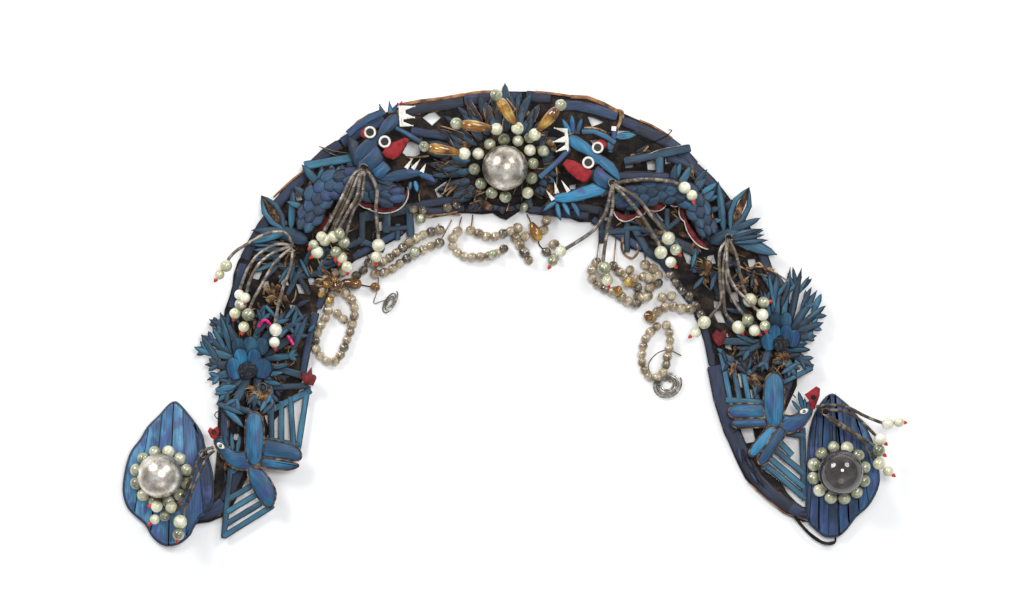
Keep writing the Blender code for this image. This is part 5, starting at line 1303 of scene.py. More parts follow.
# The fan of leaves on the band below the left dragon's tail.
TAIL_FAN = trace(
    "leaf -104 31 -118.6 33.6 3.2 0, leaf -103.5 28.6 -117.5 28 3 0.2, leaf -104.5 26 -119.4 23 3 0, "
    "leaf -105 23.6 -117 18 2.8 0.2, leaf -106 21 -114 13.6 2.8 0, leaf -103 33 -113 38 3 0.3, "
    "leaf -100.6 21 -106 12.6 2.6 0.2, leaf -98.6 22.4 -100.6 13.4 2.6 0, leaf -96 24 -91.6 15.4 2.6 0.3, "
    "leaf -108 30 -119.6 30.8 2.2 0.5, leaf -108.6 25 -118 25.6 2.2 0.5"
)
# The leaves on the band round the right dragon's tail.
TAIL_LEAVES = trace(
    "leaf 98.4 33 112.4 37.8 2.6 2.2, leaf 100 31.4 115 32.6 2.8 2.4, leaf 99 32.6 113.4 35 2.6 2.6, "
    "leaf 82.2 26.5 80.5 19.6 3 0, leaf 91.4 17.6 89 9.4 3 0.2, leaf 95.6 20.8 100 21.6 2.4 0.4, "
    "leaf 100.6 19.6 105.4 11.6 2.8 0.2, leaf 108.8 19 107.2 10.6 2.8 0, leaf 112 17.6 116.4 11 2.6 0.2, "
    "leaf 86 16 81 10 2.8 0, leaf 94 15.6 97.6 8 2.6 0.3, leaf 72.6 33 76.4 26.4 2.8 0"
)
CRESTS = {
    "left": trace(
        "leaf -128.4 -61.2 -130.4 -54.6 2.8 0, leaf -126.2 -62 -126.8 -53.8 2.6 0, leaf -124.2 -63 -122.8 -55 2.6 0"
    ),
    "right": trace(
        "leaf 130.8 -43.8 128.4 -35.4 2.8 0, leaf 129.4 -44.6 125.4 -39.4 2.2 0, leaf 131.6 -43.4 131.2 -38.4 2 0"
    ),
}
# The pearls round the centre ball.
CROWN_PEARLS = trace(
    "9 67, 13.6 72.6, 7.6 73, 7.5 78.6, 2.2 77.2, -4 77.8, -10.5 75.6, -15.6 71.4, -17.4 64.4, -14.4 58, -9.6 53.8, "
    "-3.4 52, 6.6 53.8, 8.4 60.4"
)

COMB_SHAPE_LEFT = trace(
    "-137.4 -53.4, -136.4 -51.6, -134.9 -52.4, -133.2 -51.2, -132 -53.2, -132.8 -55.8, -134.2 -57.6, -136 -56.2"
)
COMB_SHAPE_RIGHT = trace(
    "131.2 -36.9, 133.4 -35.4, 136.4 -33.2, 138.2 -34.2, 138 -37.4, 137 -40.2, 135.6 -43.8, 133.6 -43, 133 -39.4"
)

# The end plaques' outlines.
PLAQUE_EDGE_LEFT = trace(
    "-152.5 -40, -150 -41.5, -146.5 -45.5, -143 -50, -140 -55, -138.5 -61, -135.4 -72, -134.6 -82, -136.2 -88, "
    "-141 -93, -143.8 -97, -145.5 -100.5, -150 -104.2, -155.5 -105.6, -160 -104, -163.4 -100.6, -166.2 -95.6, "
    "-171.6 -91, -174.6 -87, -176.2 -80, -174.9 -70, -172.4 -62.5, -168.2 -57, -165 -51.5, -159.5 -46, -155.4 -41.4"
)
PLAQUE_EDGE_RIGHT = trace(
    "144 -36.5, 148 -39, 152 -42.5, 157 -48.5, 160 -53, 163 -60, 165.5 -73, 164.6 -80, 160.4 -87.5, 155.2 -92, "
    "151 -97.6, 147.4 -100.8, 144 -101.6, 140 -101, 136 -98, 133.5 -95, 132 -91, 132 -85, 133 -60, 135 -48, "
    "139.6 -39.6"
)
# The red buds at the top of the birds' tails.
TULIP_LEFT = trace("-95.5 -26, -93.4 -28, -90.7 -24.5, -90.3 -28.6, -88.3 -29.3, -90 -33, -93.5 -32.5, -95.4 -29.5")
TULIP_RIGHT = trace("91.5 -7.5, 93.4 -9, 96 -7.5, 96.2 -11, 94.4 -14.6, 92.5 -15.2, 90.4 -12.6, 89.6 -10")
# The birds' bodies and wings: lift, tone and direction of the barbs, then the outline.
WINGS_LEFT = trace(
    "-0.1 0.5 0, -134.6 -58, -133.2 -56, -130.4 -56.6, -128 -60.2, -124.5 -62.6, -120.8 -62.4, -117 -61, -113.6 -64, "
    "-114.2 -67.8, -118 -70.4, -122 -71, -126.5 -69.6, -130.4 -66, -133.4 -61.5; "
    "0 0.45 -8, -113.4 -57.2, -106 -57.9, -99.5 -59.6, -95.8 -62.4, -95.3 -65.6, -98 -66.9, -105 -65.6, -113.4 "
    "-64.4; "
    "0 0.6 -6, -113.4 -65.4, -105 -66.5, -98 -67.8, -96.6 -69.4, -101 -71, -107 -70.6, -113.4 -69; "
    "0.1 0.5 -60, -118.8 -69.5, -113 -71, -109.2 -75.5, -106.6 -81.5, -108.6 -87.6, -112.4 -86.6, -116.6 -80.5, "
    "-119.2 -74.5; "
    "0.6 0.62 90, -116.5 -44.6, -113.6 -46.4, -112.2 -51, -112.2 -60, -113.2 -66.4, -116.4 -69.2, -119.6 -66.4, "
    "-120.6 -60, -120.6 -51, -119.4 -46.4"
)
WINGS_RIGHT = trace(
    "-0.1 0.5 30, 116.6 -49, 120 -45.6, 124.6 -46.6, 128.6 -45, 131.6 -41, 134.4 -40.6, 134.8 -44.6, 132.4 -49.6, "
    "127.6 -53.4, 121.6 -54.4, 117.4 -52.8; "
    "0 0.55 4, 97 -44.8, 98.6 -42, 104 -41, 114.4 -42, 114.4 -47, 104 -47.5, 98.8 -47.3; "
    "0 0.45 2, 98.2 -49.6, 101 -48.1, 114 -47.7, 115 -51.2, 104 -52, 99.6 -51.6; "
    "0 0.85 52, 116.2 -50.6, 118.8 -53.4, 112.6 -61.6, 108.6 -65, 106.2 -63.2, 109 -58; "
    "0.3 0.4 55, 119 -51.6, 122.8 -54.4, 117.8 -62.6, 113.4 -68.6, 110.2 -66.8, 113.8 -60; "
    "0.6 0.62 90, 117.5 -27, 120.6 -28.8, 122.1 -33.5, 122.1 -44, 121 -49.6, 117.6 -52, 114.2 -49.6, 112.9 -44, "
    "112.9 -33.5, 114.4 -28.8"
)

DRAGON_LEFT = {
    "side": "left",
    "body": BODY_LEFT,
    "fins": FINS_LEFT,
    "tail": TAIL_LEFT,
    # Width, then points.
    "belly": trace(
        "3.2, -68 50.5, -64.5 47.6, -58 46.3, -52 48, -48.6 52, -47.6 56.5; "
        "2.8, -70 50, -66 48.4, -62 47.4; "
        "2.6, -89 34, -86 38, -82.5 44.5"
    ),
    # Lift, tone, direction of the barbs, then the outline.
    "plates": trace(
        "-0.2 0.1 60, -74 79.8, -69.2 76.4, -69.5 70, -71 66, -73.4 70.5, -74.2 75; "
        "0 0.28 50, -71.5 66, -72 70, -70.5 74, -67 77.3, -62.5 79.2, -60.5 82, -58.5 86, -55 89.3, -52.2 89.8, "
        "-50.6 87.5, -50.7 84.6, -53 82.5, -57 80, -60.2 77.3, -61 74, -64 71.5, -67 69, -69.2 65.4; "
        "0.35 0.34 50, -70.6 64.2, -69.5 67.5, -65 71.8, -61.2 75.6, -59.5 73, -58 69.5, -58.3 67.8, -61 65.2, -63.5 "
        "63.8, -67 62.8; "
        "0.1 0.5 40, -64 63.8, -58.4 68.6, -56 66.4, -54.6 64.4, -57.5 61, -60.5 59.6, -62.5 61; "
        "-0.4 0.36 12, -61 59.6, -57 62.4, -52 64.3, -47 65, -42.8 64.6, -39.6 63.2, -42.2 61.2, -47 59.8, -53 58.8, "
        "-58 58.6"
    ),
    # Finish, width, lift, tone, then points.
    "head_strips": trace(
        "BRIGHT 3.6 0.7 0.4, -74 80, -69 84.4, -64 87.6, -58.5 89.8; "
        "RIM 0.9 0.6 0.5, -74.2 81, -69.6 86, -64 89.2, -58 90.6; "
        "BRIGHT 2.4 0.4 0.5, -52.6 83, -47 80, -41 76.2; "
        "STRAW 2.2 0 0.4, -56 90.2, -52.6 90.8, -50.2 88.4; "
        "TEAL 5 -0.6 0.3, -68 66, -61 61, -54 59"
    ),
    # Form, finish, width, lift, tone, then points.
    "head_leaves": trace(
        "OVAL RED 5.4 0.6 0.5, -68.4 79.6, -62.6 82.2; "
        "SPIKE BRIGHT 3.4 0.2 0.7, -58.6 89, -60 93.6; "
        "SPIKE BRIGHT 2.6 0.2 0.8, -55 90.6, -55.6 94.9; "
        "SPIKE BRIGHT 3 0.2 0.45, -53.6 90.4, -51.6 94.2; "
        "LEAF BRIGHT 3.2 -0.4 0.55, -42 62, -38 60.8, -34.6 58.4; "
        "LEAF BRIGHT 2.4 -0.8 0.9, -44 59, -42.8 53.8; "
        "LEAF BRIGHT 1.8 -0.9 0.8, -46 58.6, -46.4 54.6; "
        "SPIKE WHITE 2.4 -0.2 0.5, -48 64.8, -44.8 69.6; "
        "SPIKE WHITE 2.4 -0.2 0.5, -45 64.6, -41.6 69; "
        "SPIKE WHITE 2.4 -0.2 0.5, -41 63.2, -39 67"
    ),
    # x, y, radius.
    "eyes": trace("-64.2 80.9 2.7, -57.6 76.7 2.7"),
    "teeth_plate": trace("-51.4 92.6, -48.4 92.2, -48.2 89.6, -49.2 86.4, -49 83.4, -50.8 83.4, -51.2 88"),
    "teeth": trace("-50.2 91.6 -43.8 92.6 2.6, -49.6 88.2 -44 87.5 3.2, -49.8 84.6 -44.7 83.8 2.4"),
    "tongue": trace(
        "-61 75.6, -58.8 74.4, -57.6 73, -59 71.8, -57.5 70, -54 68.6, -52.2 69.4, -50.4 71, -48.8 74.3, -46.7 76.8, "
        "-47.2 78.2, -48.8 78.6, -52 77, -56.5 75.6, -60 77"
    ),
    # The posts that carry the body and the head: x, y, top.
    "posts": trace("-78 58.5 9.6, -73 66 9.6, -61 79 13.6, -66 71 13.6"),
}
DRAGON_RIGHT = {
    "side": "right",
    "body": BODY_RIGHT,
    "fins": FINS_RIGHT,
    "tail": TAIL_RIGHT,
    "belly": trace(
        "3, 45.6 45.4, 50 42.6, 56 43.8; 2.8, 54.6 44, 57 44.6, 60.4 47; 3.4, 60.5 46.8, 66 47.8, 69.4 51; 2.8, "
        "69 51, 73 49.2, 77 50; 2.6, 75.6 49, 76.4 44, 78.6 40.5; 2.6, 77.4 42, 80 36.5, 84 31.5, 88 28.6"
    ),
    "plates": trace(
        "0 0.7 -42, 24.4 77, 24.6 79, 26 80.3, 29 79.6, 33 77, 36.4 74, 38.4 71.4, 41.5 70, 45 67.5, 47.5 64, 48.7 "
        "60, 47.4 58.8, 44 61.5, 40.5 64.5, 38.3 66.5, 36.4 66.6, 35.5 68.8, 32 71, 28.5 72.6, 25.6 74.5; "
        "0.3 0.5 -42, 38.2 66, 41 63.6, 44.6 61, 47.4 59, 44.8 57, 42 55.2, 38 56.6, 35.8 59.5, 36 63.5; "
        "-0.4 0.85 10, 17 51.4, 19.5 53.4, 26 54.7, 31 56.8, 36 58.2, 39.5 57, 42.4 55, 40.4 52.6, 35 51.3, 29 49.6, "
        "23 49, 19 49.6"
    ),
    "head_strips": trace(
        "BRIGHT 2.8 0.8 0.65, 31 81.2, 36 81.4, 41 79.4, 46 76.2; "
        "STRAW 0.8 0.7 0.5, 32 83, 37 83, 42 80.8; "
        "BRIGHT 2.8 0.4 0.6, 12 60.6, 18 66, 22 69.6, 25.4 73.6; "
        "BRIGHT 2.6 0.2 0.5, 43.6 72, 45 77, 45.8 82; "
        "WHITE 2.6 0.3 0.5, 45.2 81.6, 45.4 83.6; "
        "NAVY 3.4 0 0.4, 46 61.4, 56 61.4, 70 61.2; "
        "STRAW 2.6 0 0.2, 24.6 80.6, 27.4 81.6, 30 81.2; "
        "TEAL 5 -0.6 0.3, 36 64, 39 58, 42 53"
    ),
    "head_leaves": trace(
        "OVAL RED 5.2 0.6 0.5, 36.4 75.6, 42.2 75.2; "
        "LEAF BRIGHT 2.8 0.2 0.85, 25.8 80.6, 22 87; "
        "LEAF BRIGHT 3 0.2 0.75, 27 81, 26.2 89.2; "
        "LEAF BRIGHT 2.6 0.2 0.6, 29 81, 31 87.6; "
        "LEAF TEAL 3.6 0.1 0.95, 46.5 78.8, 51 79.4, 55.4 79.8; "
        "LEAF TEAL 4 0 0.5, 43.4 76.6, 44 72.4; "
        "SPIKE WHITE 2.2 0 0.5, 18 50.6, 14.8 55.2; "
        "SPIKE WHITE 2.4 -0.2 0.5, 19.8 53.6, 18.6 58.8; "
        "SPIKE WHITE 2.2 -0.2 0.5, 25 54.4, 21.6 59.6; "
        "LEAF BRIGHT 2.6 -0.9 0.75, 19.6 49.8, 16.5 48.2, 13.4 45.2; "
        "LEAF BRIGHT 2.6 -1 0.7, 19.8 49, 20.4 45, 21.5 41.2; "
        "LEAF BRIGHT 2.6 -0.9 0.8, 22.4 49.2, 24 46.6, 25.6 43.2; "
        "LEAF BRIGHT 2.6 -1 0.65, 26.4 49.4, 28.4 46.4, 30 42.4"
    ),
    "eyes": trace("38 74 2.6, 33.8 67.3 2.7"),
    "teeth_plate": trace("23.2 82.4, 24.4 82, 25 78, 25.2 73.6, 24.6 72, 23.4 74, 23.4 78"),
    "teeth": trace("24.4 81.4 18.3 82.9 2.4, 24.2 78 17.8 76.5 3.2, 24.8 74.6 19.2 72.2 2.6"),
    "tongue": trace("22.2 66.6, 24.2 68.8, 27.5 68.2, 31.2 66.2, 35.6 63.6, 34.8 61, 33.2 59, 31 58.6, 28.5 60, 25 63"),
    "posts": trace("73 55 9.6, 66 66 9.6, 35 71.5 13.6, 44 64 13.6"),
}

# Thin wires and straw: finish and radius, then points.
LOOSE_WIRES = trace(
    "STRAW 0.75, 48.2 91 3.4, 48.6 88 3.8, 48 85 4, 46.8 82.8 6; "
    "STRAW 0.6, 47.2 91.4 3.2, 49.4 90.6 4.2, 49.6 87.6 3.6; "
    "SILVER_WIRE 0.25, -60.5 17.5 1.2, -61.2 10 1, -62.8 4.2 0.8, -59 5.2 0.8, -54 6 0.8; "
    "SILVER_WIRE 0.28, 76 -19.5 0.9, 70 -17 1.2, 64.4 -19 1.6, 61 -24 4.6, 63 -29.5 4.6, 66.5 -33 1.4; "
    "DARK_WIRE 0.25, 123 -34 7.4, 125 -36 8.4, 127.4 -38.4 9.2; "
    "DARK_WIRE 0.25, -131.4 -46.4 6.2, -133 -48 6.6, -134.4 -46.2 6.6, -133 -44.6 6.4, -130 -44.8 6; "
    "STRAW 0.45, 105 20 6, 112 20.6 6.2, 118 19.4 6.4; "
    "STRAW 0.4, 112 21 6.2, 118 18 6.5, 124 14 6.6; "
    "STRAW 0.4, 101 21.4 5.2, 108 18 6, 115 16.4 6.2; "
    "STRAW 0.45, -113 12 5.4, -109 7.6 5.6, -105 3 5.4; "
    "STRAW 0.4, -111 11.4 5.6, -107 9.6 5.4, -104 5 5.2; "
    "STRAW 0.5, -112.6 8 5.2, -111 12.6 6, -108.4 8.4 6.4, -106 12.4 6, -103.4 8 5.4; "
    "STRAW 0.45, -110 4 5.2, -108.6 7 6, -106.6 3.6 6.2, -104.2 7.6 6, -101 4.6 5.2; "
    "STRAW 0.45, 99 15 5.2, 102 18 6, 104 14.4 6.4, 107.6 17 6, 110 12.6 5.4; "
    "STRAW 0.4, 104 22.6 5.4, 107 19.6 6.2, 110.6 22.4 6.4, 114 18.8 6; "
    "STRAW 0.35, 53 71 5, 58 72 5.4, 61 75 5.6, 59.4 72.6 5.6; "
    "SILVER_WIRE 0.22, 61 71.2 11.2, 66 73.2 11.4, 72 74.4 11.2, 79 75.6 10.6; "
    "SILVER_WIRE 0.2, -87.6 75 4.4, -80 72.6 6, -72.4 71.4 6, -80 70.8 6, -87.4 75 4.4; "
    "STRAW 0.4, -45 43.6 3, -38 43.2 3.4, -30 44.4 3.2, -23.6 44 3; "
    "DARK_WIRE 0.25, 56 79.4 3.2, 62 77.2 3.6, 68.4 79.2 3.6, 71.6 82 3.4, 70.2 82.4 3.2; "
    "SILVER_WIRE 0.22, 12 46.4 4, 16 50 8.6, 19 55 9, 20 62 9; "
    "STRAW 0.3, 19.4 66 9.4, 19.9 61 9, 19.6 57 8; "
    "STRAW 0.5, -30 52.4 6.6, -28 54.8 7, -24.4 58.2 7.2; "
    "STRAW 0.4, -33.4 64.4 6.6, -31 66.4 7, -28.8 68 7; "
    "STRAW 0.5, -48.6 70.2 3.4, -43 70 3.8, -38 70.6 4.4; "
    "STRAW 0.6, 49.6 34 3, 49.2 29 2.4, 51 25.6 2.2, 54 24.6 2.2, 56.2 27 2.4, 56 31 2.8; "
    "MAGENTA 0.75, -114.8 -6.6 7.8, -113 -4 8.2, -111 -3.6 8.2, -109.2 -5.6 7.8; "
    "MAGENTA 0.75, -101.6 -10.4 7.4, -100 -12.6 7.4, -99 -14.6 7.2; "
    "MAGENTA 0.4, -52 93.4 3.6, -50.8 94.4 3.8, -50 95.2 3.6; "
    "DARK_WIRE 0.3, 129 -95.4 3, 135 -100.2 3, 139 -103 3; "
    "DARK_WIRE 0.45, 139.6 -103.7 1, 143 -104.7 1, 145.4 -103.6 1, 145.6 -101.6 1.4"
)
# Loose beads and pearls: finish and radius, then places.
LOOSE_BEADS = trace(
    "CHAMPAGNE 2, -87.6 13.4 4.6, -84.4 15.4 4.6, -81.4 11.6 3.6, -85.6 10.2 4.6, -78.6 9.4 2.2, -82 8 2.6, -76.8 "
    "18.2 4.4, -80.4 17.6 4.6, -79.2 -0.6 2, -76.6 -3 2; "
    "SMOKY 2.1, -65.2 22.4 2.2, -67.6 19 2.2, -70.6 16.8 2.2; "
    "SMOKY 2.1, -45 46.6 5.4, -40.8 46 5.4, -29.6 47.4 5.4, -25.4 48.6 5.4; "
    "CHAMPAGNE 2.2, 2.2 38.2 2.4, 5.6 34.4 2.4, 15.2 41.6 2.6, 13.8 37.2 2.4, 18.6 30.8 2.2, 18.8 24.6 2.2; "
    "PEARL 2.3, -9 26.2 4.6, 4.8 47.4 5.6, -44.2 27.6 5, -41.4 42.2 5.2; "
    "CHAMPAGNE 2.1, 41.4 20.6 2.2, 41.8 16.4 2.2, 52.8 19.2 2.2, 54.8 15.4 5.2, 58.8 16.2 2.6, 61.4 15.6 5, 63.6 "
    "15.2 2.2, 56.6 7.8 2.2, 61 7.2 2.4, 67.4 6.8 2.2, 71.6 7.6 2.2; "
    "SMOKY 2, 71 17 4.8, 73.4 13.4 4.8, 76.4 9.8 4.8, 79.6 7.2 4.8, 82.6 3.2 4.8, 85 -1 4.8, 87.2 -4.6 4.8; "
    "AMBER 1.7, -84 12.6 6.6, -80.6 14.6 5.6, -79.6 12 5.4, -86.4 8.4 4.8, -82.6 5.6 4.4, -77.4 12.6 4; "
    "AMBER 2.4, 52 13.4 5.4, 47.2 9.8 5.2, 61.2 -1.6 4.2"
)
# Wire spirals: finish, wire radius, middle, inner and outer radius, turns, squash, tilt, height.
SPIRALS = trace(
    "SILVER_WIRE, 0.42, 69.6 -32.6, 2, 6.8, 4, 0.86, 0.5, 0.6; "
    "SILVER_WIRE, 0.36, -55.6 4.6, 1.4, 6, 3, 0.42, 1.05, 0.6"
)


# ---------------------------------------------------------------- sub-assemblies

KINDS = {"bar": Form.STRIP, "disc": Form.OVAL, "leaf": Form.LEAF}


def tone_of(number: int, low: float = 0.25, high: float = 0.75) -> float:
    """A steady spread of tones for numbered copies.

    Args:
        number: the copy's number.
        low: the darkest tone.
        high: the brightest tone.

    Returns:
        A tone between the two.
    """
    return low + (high - low) * ((number * GOLDEN_SHARE) % 1.0)


def lay_rows(
    pile: Pile, rows: Sequence, level: float, finish: Finish, low: float = 0.25, high: float = 0.75, rim: Finish = CUT,
) -> None:
    """Lays the blades of a table.

    Args:
        pile: the piece that takes them.
        rows: kind, x and y of the base, x and y of the tip, width, lift.
        level: the height of the layer's underside.
        finish: the finish of their faces.
        low: the darkest tone.
        high: the brightest tone.
        rim: the finish of their cut sides.
    """
    for number, (kind, ax, ay, bx, by, width, lift) in enumerate(rows):
        rise = LEAF_RISE if kind == "leaf" else 0.0
        width *= 0.84 if kind == "leaf" else 1.0
        base = level + lift + 0.05 * (number % 4)
        path = [(ax, ay, base), (bx, by, base + rise)]
        pile.blade(KINDS[kind], path, width, tone_of(number, low, high), finish, rim)


@dataclass
class Band:
    """The arch: dark card with gaps, its copper-bound rim, and the strips and scraps that cover it."""

    outer: tuple = BAND_OUTER
    inner: tuple = BAND_INNER
    gaps: tuple = BAND_GAPS
    strips: tuple = BAND_STRIPS
    rims: tuple = BAND_RIMS
    slivers: int = 620
    tangle_blades: int = 18
    open: float = 1.5
    half_thick: float = 0.95
    bevel: float = 0.22
    middle: float = 1.2
    tangles: tuple = (
        (-107, 7, 4.5), (-83, 14, 5.0), (-115, -36, 4.5), (121, -21, 2.5), (103, 12, 4.0), (86.5, 21, 3.0),
    )

    def card(self) -> bpy.types.Object:
        """Cuts the card from its outline and gaps as one filled curve, made a mesh.

        Returns:
            The card's object.
        """
        curve = bpy.data.curves.new("band_card", "CURVE")
        curve.dimensions = "2D"
        curve.fill_mode = "BOTH"
        curve.extrude = self.half_thick * MM
        curve.bevel_depth = self.bevel * MM
        curve.bevel_resolution = 0
        for number, ring in enumerate((self.outer + tuple(reversed(self.inner)), *self.gaps)):
            if number:
                mx, my = (sum(p[k] for p in ring) / len(ring) for k in (0, 1))
                ring = [(mx + (x - mx) * self.open, my + (y - my) * self.open) for x, y in ring]
            spline = curve.splines.new("POLY")
            spline.points.add(len(ring) - 1)
            spline.use_cyclic_u = True
            for point, (x, y) in zip(spline.points, ring):
                point.co = (x * MM, y * MM, 0, 1)
        thing = put_in_scene("band_card", curve)
        bpy.ops.object.convert(target="MESH")
        thing = bpy.context.object
        bpy.ops.object.mode_set(mode="EDIT")
        bpy.ops.mesh.select_all(action="SELECT")
        bpy.ops.transform.translate(value=(0, 0, self.middle * MM))
        bpy.ops.mesh.remove_doubles(threshold=1e-6)
        bpy.ops.mesh.normals_make_consistent(inside=False)
        bpy.ops.object.mode_set(mode="OBJECT")
        thing.name = "band_card"
        thing.data.materials.clear()
        thing.data.materials.append(CARD.material())
        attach(thing, "root")
        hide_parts("band")
        LOG.info("band_card: %d faces", len(thing.data.polygons))
        return thing

    def covering(self) -> bpy.types.Object:
        """Glues the navy strips, the copper rim and the scraps of paper and straw on the card.

        Returns:
            The covering's object.
        """
        pile = Pile("band_covering", [NAVY, CUT], "dark_feather")
        for number, (width, *points) in enumerate(self.strips):
            path = [(x, y, BAND_TOP - 0.35 + 0.04 * (number % 3)) for x, y in points]
            pile.blade(Form.STRIP, path, width, tone_of(number, 0.2, 0.7), NAVY)
        for width, *points in self.rims:
            path = [(x, y, BAND_TOP - 0.2) for x, y in points]
            pile.blade(Form.STRIP, path, width, 0.5, RIM, RIM)
        chance = random.Random(7)
        middles = [(sum(p[0] for p in gap) / len(gap), sum(p[1] for p in gap) / len(gap)) for gap in self.gaps]
        for number in range(self.slivers):
            share = chance.choice((chance.random(), chance.uniform(0.18, 0.38), chance.uniform(0.55, 0.72)))
            place = share * (len(ARCH) - 1)
            i = min(int(place), len(ARCH) - 2)
            x0, y0, w0 = ARCH[i]
            x1, y1, w1 = ARCH[i + 1]
            t = place - i
            way = math.atan2(y1 - y0, x1 - x0)
            wide = w0 + (w1 - w0) * t
            if wide < 15 and number % 5:
                continue
            out = (chance.random() - 0.5) * (wide - 4) * 0.9
            x = x0 + (x1 - x0) * t - math.sin(way) * out
            y = y0 + (y1 - y0) * t + math.cos(way) * out
            angle = way + chance.uniform(-1.2, 1.2) * min(wide / 30 - 0.2, 1)
            length = chance.uniform(3.5, 9.0)
            dx, dy = math.cos(angle) * length / 2, math.sin(angle) * length / 2
            z = BAND_TOP - 0.4 + chance.random() * 1.2
            if any((x - gx) ** 2 + (y - gy) ** 2 < 20 for gx, gy in middles):
                continue
            if number % (2 if 0.18 < share < 0.34 else 4) == 0 and wide > 15:
                finish, width = STRAW, chance.uniform(0.4, 0.9)
            else:
                finish, width = (NAVY, SCRAP, TEAL, SCRAP, NAVY)[number % 5], chance.uniform(1.2, 2.8)
            bend = chance.uniform(-0.8, 0.8)
            pile.blade(
                Form.LEAF, [(x - dx, y - dy, z), (x + bend, y - bend, z + 0.4), (x + dx, y + dy, z + 0.2)], width,
                chance.random() * 0.7, finish,
            )
        for mx, my, reach in self.tangles:
            for number in range(self.tangle_blades):
                angle, out = chance.uniform(0, math.tau), reach * chance.random()
                x, y, z = mx + math.cos(angle) * out, my + math.sin(angle) * out, LEAF_LEVEL + chance.random()
                turn, length = chance.uniform(0, math.pi), chance.uniform(1.5, 3.0)
                dx, dy = math.cos(turn) * length, math.sin(turn) * length
                finish, width = (SCRAP, 2.2) if number % 3 == 0 else (STRAW, 0.6)
                pile.blade(
                    Form.LEAF, [(x - dx, y - dy, z), (x + dy / 2, y - dx / 2, z + 0.5), (x + dx, y + dy, z)], width,
                    chance.random(), finish, SCRAP,
                )
        return pile.finish()

    def build(self) -> None:
        """Makes the card and its covering."""
        self.card()
        self.covering()


@dataclass
class Fretwork:
    """The feathered bars on the band under one dragon."""

    side: str
    rows: tuple
    fan: tuple = ()

    def build(self) -> None:
        """Lays the bars, and the fan of leaves beside them."""
        pile = Pile(f"fretwork_{self.side}", [TEAL, CUT], "dark_feather", (f"fret_{self.side}",))
        lay_rows(pile, self.rows, SEAT - 0.1, TEAL, 0.2, 0.55)
        lay_rows(pile, self.fan, SEAT + 0.5, TEAL, 0.3, 0.85)
        pile.finish()


@dataclass
class Lotus:
    """One lotus flower: its spread of leaves, and cupped petals round a dark heart."""

    side: str
    leaves: tuple
    petals: tuple
    hub: tuple
    extras: tuple = ()
    barbs: tuple = ()

    def build(self) -> None:
        """Makes the leaves, some with short side leaves like antlers, then the petals."""
        pile = Pile(f"lotus_leaves_{self.side}", [TEAL, CUT], "dark_feather", (f"leaves_{self.side}",))
        lay_rows(pile, [row for row in self.leaves if row[0] != "disc"], LEAF_LEVEL - 0.15, TEAL, 0.2, 0.75)
        lay_rows(pile, self.extras, LEAF_LEVEL + 0.2, TEAL, 0.3, 0.9)
        for number, (kind, ax, ay, bx, by, _, lift) in enumerate(self.leaves):
            length = math.hypot(bx - ax, by - ay)
            if kind != "leaf" or length < 11:
                continue
            for share in self.barbs:
                for side in (-1, 1):
                    angle = math.atan2(by - ay, bx - ax) + side * 0.62
                    x, y = ax + (bx - ax) * share, ay + (by - ay) * share
                    z = LEAF_LEVEL + lift + 0.1 + LEAF_RISE * share
                    reach = length * (1.0 - share) * 0.85
                    tip = (x + math.cos(angle) * reach, y + math.sin(angle) * reach, z + 0.3)
                    pile.blade(Form.LEAF, [(x, y, z), tip], 2.4, tone_of(number + side, 0.3, 0.8), TEAL)
        pile.knob(Knob.DISC, (*self.hub, (SEAT + LEAF_LEVEL) / 2), 4.5, CARD, (0, 0, 1), LEAF_LEVEL - SEAT + 0.6)
        pile.finish()
        flower = Pile(f"lotus_petals_{self.side}", [BRIGHT, CUT], "feather", (f"lotus_{self.side}",))
        seat = LEAF_LEVEL + SHEET + 0.7
        flower.knob(Knob.DISC, (*self.hub, seat + 0.9), 6.3, CARD, (0, 0, 1), 1.8)
        for number, (x, y, width, length, turn, lift) in enumerate(self.petals):
            angle = math.radians(90 + turn)
            dx, dy = math.cos(angle) * length / 2, math.sin(angle) * length / 2
            z = seat + lift - 0.5
            form, finish, tone = (Form.OVAL, NET, 0.5) if number == 0 else (
                Form.CUPPED, TEAL if number > 4 else BRIGHT, tone_of(number, 0.35, 0.75)
            )
            flower.blade(form, [(x - dx, y - dy, z), (x + dx, y + dy, z + 0.4)], width * 1.28, tone, finish, CARD)
        flower.finish()


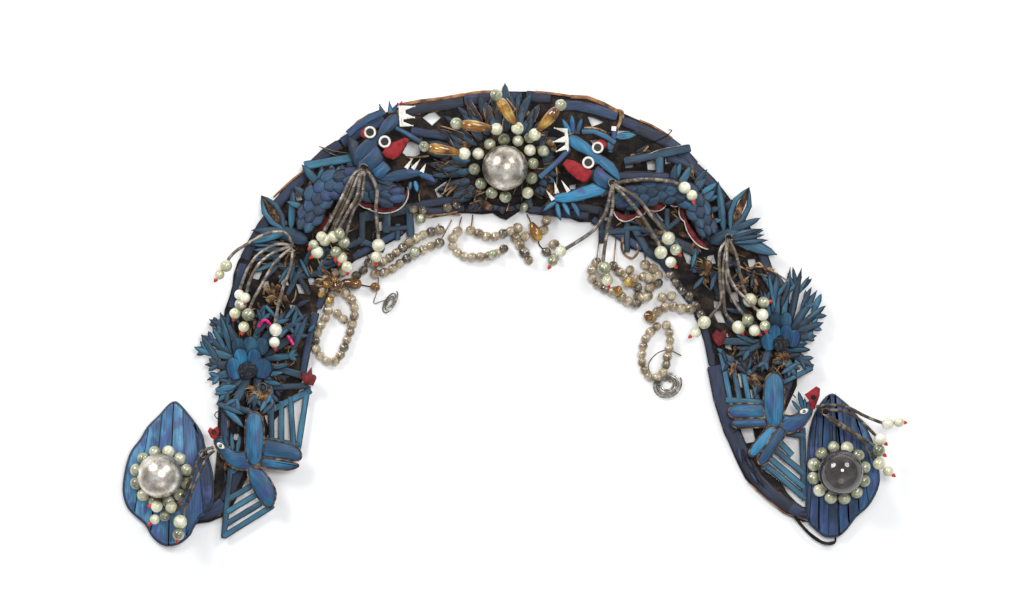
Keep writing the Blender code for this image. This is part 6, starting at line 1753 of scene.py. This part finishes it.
@dataclass
class Dragon:
    """One dragon: scaled body, fins, tail, belly, and the head with its eyes, teeth and tongue."""

    side: str
    body: tuple
    fins: tuple
    tail: tuple
    belly: tuple
    plates: tuple
    head_strips: tuple
    head_leaves: tuple
    eyes: tuple
    teeth_plate: tuple
    teeth: tuple
    tongue: tuple
    posts: tuple

    def trunk(self) -> None:
        """Makes the body: a dark core under rows of overlapping scales, and the fins."""
        pile = Pile(f"dragon_{self.side}_scales", [BRIGHT, CUT], "feather", (f"dragon_{self.side}_body",))
        knots = smooth([(x, y, MID_LEVEL + 2.0) for x, y, _ in self.body], 8)
        widths = [w for _, _, w in self.body]
        for share, height in ((0.94, 0.0), (0.8, 1.1)):
            path = knots + np.array([0, 0, height - 1.2])
            pile.blade(Form.STRIP, path, max(widths) * share, 0.1, CARD)
        total = along(knots, np.array([0.0]))[2]
        steps = int(total / SCALE_STEP)
        for step in range(steps, -1, -1):
            share = (step + 0.5) / (steps + 1)
            places, ways, _ = along(knots, np.array([share]))
            place, way = places[0], ways[0]
            width = float(np.interp(share, np.linspace(0, 1, len(widths)), widths))
            across = np.array([-way[1], way[0], 0.0])
            offsets = (-0.34, 0.0, 0.34) if step % 2 else (-0.2, 0.2)
            for number, offset in enumerate(offsets):
                centre = place + across * offset * width
                height = 0.6 * math.cos(offset * 3.0) + 0.3
                start = centre - way * 3.4 + np.array([0, 0, height])
                end = centre + way * 4.0 + np.array([0, 0, height + 0.9])
                tone = tone_of(step * 3 + number, 0.1, 0.55)
                pile.blade(Form.SCALE, [start, end], width * 0.5 + 1.0, tone, SCALY, CARD)
        lay_rows(pile, self.fins + EXTRA_FINS[self.side], MID_LEVEL + 1.1, TEAL, 0.35, 0.85)
        for x, y, top in self.posts:
            pile.knob(Knob.DISC, (x, y, (SEAT + top) / 2), 1.8, CARD, (0, 0, 1), top - SEAT)
        pile.finish()

    def limbs(self) -> None:
        """Makes the tail's leaves and the red belly with its cream edge."""
        pile = Pile(f"dragon_{self.side}_tail_leaves", [BRIGHT, CUT], "feather", (f"dragon_{self.side}_tail",))
        lay_rows(
            pile, [row for row in self.tail if row[5] != PAIRED_LEAF or row[0] == "disc"], LEAF_LEVEL - 0.1, TEAL, 0.4, 0.9,
        )
        for kind, ax, ay, bx, by, width, _ in self.tail:
            if kind == "leaf" and width == PAIRED_LEAF:
                mx, my, dx, dy = (ax + bx) / 2, (ay + by) / 2, (bx - ax) / 20, (by - ay) / 20
                pile.blade(Form.LEAF, [(ax, ay, LEAF_LEVEL - 0.4), (bx, by, LEAF_LEVEL)], 3.4, 0.5, SCRAP, SCRAP)
                for way, tone in ((3.6, 0.75), (-3.6, 0.55)):
                    path = [
                        (ax, ay, LEAF_LEVEL), (mx - dy * way, my + dx * way, LEAF_LEVEL + 0.5),
                        (bx, by, LEAF_LEVEL + 1.0),
                    ]
                    pile.blade(Form.LEAF, path, 2.7, tone, TEAL)
        pile.finish()
        belly = Pile(f"dragon_{self.side}_belly_scallops", [CRIMSON, WHITE], "red", (f"dragon_{self.side}_belly",))
        for width, *points in self.belly:
            path = [(x, y, LEAF_LEVEL + 1.2) for x, y in points]
            belly.blade(Form.CRESCENT, path, width, 0.5, CRIMSON, CRIMSON)
            line = smooth(path, 8)
            ways = np.gradient(line, axis=0)
            ways /= np.linalg.norm(ways, axis=1, keepdims=True)
            share = np.linspace(0, 1, len(line))[:, None]
            out = np.stack([ways[:, 1], -ways[:, 0], np.zeros(len(line))], axis=1) * np.sin(math.pi * share) ** 0.6
            belly.tube(line + out * width * 0.5 + np.array([0, 0, 0.5]), 0.32, WHITE, 5)
        belly.finish()

    def head(self) -> None:
        """Makes the head's plates, strips and crest, then the eyes, teeth and tongue."""
        pile = Pile(f"dragon_{self.side}_head_plates", [BRIGHT, CUT], "feather", (f"dragon_{self.side}_head",))
        for (lift, tone, grain), *outline in self.plates:
            pile.plate(outline, HEAD_LEVEL + lift, tone, grain, BRIGHT)
        for (finish, width, lift, tone), *points in self.head_strips:
            path = [(x, y, HEAD_LEVEL + lift) for x, y in points]
            pile.blade(Form.STRIP, path, width, tone, FINISHES[finish])
        for (form, finish, width, lift, tone), *points in self.head_leaves:
            path = [(x, y, HEAD_LEVEL + lift + 0.5 * i / (len(points) - 1)) for i, (x, y) in enumerate(points)]
            pile.blade(Form[form], path, width, tone, FINISHES[finish])
        for x, y, radius in self.eyes:
            z = HEAD_LEVEL + 2.2
            pile.knob(Knob.DISC, (x, y, z), radius * 0.7, BLACK, (0, 0, 1), 0.9)
            ring = [
                (x + math.cos(a) * radius * 0.82, y + math.sin(a) * radius * 0.82, z + 0.25)
                for a in np.linspace(0, math.tau, 28)[:-1]
            ]
            pile.tube(np.array(ring), radius * 0.2, WHITE, 6, True)
        for x, y, top in self.posts[2:]:
            pile.knob(Knob.DISC, (x, y, (SEAT + top) / 2), 1.6, CARD, (0, 0, 1), top - SEAT)
        pile.finish()
        teeth = Pile(f"dragon_{self.side}_fangs", [WHITE, WHITE], "white", (f"dragon_{self.side}_teeth",))
        teeth.plate(self.teeth_plate, HEAD_LEVEL + 1.4, 0.5, 0, WHITE, WHITE, 0.05)
        for ax, ay, bx, by, width in self.teeth:
            teeth.blade(Form.SPIKE, [(ax, ay, HEAD_LEVEL + 1.2), (bx, by, HEAD_LEVEL + 1.5)], width, 0.5, WHITE, WHITE)
        teeth.finish()
        tongue = Pile(f"dragon_{self.side}_tongue_silk", [RED, RED], "red", (f"dragon_{self.side}_tongue",))
        tongue.plate(self.tongue, HEAD_LEVEL + 0.9, 0.5, 20, RED, RED, 0.25)
        tongue.finish()

    def build(self) -> None:
        """Makes the whole dragon."""
        self.trunk()
        self.limbs()
        self.head()


@dataclass
class Bird:
    """One bird: lobed body and wings, almond eye, red comb, and an openwork tail of slats."""

    side: str
    plates: tuple
    slats: tuple
    comb: tuple
    tulip: tuple
    eye: tuple
    post: tuple

    def build(self) -> None:
        """Makes the tail, then the body with its eye, then the comb and the red bud at the tail's top."""
        tail = Pile(f"bird_{self.side}_slats", [TEAL, CUT], "dark_feather", (f"bird_{self.side}_tail",))
        lay_rows(tail, self.slats, SEAT - 0.05, TEAL, 0.5, 0.9)
        lay_rows(tail, CRESTS[self.side], MID_LEVEL, TEAL, 0.6, 0.9)
        tail.finish()
        pile = Pile(f"bird_{self.side}_wings", [BRIGHT, CUT], "feather", (f"bird_{self.side}",))
        for (lift, tone, grain), *outline in self.plates:
            ring = smooth_ring(outline, 3)
            pile.plate(ring, MID_LEVEL + lift, tone, grain, BRIGHT, CUT, 0.35)
            pile.tube(np.array([(px, py, MID_LEVEL + lift + 0.75) for px, py in [*ring, *ring[:2]]]), 0.4, SCRAP, 5)
        x, y, angle = self.eye
        dx, dy = math.cos(angle), math.sin(angle)
        z = MID_LEVEL + 1.9
        pile.blade(
            Form.OVAL, [(x - dx * 2.0, y - dy * 2.0, z - 0.6), (x + dx * 2.0, y + dy * 2.0, z - 0.6)], 2.4, 0.5,
            WHITE, WHITE,
        )
        pile.knob(Knob.DISC, (x, y, z + 0.55), 0.75, BLACK, (0, 0, 1), 0.7)
        px, py = self.post
        pile.knob(Knob.DISC, (px, py, (SEAT + MID_LEVEL) / 2), 1.8, CARD, (0, 0, 1), MID_LEVEL - SEAT + 0.6)
        pile.finish()
        comb = Pile(f"bird_{self.side}_comb", [RED, RED], "red", (f"comb_{self.side}",))
        comb.plate(self.comb, MID_LEVEL + 2.1, 0.5, 60, RED, RED, 0.2)
        comb.plate(self.tulip, LEAF_LEVEL + 2.6, 0.5, 60, CRIMSON, CRIMSON, 0.2)
        middle = Vector((sum(p[0] for p in self.comb), sum(p[1] for p in self.comb))) / len(self.comb)
        comb.knob(Knob.DISC, (middle.x, middle.y, MID_LEVEL + 3.1), 1.25, CARD, (0, 0, 1), 0.5)
        comb.finish()


@dataclass
class EndPlaque:
    """A leaf-shaped plaque: a feathered card plate covered with a fan of feather strips."""

    side: str
    outline: tuple
    apex: tuple
    foot: tuple
    edges: tuple
    tones: tuple
    inset: float = 0.7
    gap: float = 0.25

    def build(self) -> None:
        """Cuts the plaque, and lays each strip between two lines of the fan, inside the outline."""
        pile = Pile(f"plaque_{self.side}_strips", [PLAQUE, CUT], "feather", (f"plaque_{self.side}",))
        ring = smooth_ring(self.outline, 3)
        pile.plate(ring, SEAT - 0.1, 0.45, 90, PLAQUE, CUT, 0.1)
        for number in range(len(self.edges) - 1):
            strip = self.strip(ring, self.edges[number], self.edges[number + 1])
            if len(strip) > 3:
                pile.plate(strip, SEAT + 0.55 + 0.14 * (number % 2), self.tones[number], 88, PLAQUE, NAVY, 0.3)
        pile.finish()

    def strip(self, ring: Sequence, left: float, right: float) -> list:
        """The part of the plaque between two fan lines.

        Args:
            ring: the plaque's outline.
            left: the left line's x at the foot.
            right: the right line's x at the foot.

        Returns:
            The strip's outline, just inside the plaque's.
        """
        (ax, ay), fy = self.apex, self.foot[1]
        middle = Vector((sum(p[0] for p in ring) / len(ring), sum(p[1] for p in ring) / len(ring)))
        bm = bmesh.new()
        inner = []
        for x, y in ring:
            to = middle - Vector((x, y))
            inner.append(bm.verts.new((x + to.x / to.length * self.inset, y + to.y / to.length * self.inset, 0)))
        bm.faces.new(inner)
        for foot_x, sign, gap in ((left, 1, -self.gap), (right, -1, self.gap)):
            top = Vector((ax + (foot_x - self.foot[0]) * 0.5 + gap, ay, 0))
            low = Vector((foot_x + gap, fy, 0))
            way = (low - top).normalized()
            normal = Vector((-way.y, way.x, 0)) * sign
            geometry = bm.verts[:] + bm.edges[:] + bm.faces[:]
            bmesh.ops.bisect_plane(bm, geom=geometry, plane_co=top, plane_no=normal, clear_inner=True)
        bmesh.ops.remove_doubles(bm, verts=bm.verts, dist=0.15)
        faces = sorted(bm.faces, key=lambda f: f.calc_area())
        outline = [(v.co.x, v.co.y) for v in faces[-1].verts] if faces else []
        bm.free()
        return outline


def smooth_ring(points: Sequence, pieces: int) -> list:
    """Points on a closed Catmull-Rom curve.

    Args:
        points: the knots as x, y.
        pieces: steps between each two knots.

    Returns:
        The curve's points as x, y.
    """
    knots = [Vector(p) for p in points]
    count = len(knots)
    ring = []
    for i in range(count):
        a, b, c, d = (knots[(i + k) % count] for k in (-1, 0, 1, 2))
        for step in range(pieces):
            t = step / pieces
            here = 0.5 * (2 * b + (c - a) * t + (2 * a - 5 * b + 4 * c - d) * t**2 + (3 * b - a - 3 * c + d) * t**3)
            ring.append((here.x, here.y))
    return ring


@dataclass
class Setting:
    """A glass ball on its cup, in a ring of imitation pearls on a wire."""

    name: str
    ring: tuple
    count: int
    first: float
    ball: tuple
    seat: float
    glass: Finish
    slot: str
    cap: tuple = ()
    places: tuple = ()

    def build(self) -> None:
        """Makes the ball with its drilled cap, then the pearls, evenly round it or at the measured places."""
        x, y = self.ball
        bottom = self.seat + 0.3
        z = bottom + 2.5 + BALL_RADIUS * 0.86
        ball = Pile(f"ball_{self.name}_glass", [self.glass, DARK_WIRE], self.slot, (f"ball_{self.name}",))
        way = Vector(self.cap) if self.cap else Vector((0.2, 0.9, 0.1))
        ball.knob(Knob.BALL, (x, y, z), BALL_RADIUS, self.glass, way)
        pole = Vector((x, y, z)) + way.normalized() * 9.9
        ball.knob(Knob.DISC, pole, 1.1, BLACK, way, 0.7)
        ball.knob(Knob.DISC, (x, y, (bottom + z - 4) / 2), 5.0, DARK_WIRE, (0, 0, 1), z - 4 - bottom)
        ball.finish()
        rx, ry, radius = self.ring
        pearls = Pile(f"pearls_{self.name}", [PEARL, DARK_WIRE], "pearl", (f"pearl_ring_{self.name}",))
        chance = random.Random(3)
        path = []
        for number in range(self.count):
            angle = math.radians(self.first + 360 * number / self.count)
            place = (rx + radius * math.cos(angle), ry + radius * math.sin(angle), bottom + 2.7)
            if self.places:
                place = (*self.places[number], bottom + 2.7)
            size = (2.7 if self.places else 2.9) + chance.uniform(-0.12, 0.12)
            way = (-math.sin(angle), math.cos(angle), chance.uniform(-0.3, 0.3))
            pearls.knob(Knob.PEARL, place, size, IVORY if number % 5 == 2 else PEARL, way)
            path.append(place)
        pearls.tube(np.array(smooth_loop(path)), 0.3, DARK_WIRE, 5, True)
        pearls.finish()


def smooth_loop(path: Sequence) -> list:
    """A ring's points with one more between each two, on the circle through them.

    Args:
        path: points as x, y, z.

    Returns:
        Twice as many points.
    """
    loop = []
    for i, point in enumerate(path):
        after = path[(i + 1) % len(path)]
        loop += [point, tuple((a + b) / 2 for a, b in zip(point, after))]
    return loop


@dataclass
class Crown:
    """The crown flower: many narrow leaves in three rows, copper scraps, and amber rays with pearls."""

    centre: tuple = (-4.0, 66.0)
    reach: tuple = CROWN_REACH
    scraps: int = 54
    hub: float = 18.5
    core: float = 15.6
    stalks: float = 17.9
    foot_level: float = 17.5
    tip_level: float = 21.0
    drop: float = 2.75
    # Rows of leaves from the lowest: count, length, share of the reach, width, height.
    rows: tuple = trace("36 13 1 4 3.4, 32 12 0.88 3.9 4.6, 30 11.5 0.77 3.8 5.8, 26 10 0.66 3.6 7")
    # Brown paper parts: x, y, direction.
    papers: tuple = trace("-20.5 76 0.6, 17 75.5 2.2, 16.5 55 1.2, -12.5 48.5 2.6")

    def reach_at(self, angle: float) -> float:
        """How far the leaves reach in a direction.

        Args:
            angle: the direction in radians.

        Returns:
            The reach in millimetres.
        """
        across = self.reach[0] if math.cos(angle) > 0 else self.reach[2]
        upwards = self.reach[1] if math.sin(angle) > 0 else self.reach[3]
        return across * upwards / math.hypot(upwards * math.cos(angle), across * math.sin(angle))

    def leaves(self) -> None:
        """Makes the hub and the rows of leaves over it."""
        pile = Pile("crown_flower_leaves", [TEAL, CUT], "dark_feather", ("crown_leaves",))
        x, y = self.centre
        pile.knob(Knob.DISC, (x, y, (SEAT + HUB_TOP) / 2), self.hub, CARD, (0, 0, 1), HUB_TOP - SEAT)
        chance = random.Random(11)
        for row, (count, length, far, width, level) in enumerate(self.rows):
            for number in range(int(count)):
                angle = math.tau * (number + 0.5 * (row % 2)) / count + chance.uniform(-0.05, 0.05)
                out = self.reach_at(angle) * chance.uniform(far - 0.1, far)
                start, dx, dy = max(out - length, self.core), math.cos(angle), math.sin(angle)
                if out - start < 5.0:
                    continue
                bend = chance.uniform(-1.2, 1.2)
                mid = (start + out) / 2
                path = [
                    (x + dx * start, y + dy * start, level),
                    (x + dx * mid - dy * bend, y + dy * mid + dx * bend, level + 0.5),
                    (x + dx * out, y + dy * out, level + 0.9 - 0.5 * row),
                ]
                rim = RIM if number % 3 == 0 else CUT
                pile.blade(Form.LEAF, path, width * chance.uniform(0.8, 1.05), chance.uniform(0.05, 0.6), TEAL, rim)
        for number in range(self.scraps):
            angle = chance.uniform(0, math.tau)
            out = self.reach_at(angle) * chance.uniform(0.62, 0.97)
            dx, dy = math.cos(angle), math.sin(angle)
            turn = angle + chance.uniform(-0.8, 0.8)
            length = chance.uniform(4, 9)
            a = (x + dx * out, y + dy * out, 6.0 + chance.random())
            b = (a[0] - math.cos(turn) * length, a[1] - math.sin(turn) * length, a[2] + 0.2)
            pile.blade(Form.LEAF, [a, b], chance.uniform(0.4, 0.9), 0.5, STRAW if number % 3 else SCRAP, SCRAP)
        for px, py, turn in self.papers:
            dx, dy = math.cos(turn) * 3.4, math.sin(turn) * 3.4
            pile.blade(Form.LEAF, [(px - dx, py - dy, 7.2), (px + dx, py + dy, 7.4)], 3.6, 0.5, SCRAP, SCRAP)
        pile.finish()

    def rays(self) -> None:
        """Makes each amber drop with the pearl at its foot, the pearl at its tip and its stalk."""
        for name, foot_x, foot_y, tip_x, tip_y, end_radius in CROWN_RAYS:
            pile = Pile(f"{name}_glass", [AMBER, IVORY, DARK_WIRE], "amber_glass", (name,))
            foot, tip = Vector((foot_x, foot_y, self.foot_level)), Vector((tip_x, tip_y, self.tip_level))
            inward = (foot - tip).normalized()
            out = Vector((foot_x - self.centre[0], foot_y - self.centre[1])).normalized() * self.stalks
            pile.knob(Knob.DROP, (foot + tip) / 2, self.drop, AMBER, tip - foot, (tip - foot).length + 0.6)
            root = foot + inward * 1.6 - Vector((0, 0, 0.4))
            pile.knob(Knob.PEARL, root, 2.9, IVORY, (0.5, 0.2, 0.8))
            end = tip - inward * end_radius * 0.8
            pile.knob(Knob.PEARL, end, end_radius, PEARL, tip - foot)
            stalk = [
                (self.centre[0] + out.x, self.centre[1] + out.y, HUB_TOP),
                (self.centre[0] + out.x, self.centre[1] + out.y, 10.0), tuple(foot + inward),
            ]
            pile.tube(smooth(stalk, 6), 0.55, SPRING, 6)
            pile.finish()

    def build(self) -> None:
        """Makes the flower and its rays."""
        self.leaves()
        self.rays()


@dataclass
class SpringGroup:
    """A group of coil springs from one post, each with its pearls and a red wax tip."""

    name: str
    post: tuple
    springs: tuple
    finish: Finish = SPRING
    coil: float = 0.76
    wire: float = 0.22
    pitch: float = 0.8
    steps: int = 7
    bindings: int = 7
    core: float = 0.72
    wax: float = 0.95

    def build(self) -> None:
        """Winds each spring along its route and threads its pearls."""
        pile = Pile(f"{self.name}_coils", [self.finish, IVORY, PEARL, WAX, DARK_WIRE], "wire", (self.name,))
        x, y, radius, low, high = self.post
        pile.knob(Knob.DISC, (x, y, (low + high) / 2), radius, DARK_WIRE, (0, 0, 1), high - low)
        for turn in range(self.bindings):
            angle = turn * 1.1
            loop = [
                (
                    x + math.cos(a + angle) * (radius + 0.35), y + math.sin(a + angle) * (radius + 0.3),
                    high - 1.6 + turn * 0.25,
                )
                for a in np.linspace(0, 5.6, 16)
            ]
            pile.tube(np.array(loop), 0.22, SILVER_WIRE if turn % 3 == 0 else DARK_WIRE, 5)
        for number, ((root_z, end_z), *spots, tip) in enumerate(self.springs):
            route = [spot for spot in spots if len(spot) == 2]
            pearls = [spot for spot in spots if len(spot) == 3]
            knots = []
            for i, (px, py) in enumerate(route):
                share = i / (len(route) - 1)
                knots.append(
                    (px, py, root_z + (end_z - root_z) * share + 1.5 * math.sin(math.pi * share) + 0.07 * number)
                )
            knots.append((pearls[0][0], pearls[0][1], end_z))
            path = smooth(knots, 10)
            length = along(path, np.array([0.0]))[2]
            turns = length / self.pitch
            count = int(turns * self.steps)
            places, ways, _ = along(path, np.linspace(0, 1, count))
            side = np.stack([-ways[:, 1], ways[:, 0], np.zeros(count)], axis=1)
            side /= np.linalg.norm(side, axis=1, keepdims=True)
            up = np.cross(ways, side)
            angle = np.linspace(0, turns * math.tau, count)[:, None]
            helix = places + (side * np.cos(angle) + up * np.sin(angle)) * self.coil
            pile.tube(helix, self.wire, self.finish, 4)
            pile.tube(path[::2] if len(path) % 2 else np.vstack([path[::2], path[-1:]]), self.core, self.finish, 8)
            before = Vector(path[-8])
            for order, (px, py, size) in enumerate(pearls):
                here = Vector((px, py, end_z))
                pile.knob(Knob.PEARL, here, size, PEARL if (order + number) % 3 == 2 else IVORY, here - before)
                before = here
            end = Vector((*tip, end_z))
            last = Vector((pearls[-1][0], pearls[-1][1], end_z))
            way = (end - last).normalized()
            start = last + way * pearls[-1][2] * 0.85
            pile.tube(np.array([last, end]), 0.3, DARK_WIRE, 5)
            pile.knob(Knob.TIP, (start + end) / 2 + way * 0.2, self.wax, WAX, way, max((end - start).length + 0.8, 2.2))
        pile.finish()


@dataclass
class BeadString:
    """A string of pressed glass beads lying along one route, with its thread ends."""

    name: str
    lead_in: tuple | None
    lead_out: tuple | None
    route: tuple
    finishes: tuple
    slot: str = "smoky_glass"
    spacing: float = 1.86

    def build(self) -> None:
        """Threads facetted beads along the route, touching each other."""
        pile = Pile(f"{self.name}_threaded", [*self.finishes, DARK_WIRE], self.slot, (self.name,))
        chance = random.Random(len(self.name) + len(self.route))
        path = smooth([(x, y, r) for x, y, r in self.route], 8)
        length = along(path, np.array([0.0]))[2]
        size = float(np.mean([r for _, _, r in self.route]))
        count = max(int(round(length / (size * self.spacing))), 1)
        places, ways, _ = along(path, np.linspace(0, 1, count + 1))
        if self.finishes[0] is AMBER:
            pile.knob(
                Knob.DROP, (path[0] + path[len(path) // 2]) / 2 + np.array([0, 0, 0.6]), 2.7, AMBER,
                path[len(path) // 2] - path[0], length * 0.62,
            )
            places, ways = places[len(places) // 2 + 1 :], ways[len(places) // 2 + 1 :]
        for place, way in zip(places, ways):
            radius = place[2] * chance.uniform(0.98, 1.1)
            finish = self.finishes[chance.choice((0, 0, 0, 1, min(2, len(self.finishes) - 1)))]
            tilt = Vector(way) + Vector(
                (chance.uniform(-0.25, 0.25), chance.uniform(-0.25, 0.25), chance.uniform(-0.2, 0.2))
            )
            pile.knob(Knob.FACET, (place[0], place[1], radius), radius, finish, tilt)
        pile.tube(path, 0.35, DARK_WIRE, 5)
        for lead, end in ((self.lead_in, path[0]), (self.lead_out, path[-1])):
            if lead:
                pile.tube(
                    smooth([tuple(end), ((end[0] + lead[0]) / 2, (end[1] + lead[1]) / 2, 0.8), (*lead, 0.6)], 4), 0.3,
                    STRAW, 5,
                )
        pile.finish()


@dataclass
class LooseWires:
    """The thin wires, twisted straw, extra beads and tufts that lie between the ornaments."""

    wires: tuple = LOOSE_WIRES
    beads: tuple = LOOSE_BEADS
    spirals: tuple = SPIRALS

    def build(self) -> None:
        """Makes the wires and spirals as one piece and the beads as another."""
        pile = Pile("loose_wires", [SILVER_WIRE, DARK_WIRE, STRAW], "wire")
        for (finish, radius), *points in self.wires:
            pile.tube(smooth(points, 6), radius, FINISHES[finish], 5)
        for finish, radius, centre, inner, outer, turns, squash, tilt, z in self.spirals:
            steps = int(turns * 20)
            path = []
            for i in range(steps + 1):
                share = i / steps
                angle = share * turns * math.tau
                size = inner + (outer - inner) * share
                u, v = math.cos(angle) * size, math.sin(angle) * size * squash
                path.append(
                    (
                        centre[0] + u * math.cos(tilt) - v * math.sin(tilt),
                        centre[1] + u * math.sin(tilt) + v * math.cos(tilt), z + share * 0.8,
                    )
                )
            pile.tube(np.array(path), radius, FINISHES[finish], 6)
        pile.finish()
        extra = Pile("loose_beads", [CHAMPAGNE, SMOKY, PEARL, AMBER], "smoky_glass")
        chance = random.Random(5)
        for (finish, radius), *points in self.beads:
            for x, y, z in points:
                way = (chance.uniform(-1, 1), chance.uniform(-1, 1), chance.uniform(-0.4, 0.4))
                form = Knob.PEARL if finish == "PEARL" else Knob.FACET
                extra.knob(form, (x, y, z), radius * chance.uniform(0.92, 1.05), FINISHES[finish], way)
        extra.finish()


@dataclass
class Studio:
    """The camera straight above, the pale floor and soft lights."""

    middle: tuple = (-0.45, 3.8)
    height: float = 2.57
    lens: float = 200.0

    def build(self) -> None:
        """Makes the camera, the floor and the lights."""
        lens = bpy.data.cameras.new("camera")
        lens.lens = self.lens
        lens.sensor_width = 36.0
        lens.clip_start, lens.clip_end = 0.05, 20.0
        camera = bpy.data.objects.new("camera", lens)
        camera.location = (self.middle[0] * MM, self.middle[1] * MM, self.height)
        bpy.context.scene.collection.objects.link(camera)
        bpy.context.scene.camera = camera
        clear_selection()
        bpy.ops.mesh.primitive_plane_add(size=6.0, location=(0, 0, 0))
        floor = bpy.context.object
        floor.name = "floor"
        paper = bpy.data.materials.new("studio paper, white")
        paper.use_nodes = True
        shader = paper.node_tree.nodes["Principled BSDF"]
        shader.inputs["Base Color"].default_value = (0.93, 0.93, 0.93, 1.0)
        shader.inputs["Roughness"].default_value = 0.9
        floor.data.materials.append(paper)
        world = bpy.data.worlds.new("studio")
        bpy.context.scene.world = world
        world.use_nodes = True
        world.node_tree.nodes["Background"].inputs["Color"].default_value = (0.93, 0.95, 1.0, 1.0)
        world.node_tree.nodes["Background"].inputs["Strength"].default_value = 0.45
        lamps = (
            ("key", (-0.95, 0.95, 0.95), 0.7, 15.0),
            ("fill", (0.8, 0.85, 0.95), 0.6, 7.0),
            ("front", (0.1, -1.1, 1.1), 0.8, 2.0),
            ("top", (0.3, 0.35, 1.9), 0.5, 13.0),
        )
        for name, where, size, power in lamps:
            light = bpy.data.lights.new(name, "AREA")
            light.shape = "DISK"
            light.size = size
            light.energy = power
            lamp = bpy.data.objects.new(name, light)
            lamp.location = where
            lamp.rotation_euler = (Vector((0, 0, 0.01)) - Vector(where)).to_track_quat("-Z", "Y").to_euler()
            bpy.context.scene.collection.objects.link(lamp)
        bpy.context.scene.view_settings.view_transform = "Standard"


def dress_hook(node: bpy.types.Object) -> None:
    """Gives the hook's own solid its wire finish.

    Args:
        node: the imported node.
    """
    node.data.materials.clear()
    node.data.materials.append(DARK_WIRE.material())


def main() -> None:
    """Builds the dressed headdress on its frame, piece by piece."""
    logging.basicConfig(level=logging.INFO, format="%(name)s %(message)s")
    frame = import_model()
    Studio().build()
    Band().build()
    Fretwork("left", FRET_LEFT, TAIL_FAN).build()
    Fretwork("right", FRET_RIGHT, TAIL_LEAVES).build()
    Lotus("left", LEAVES_LEFT, LOTUS_LEFT, (-118.5, -20.5), LEAVES_LEFT_EXTRA, (0.68,)).build()
    Lotus("right", LEAVES_RIGHT, LOTUS_RIGHT, (120.5, -9.5), LEAVES_RIGHT_EXTRA, (0.6,)).build()
    Dragon(**DRAGON_LEFT).build()
    Dragon(**DRAGON_RIGHT).build()
    Bird("left", WINGS_LEFT, BIRD_TAIL_LEFT, COMB_SHAPE_LEFT, TULIP_LEFT, (-131.6, -60.0, 2.5), (-117.0, -50.0)).build()
    Bird(
        "right", WINGS_RIGHT, BIRD_TAIL_RIGHT, COMB_SHAPE_RIGHT, TULIP_RIGHT, (131.0, -44.5, 0.35), (117.5, -32.0),
    ).build()
    # Strip tones from left to right. On the left plaque the low tones of the last strips, at its right end, are painted
    # shade.
    EndPlaque(
        "left", PLAQUE_EDGE_LEFT, (-152.5, -38.0), (-154.0, -106.0),
        (-190, -173.5, -164.4, -155.6, -147.0, -138.0, -122), (0.8, 0.95, 0.65, 0.9, 0.5, 0.1),
    ).build()
    EndPlaque(
        "right", PLAQUE_EDGE_RIGHT, (145.0, -33.0), (147.0, -106.0),
        (126, 132.4, 137.4, 142.4, 147.6, 152.8, 158.0, 163.2, 176), (0.1, 0.2, 0.3, 0.1, 0.35, 0.2, 0.45, 0.6),
    ).build()
    Setting(
        "left", (-158.3, -74.0, 11.6), 12, 15, (-158.5, -73.2), PLAQUE_TOP, SILVERED, "silvered_glass",
        (-0.95, 0.1, 0.3),
    ).build()
    Setting("right", (146.8, -72.2, 11.8), 12, 12, (147.2, -71.8), PLAQUE_TOP, CLEAR, "clear_glass").build()
    Setting(
        "centre", (-4.0, 65.3, 13.2), len(CROWN_PEARLS), 5, (-3.6, 64.9), HUB_TOP, SILVERED, "silvered_glass", (),
        CROWN_PEARLS,
    ).build()
    Crown().build()
    for name, (post, springs) in SPRING_GROUPS.items():
        finish = BLACK_SPRING if name in ("springs_left_plaque", "springs_right_bird") else SPRING
        coil = 0.8 if "head" in name else 0.62
        SpringGroup(name, post, springs, finish, coil).build()
    for name, (lead_in, lead_out, route) in STRINGS.items():
        finishes = {
            "beads_left_amber": (AMBER, CHAMPAGNE, SMOKY), "beads_centre_drop": (AMBER, SMOKY, PEARL),
        }.get(name, (CHAMPAGNE, SMOKY, CHAMPAGNE))
        slot = "amber_glass" if finishes[0] is AMBER else "smoky_glass"
        BeadString(name, lead_in, lead_out, route, finishes, slot).build()
    LooseWires().build()
    dress_hook(frame["nodes"]["hook"])


if __name__ == "__main__":
    main()
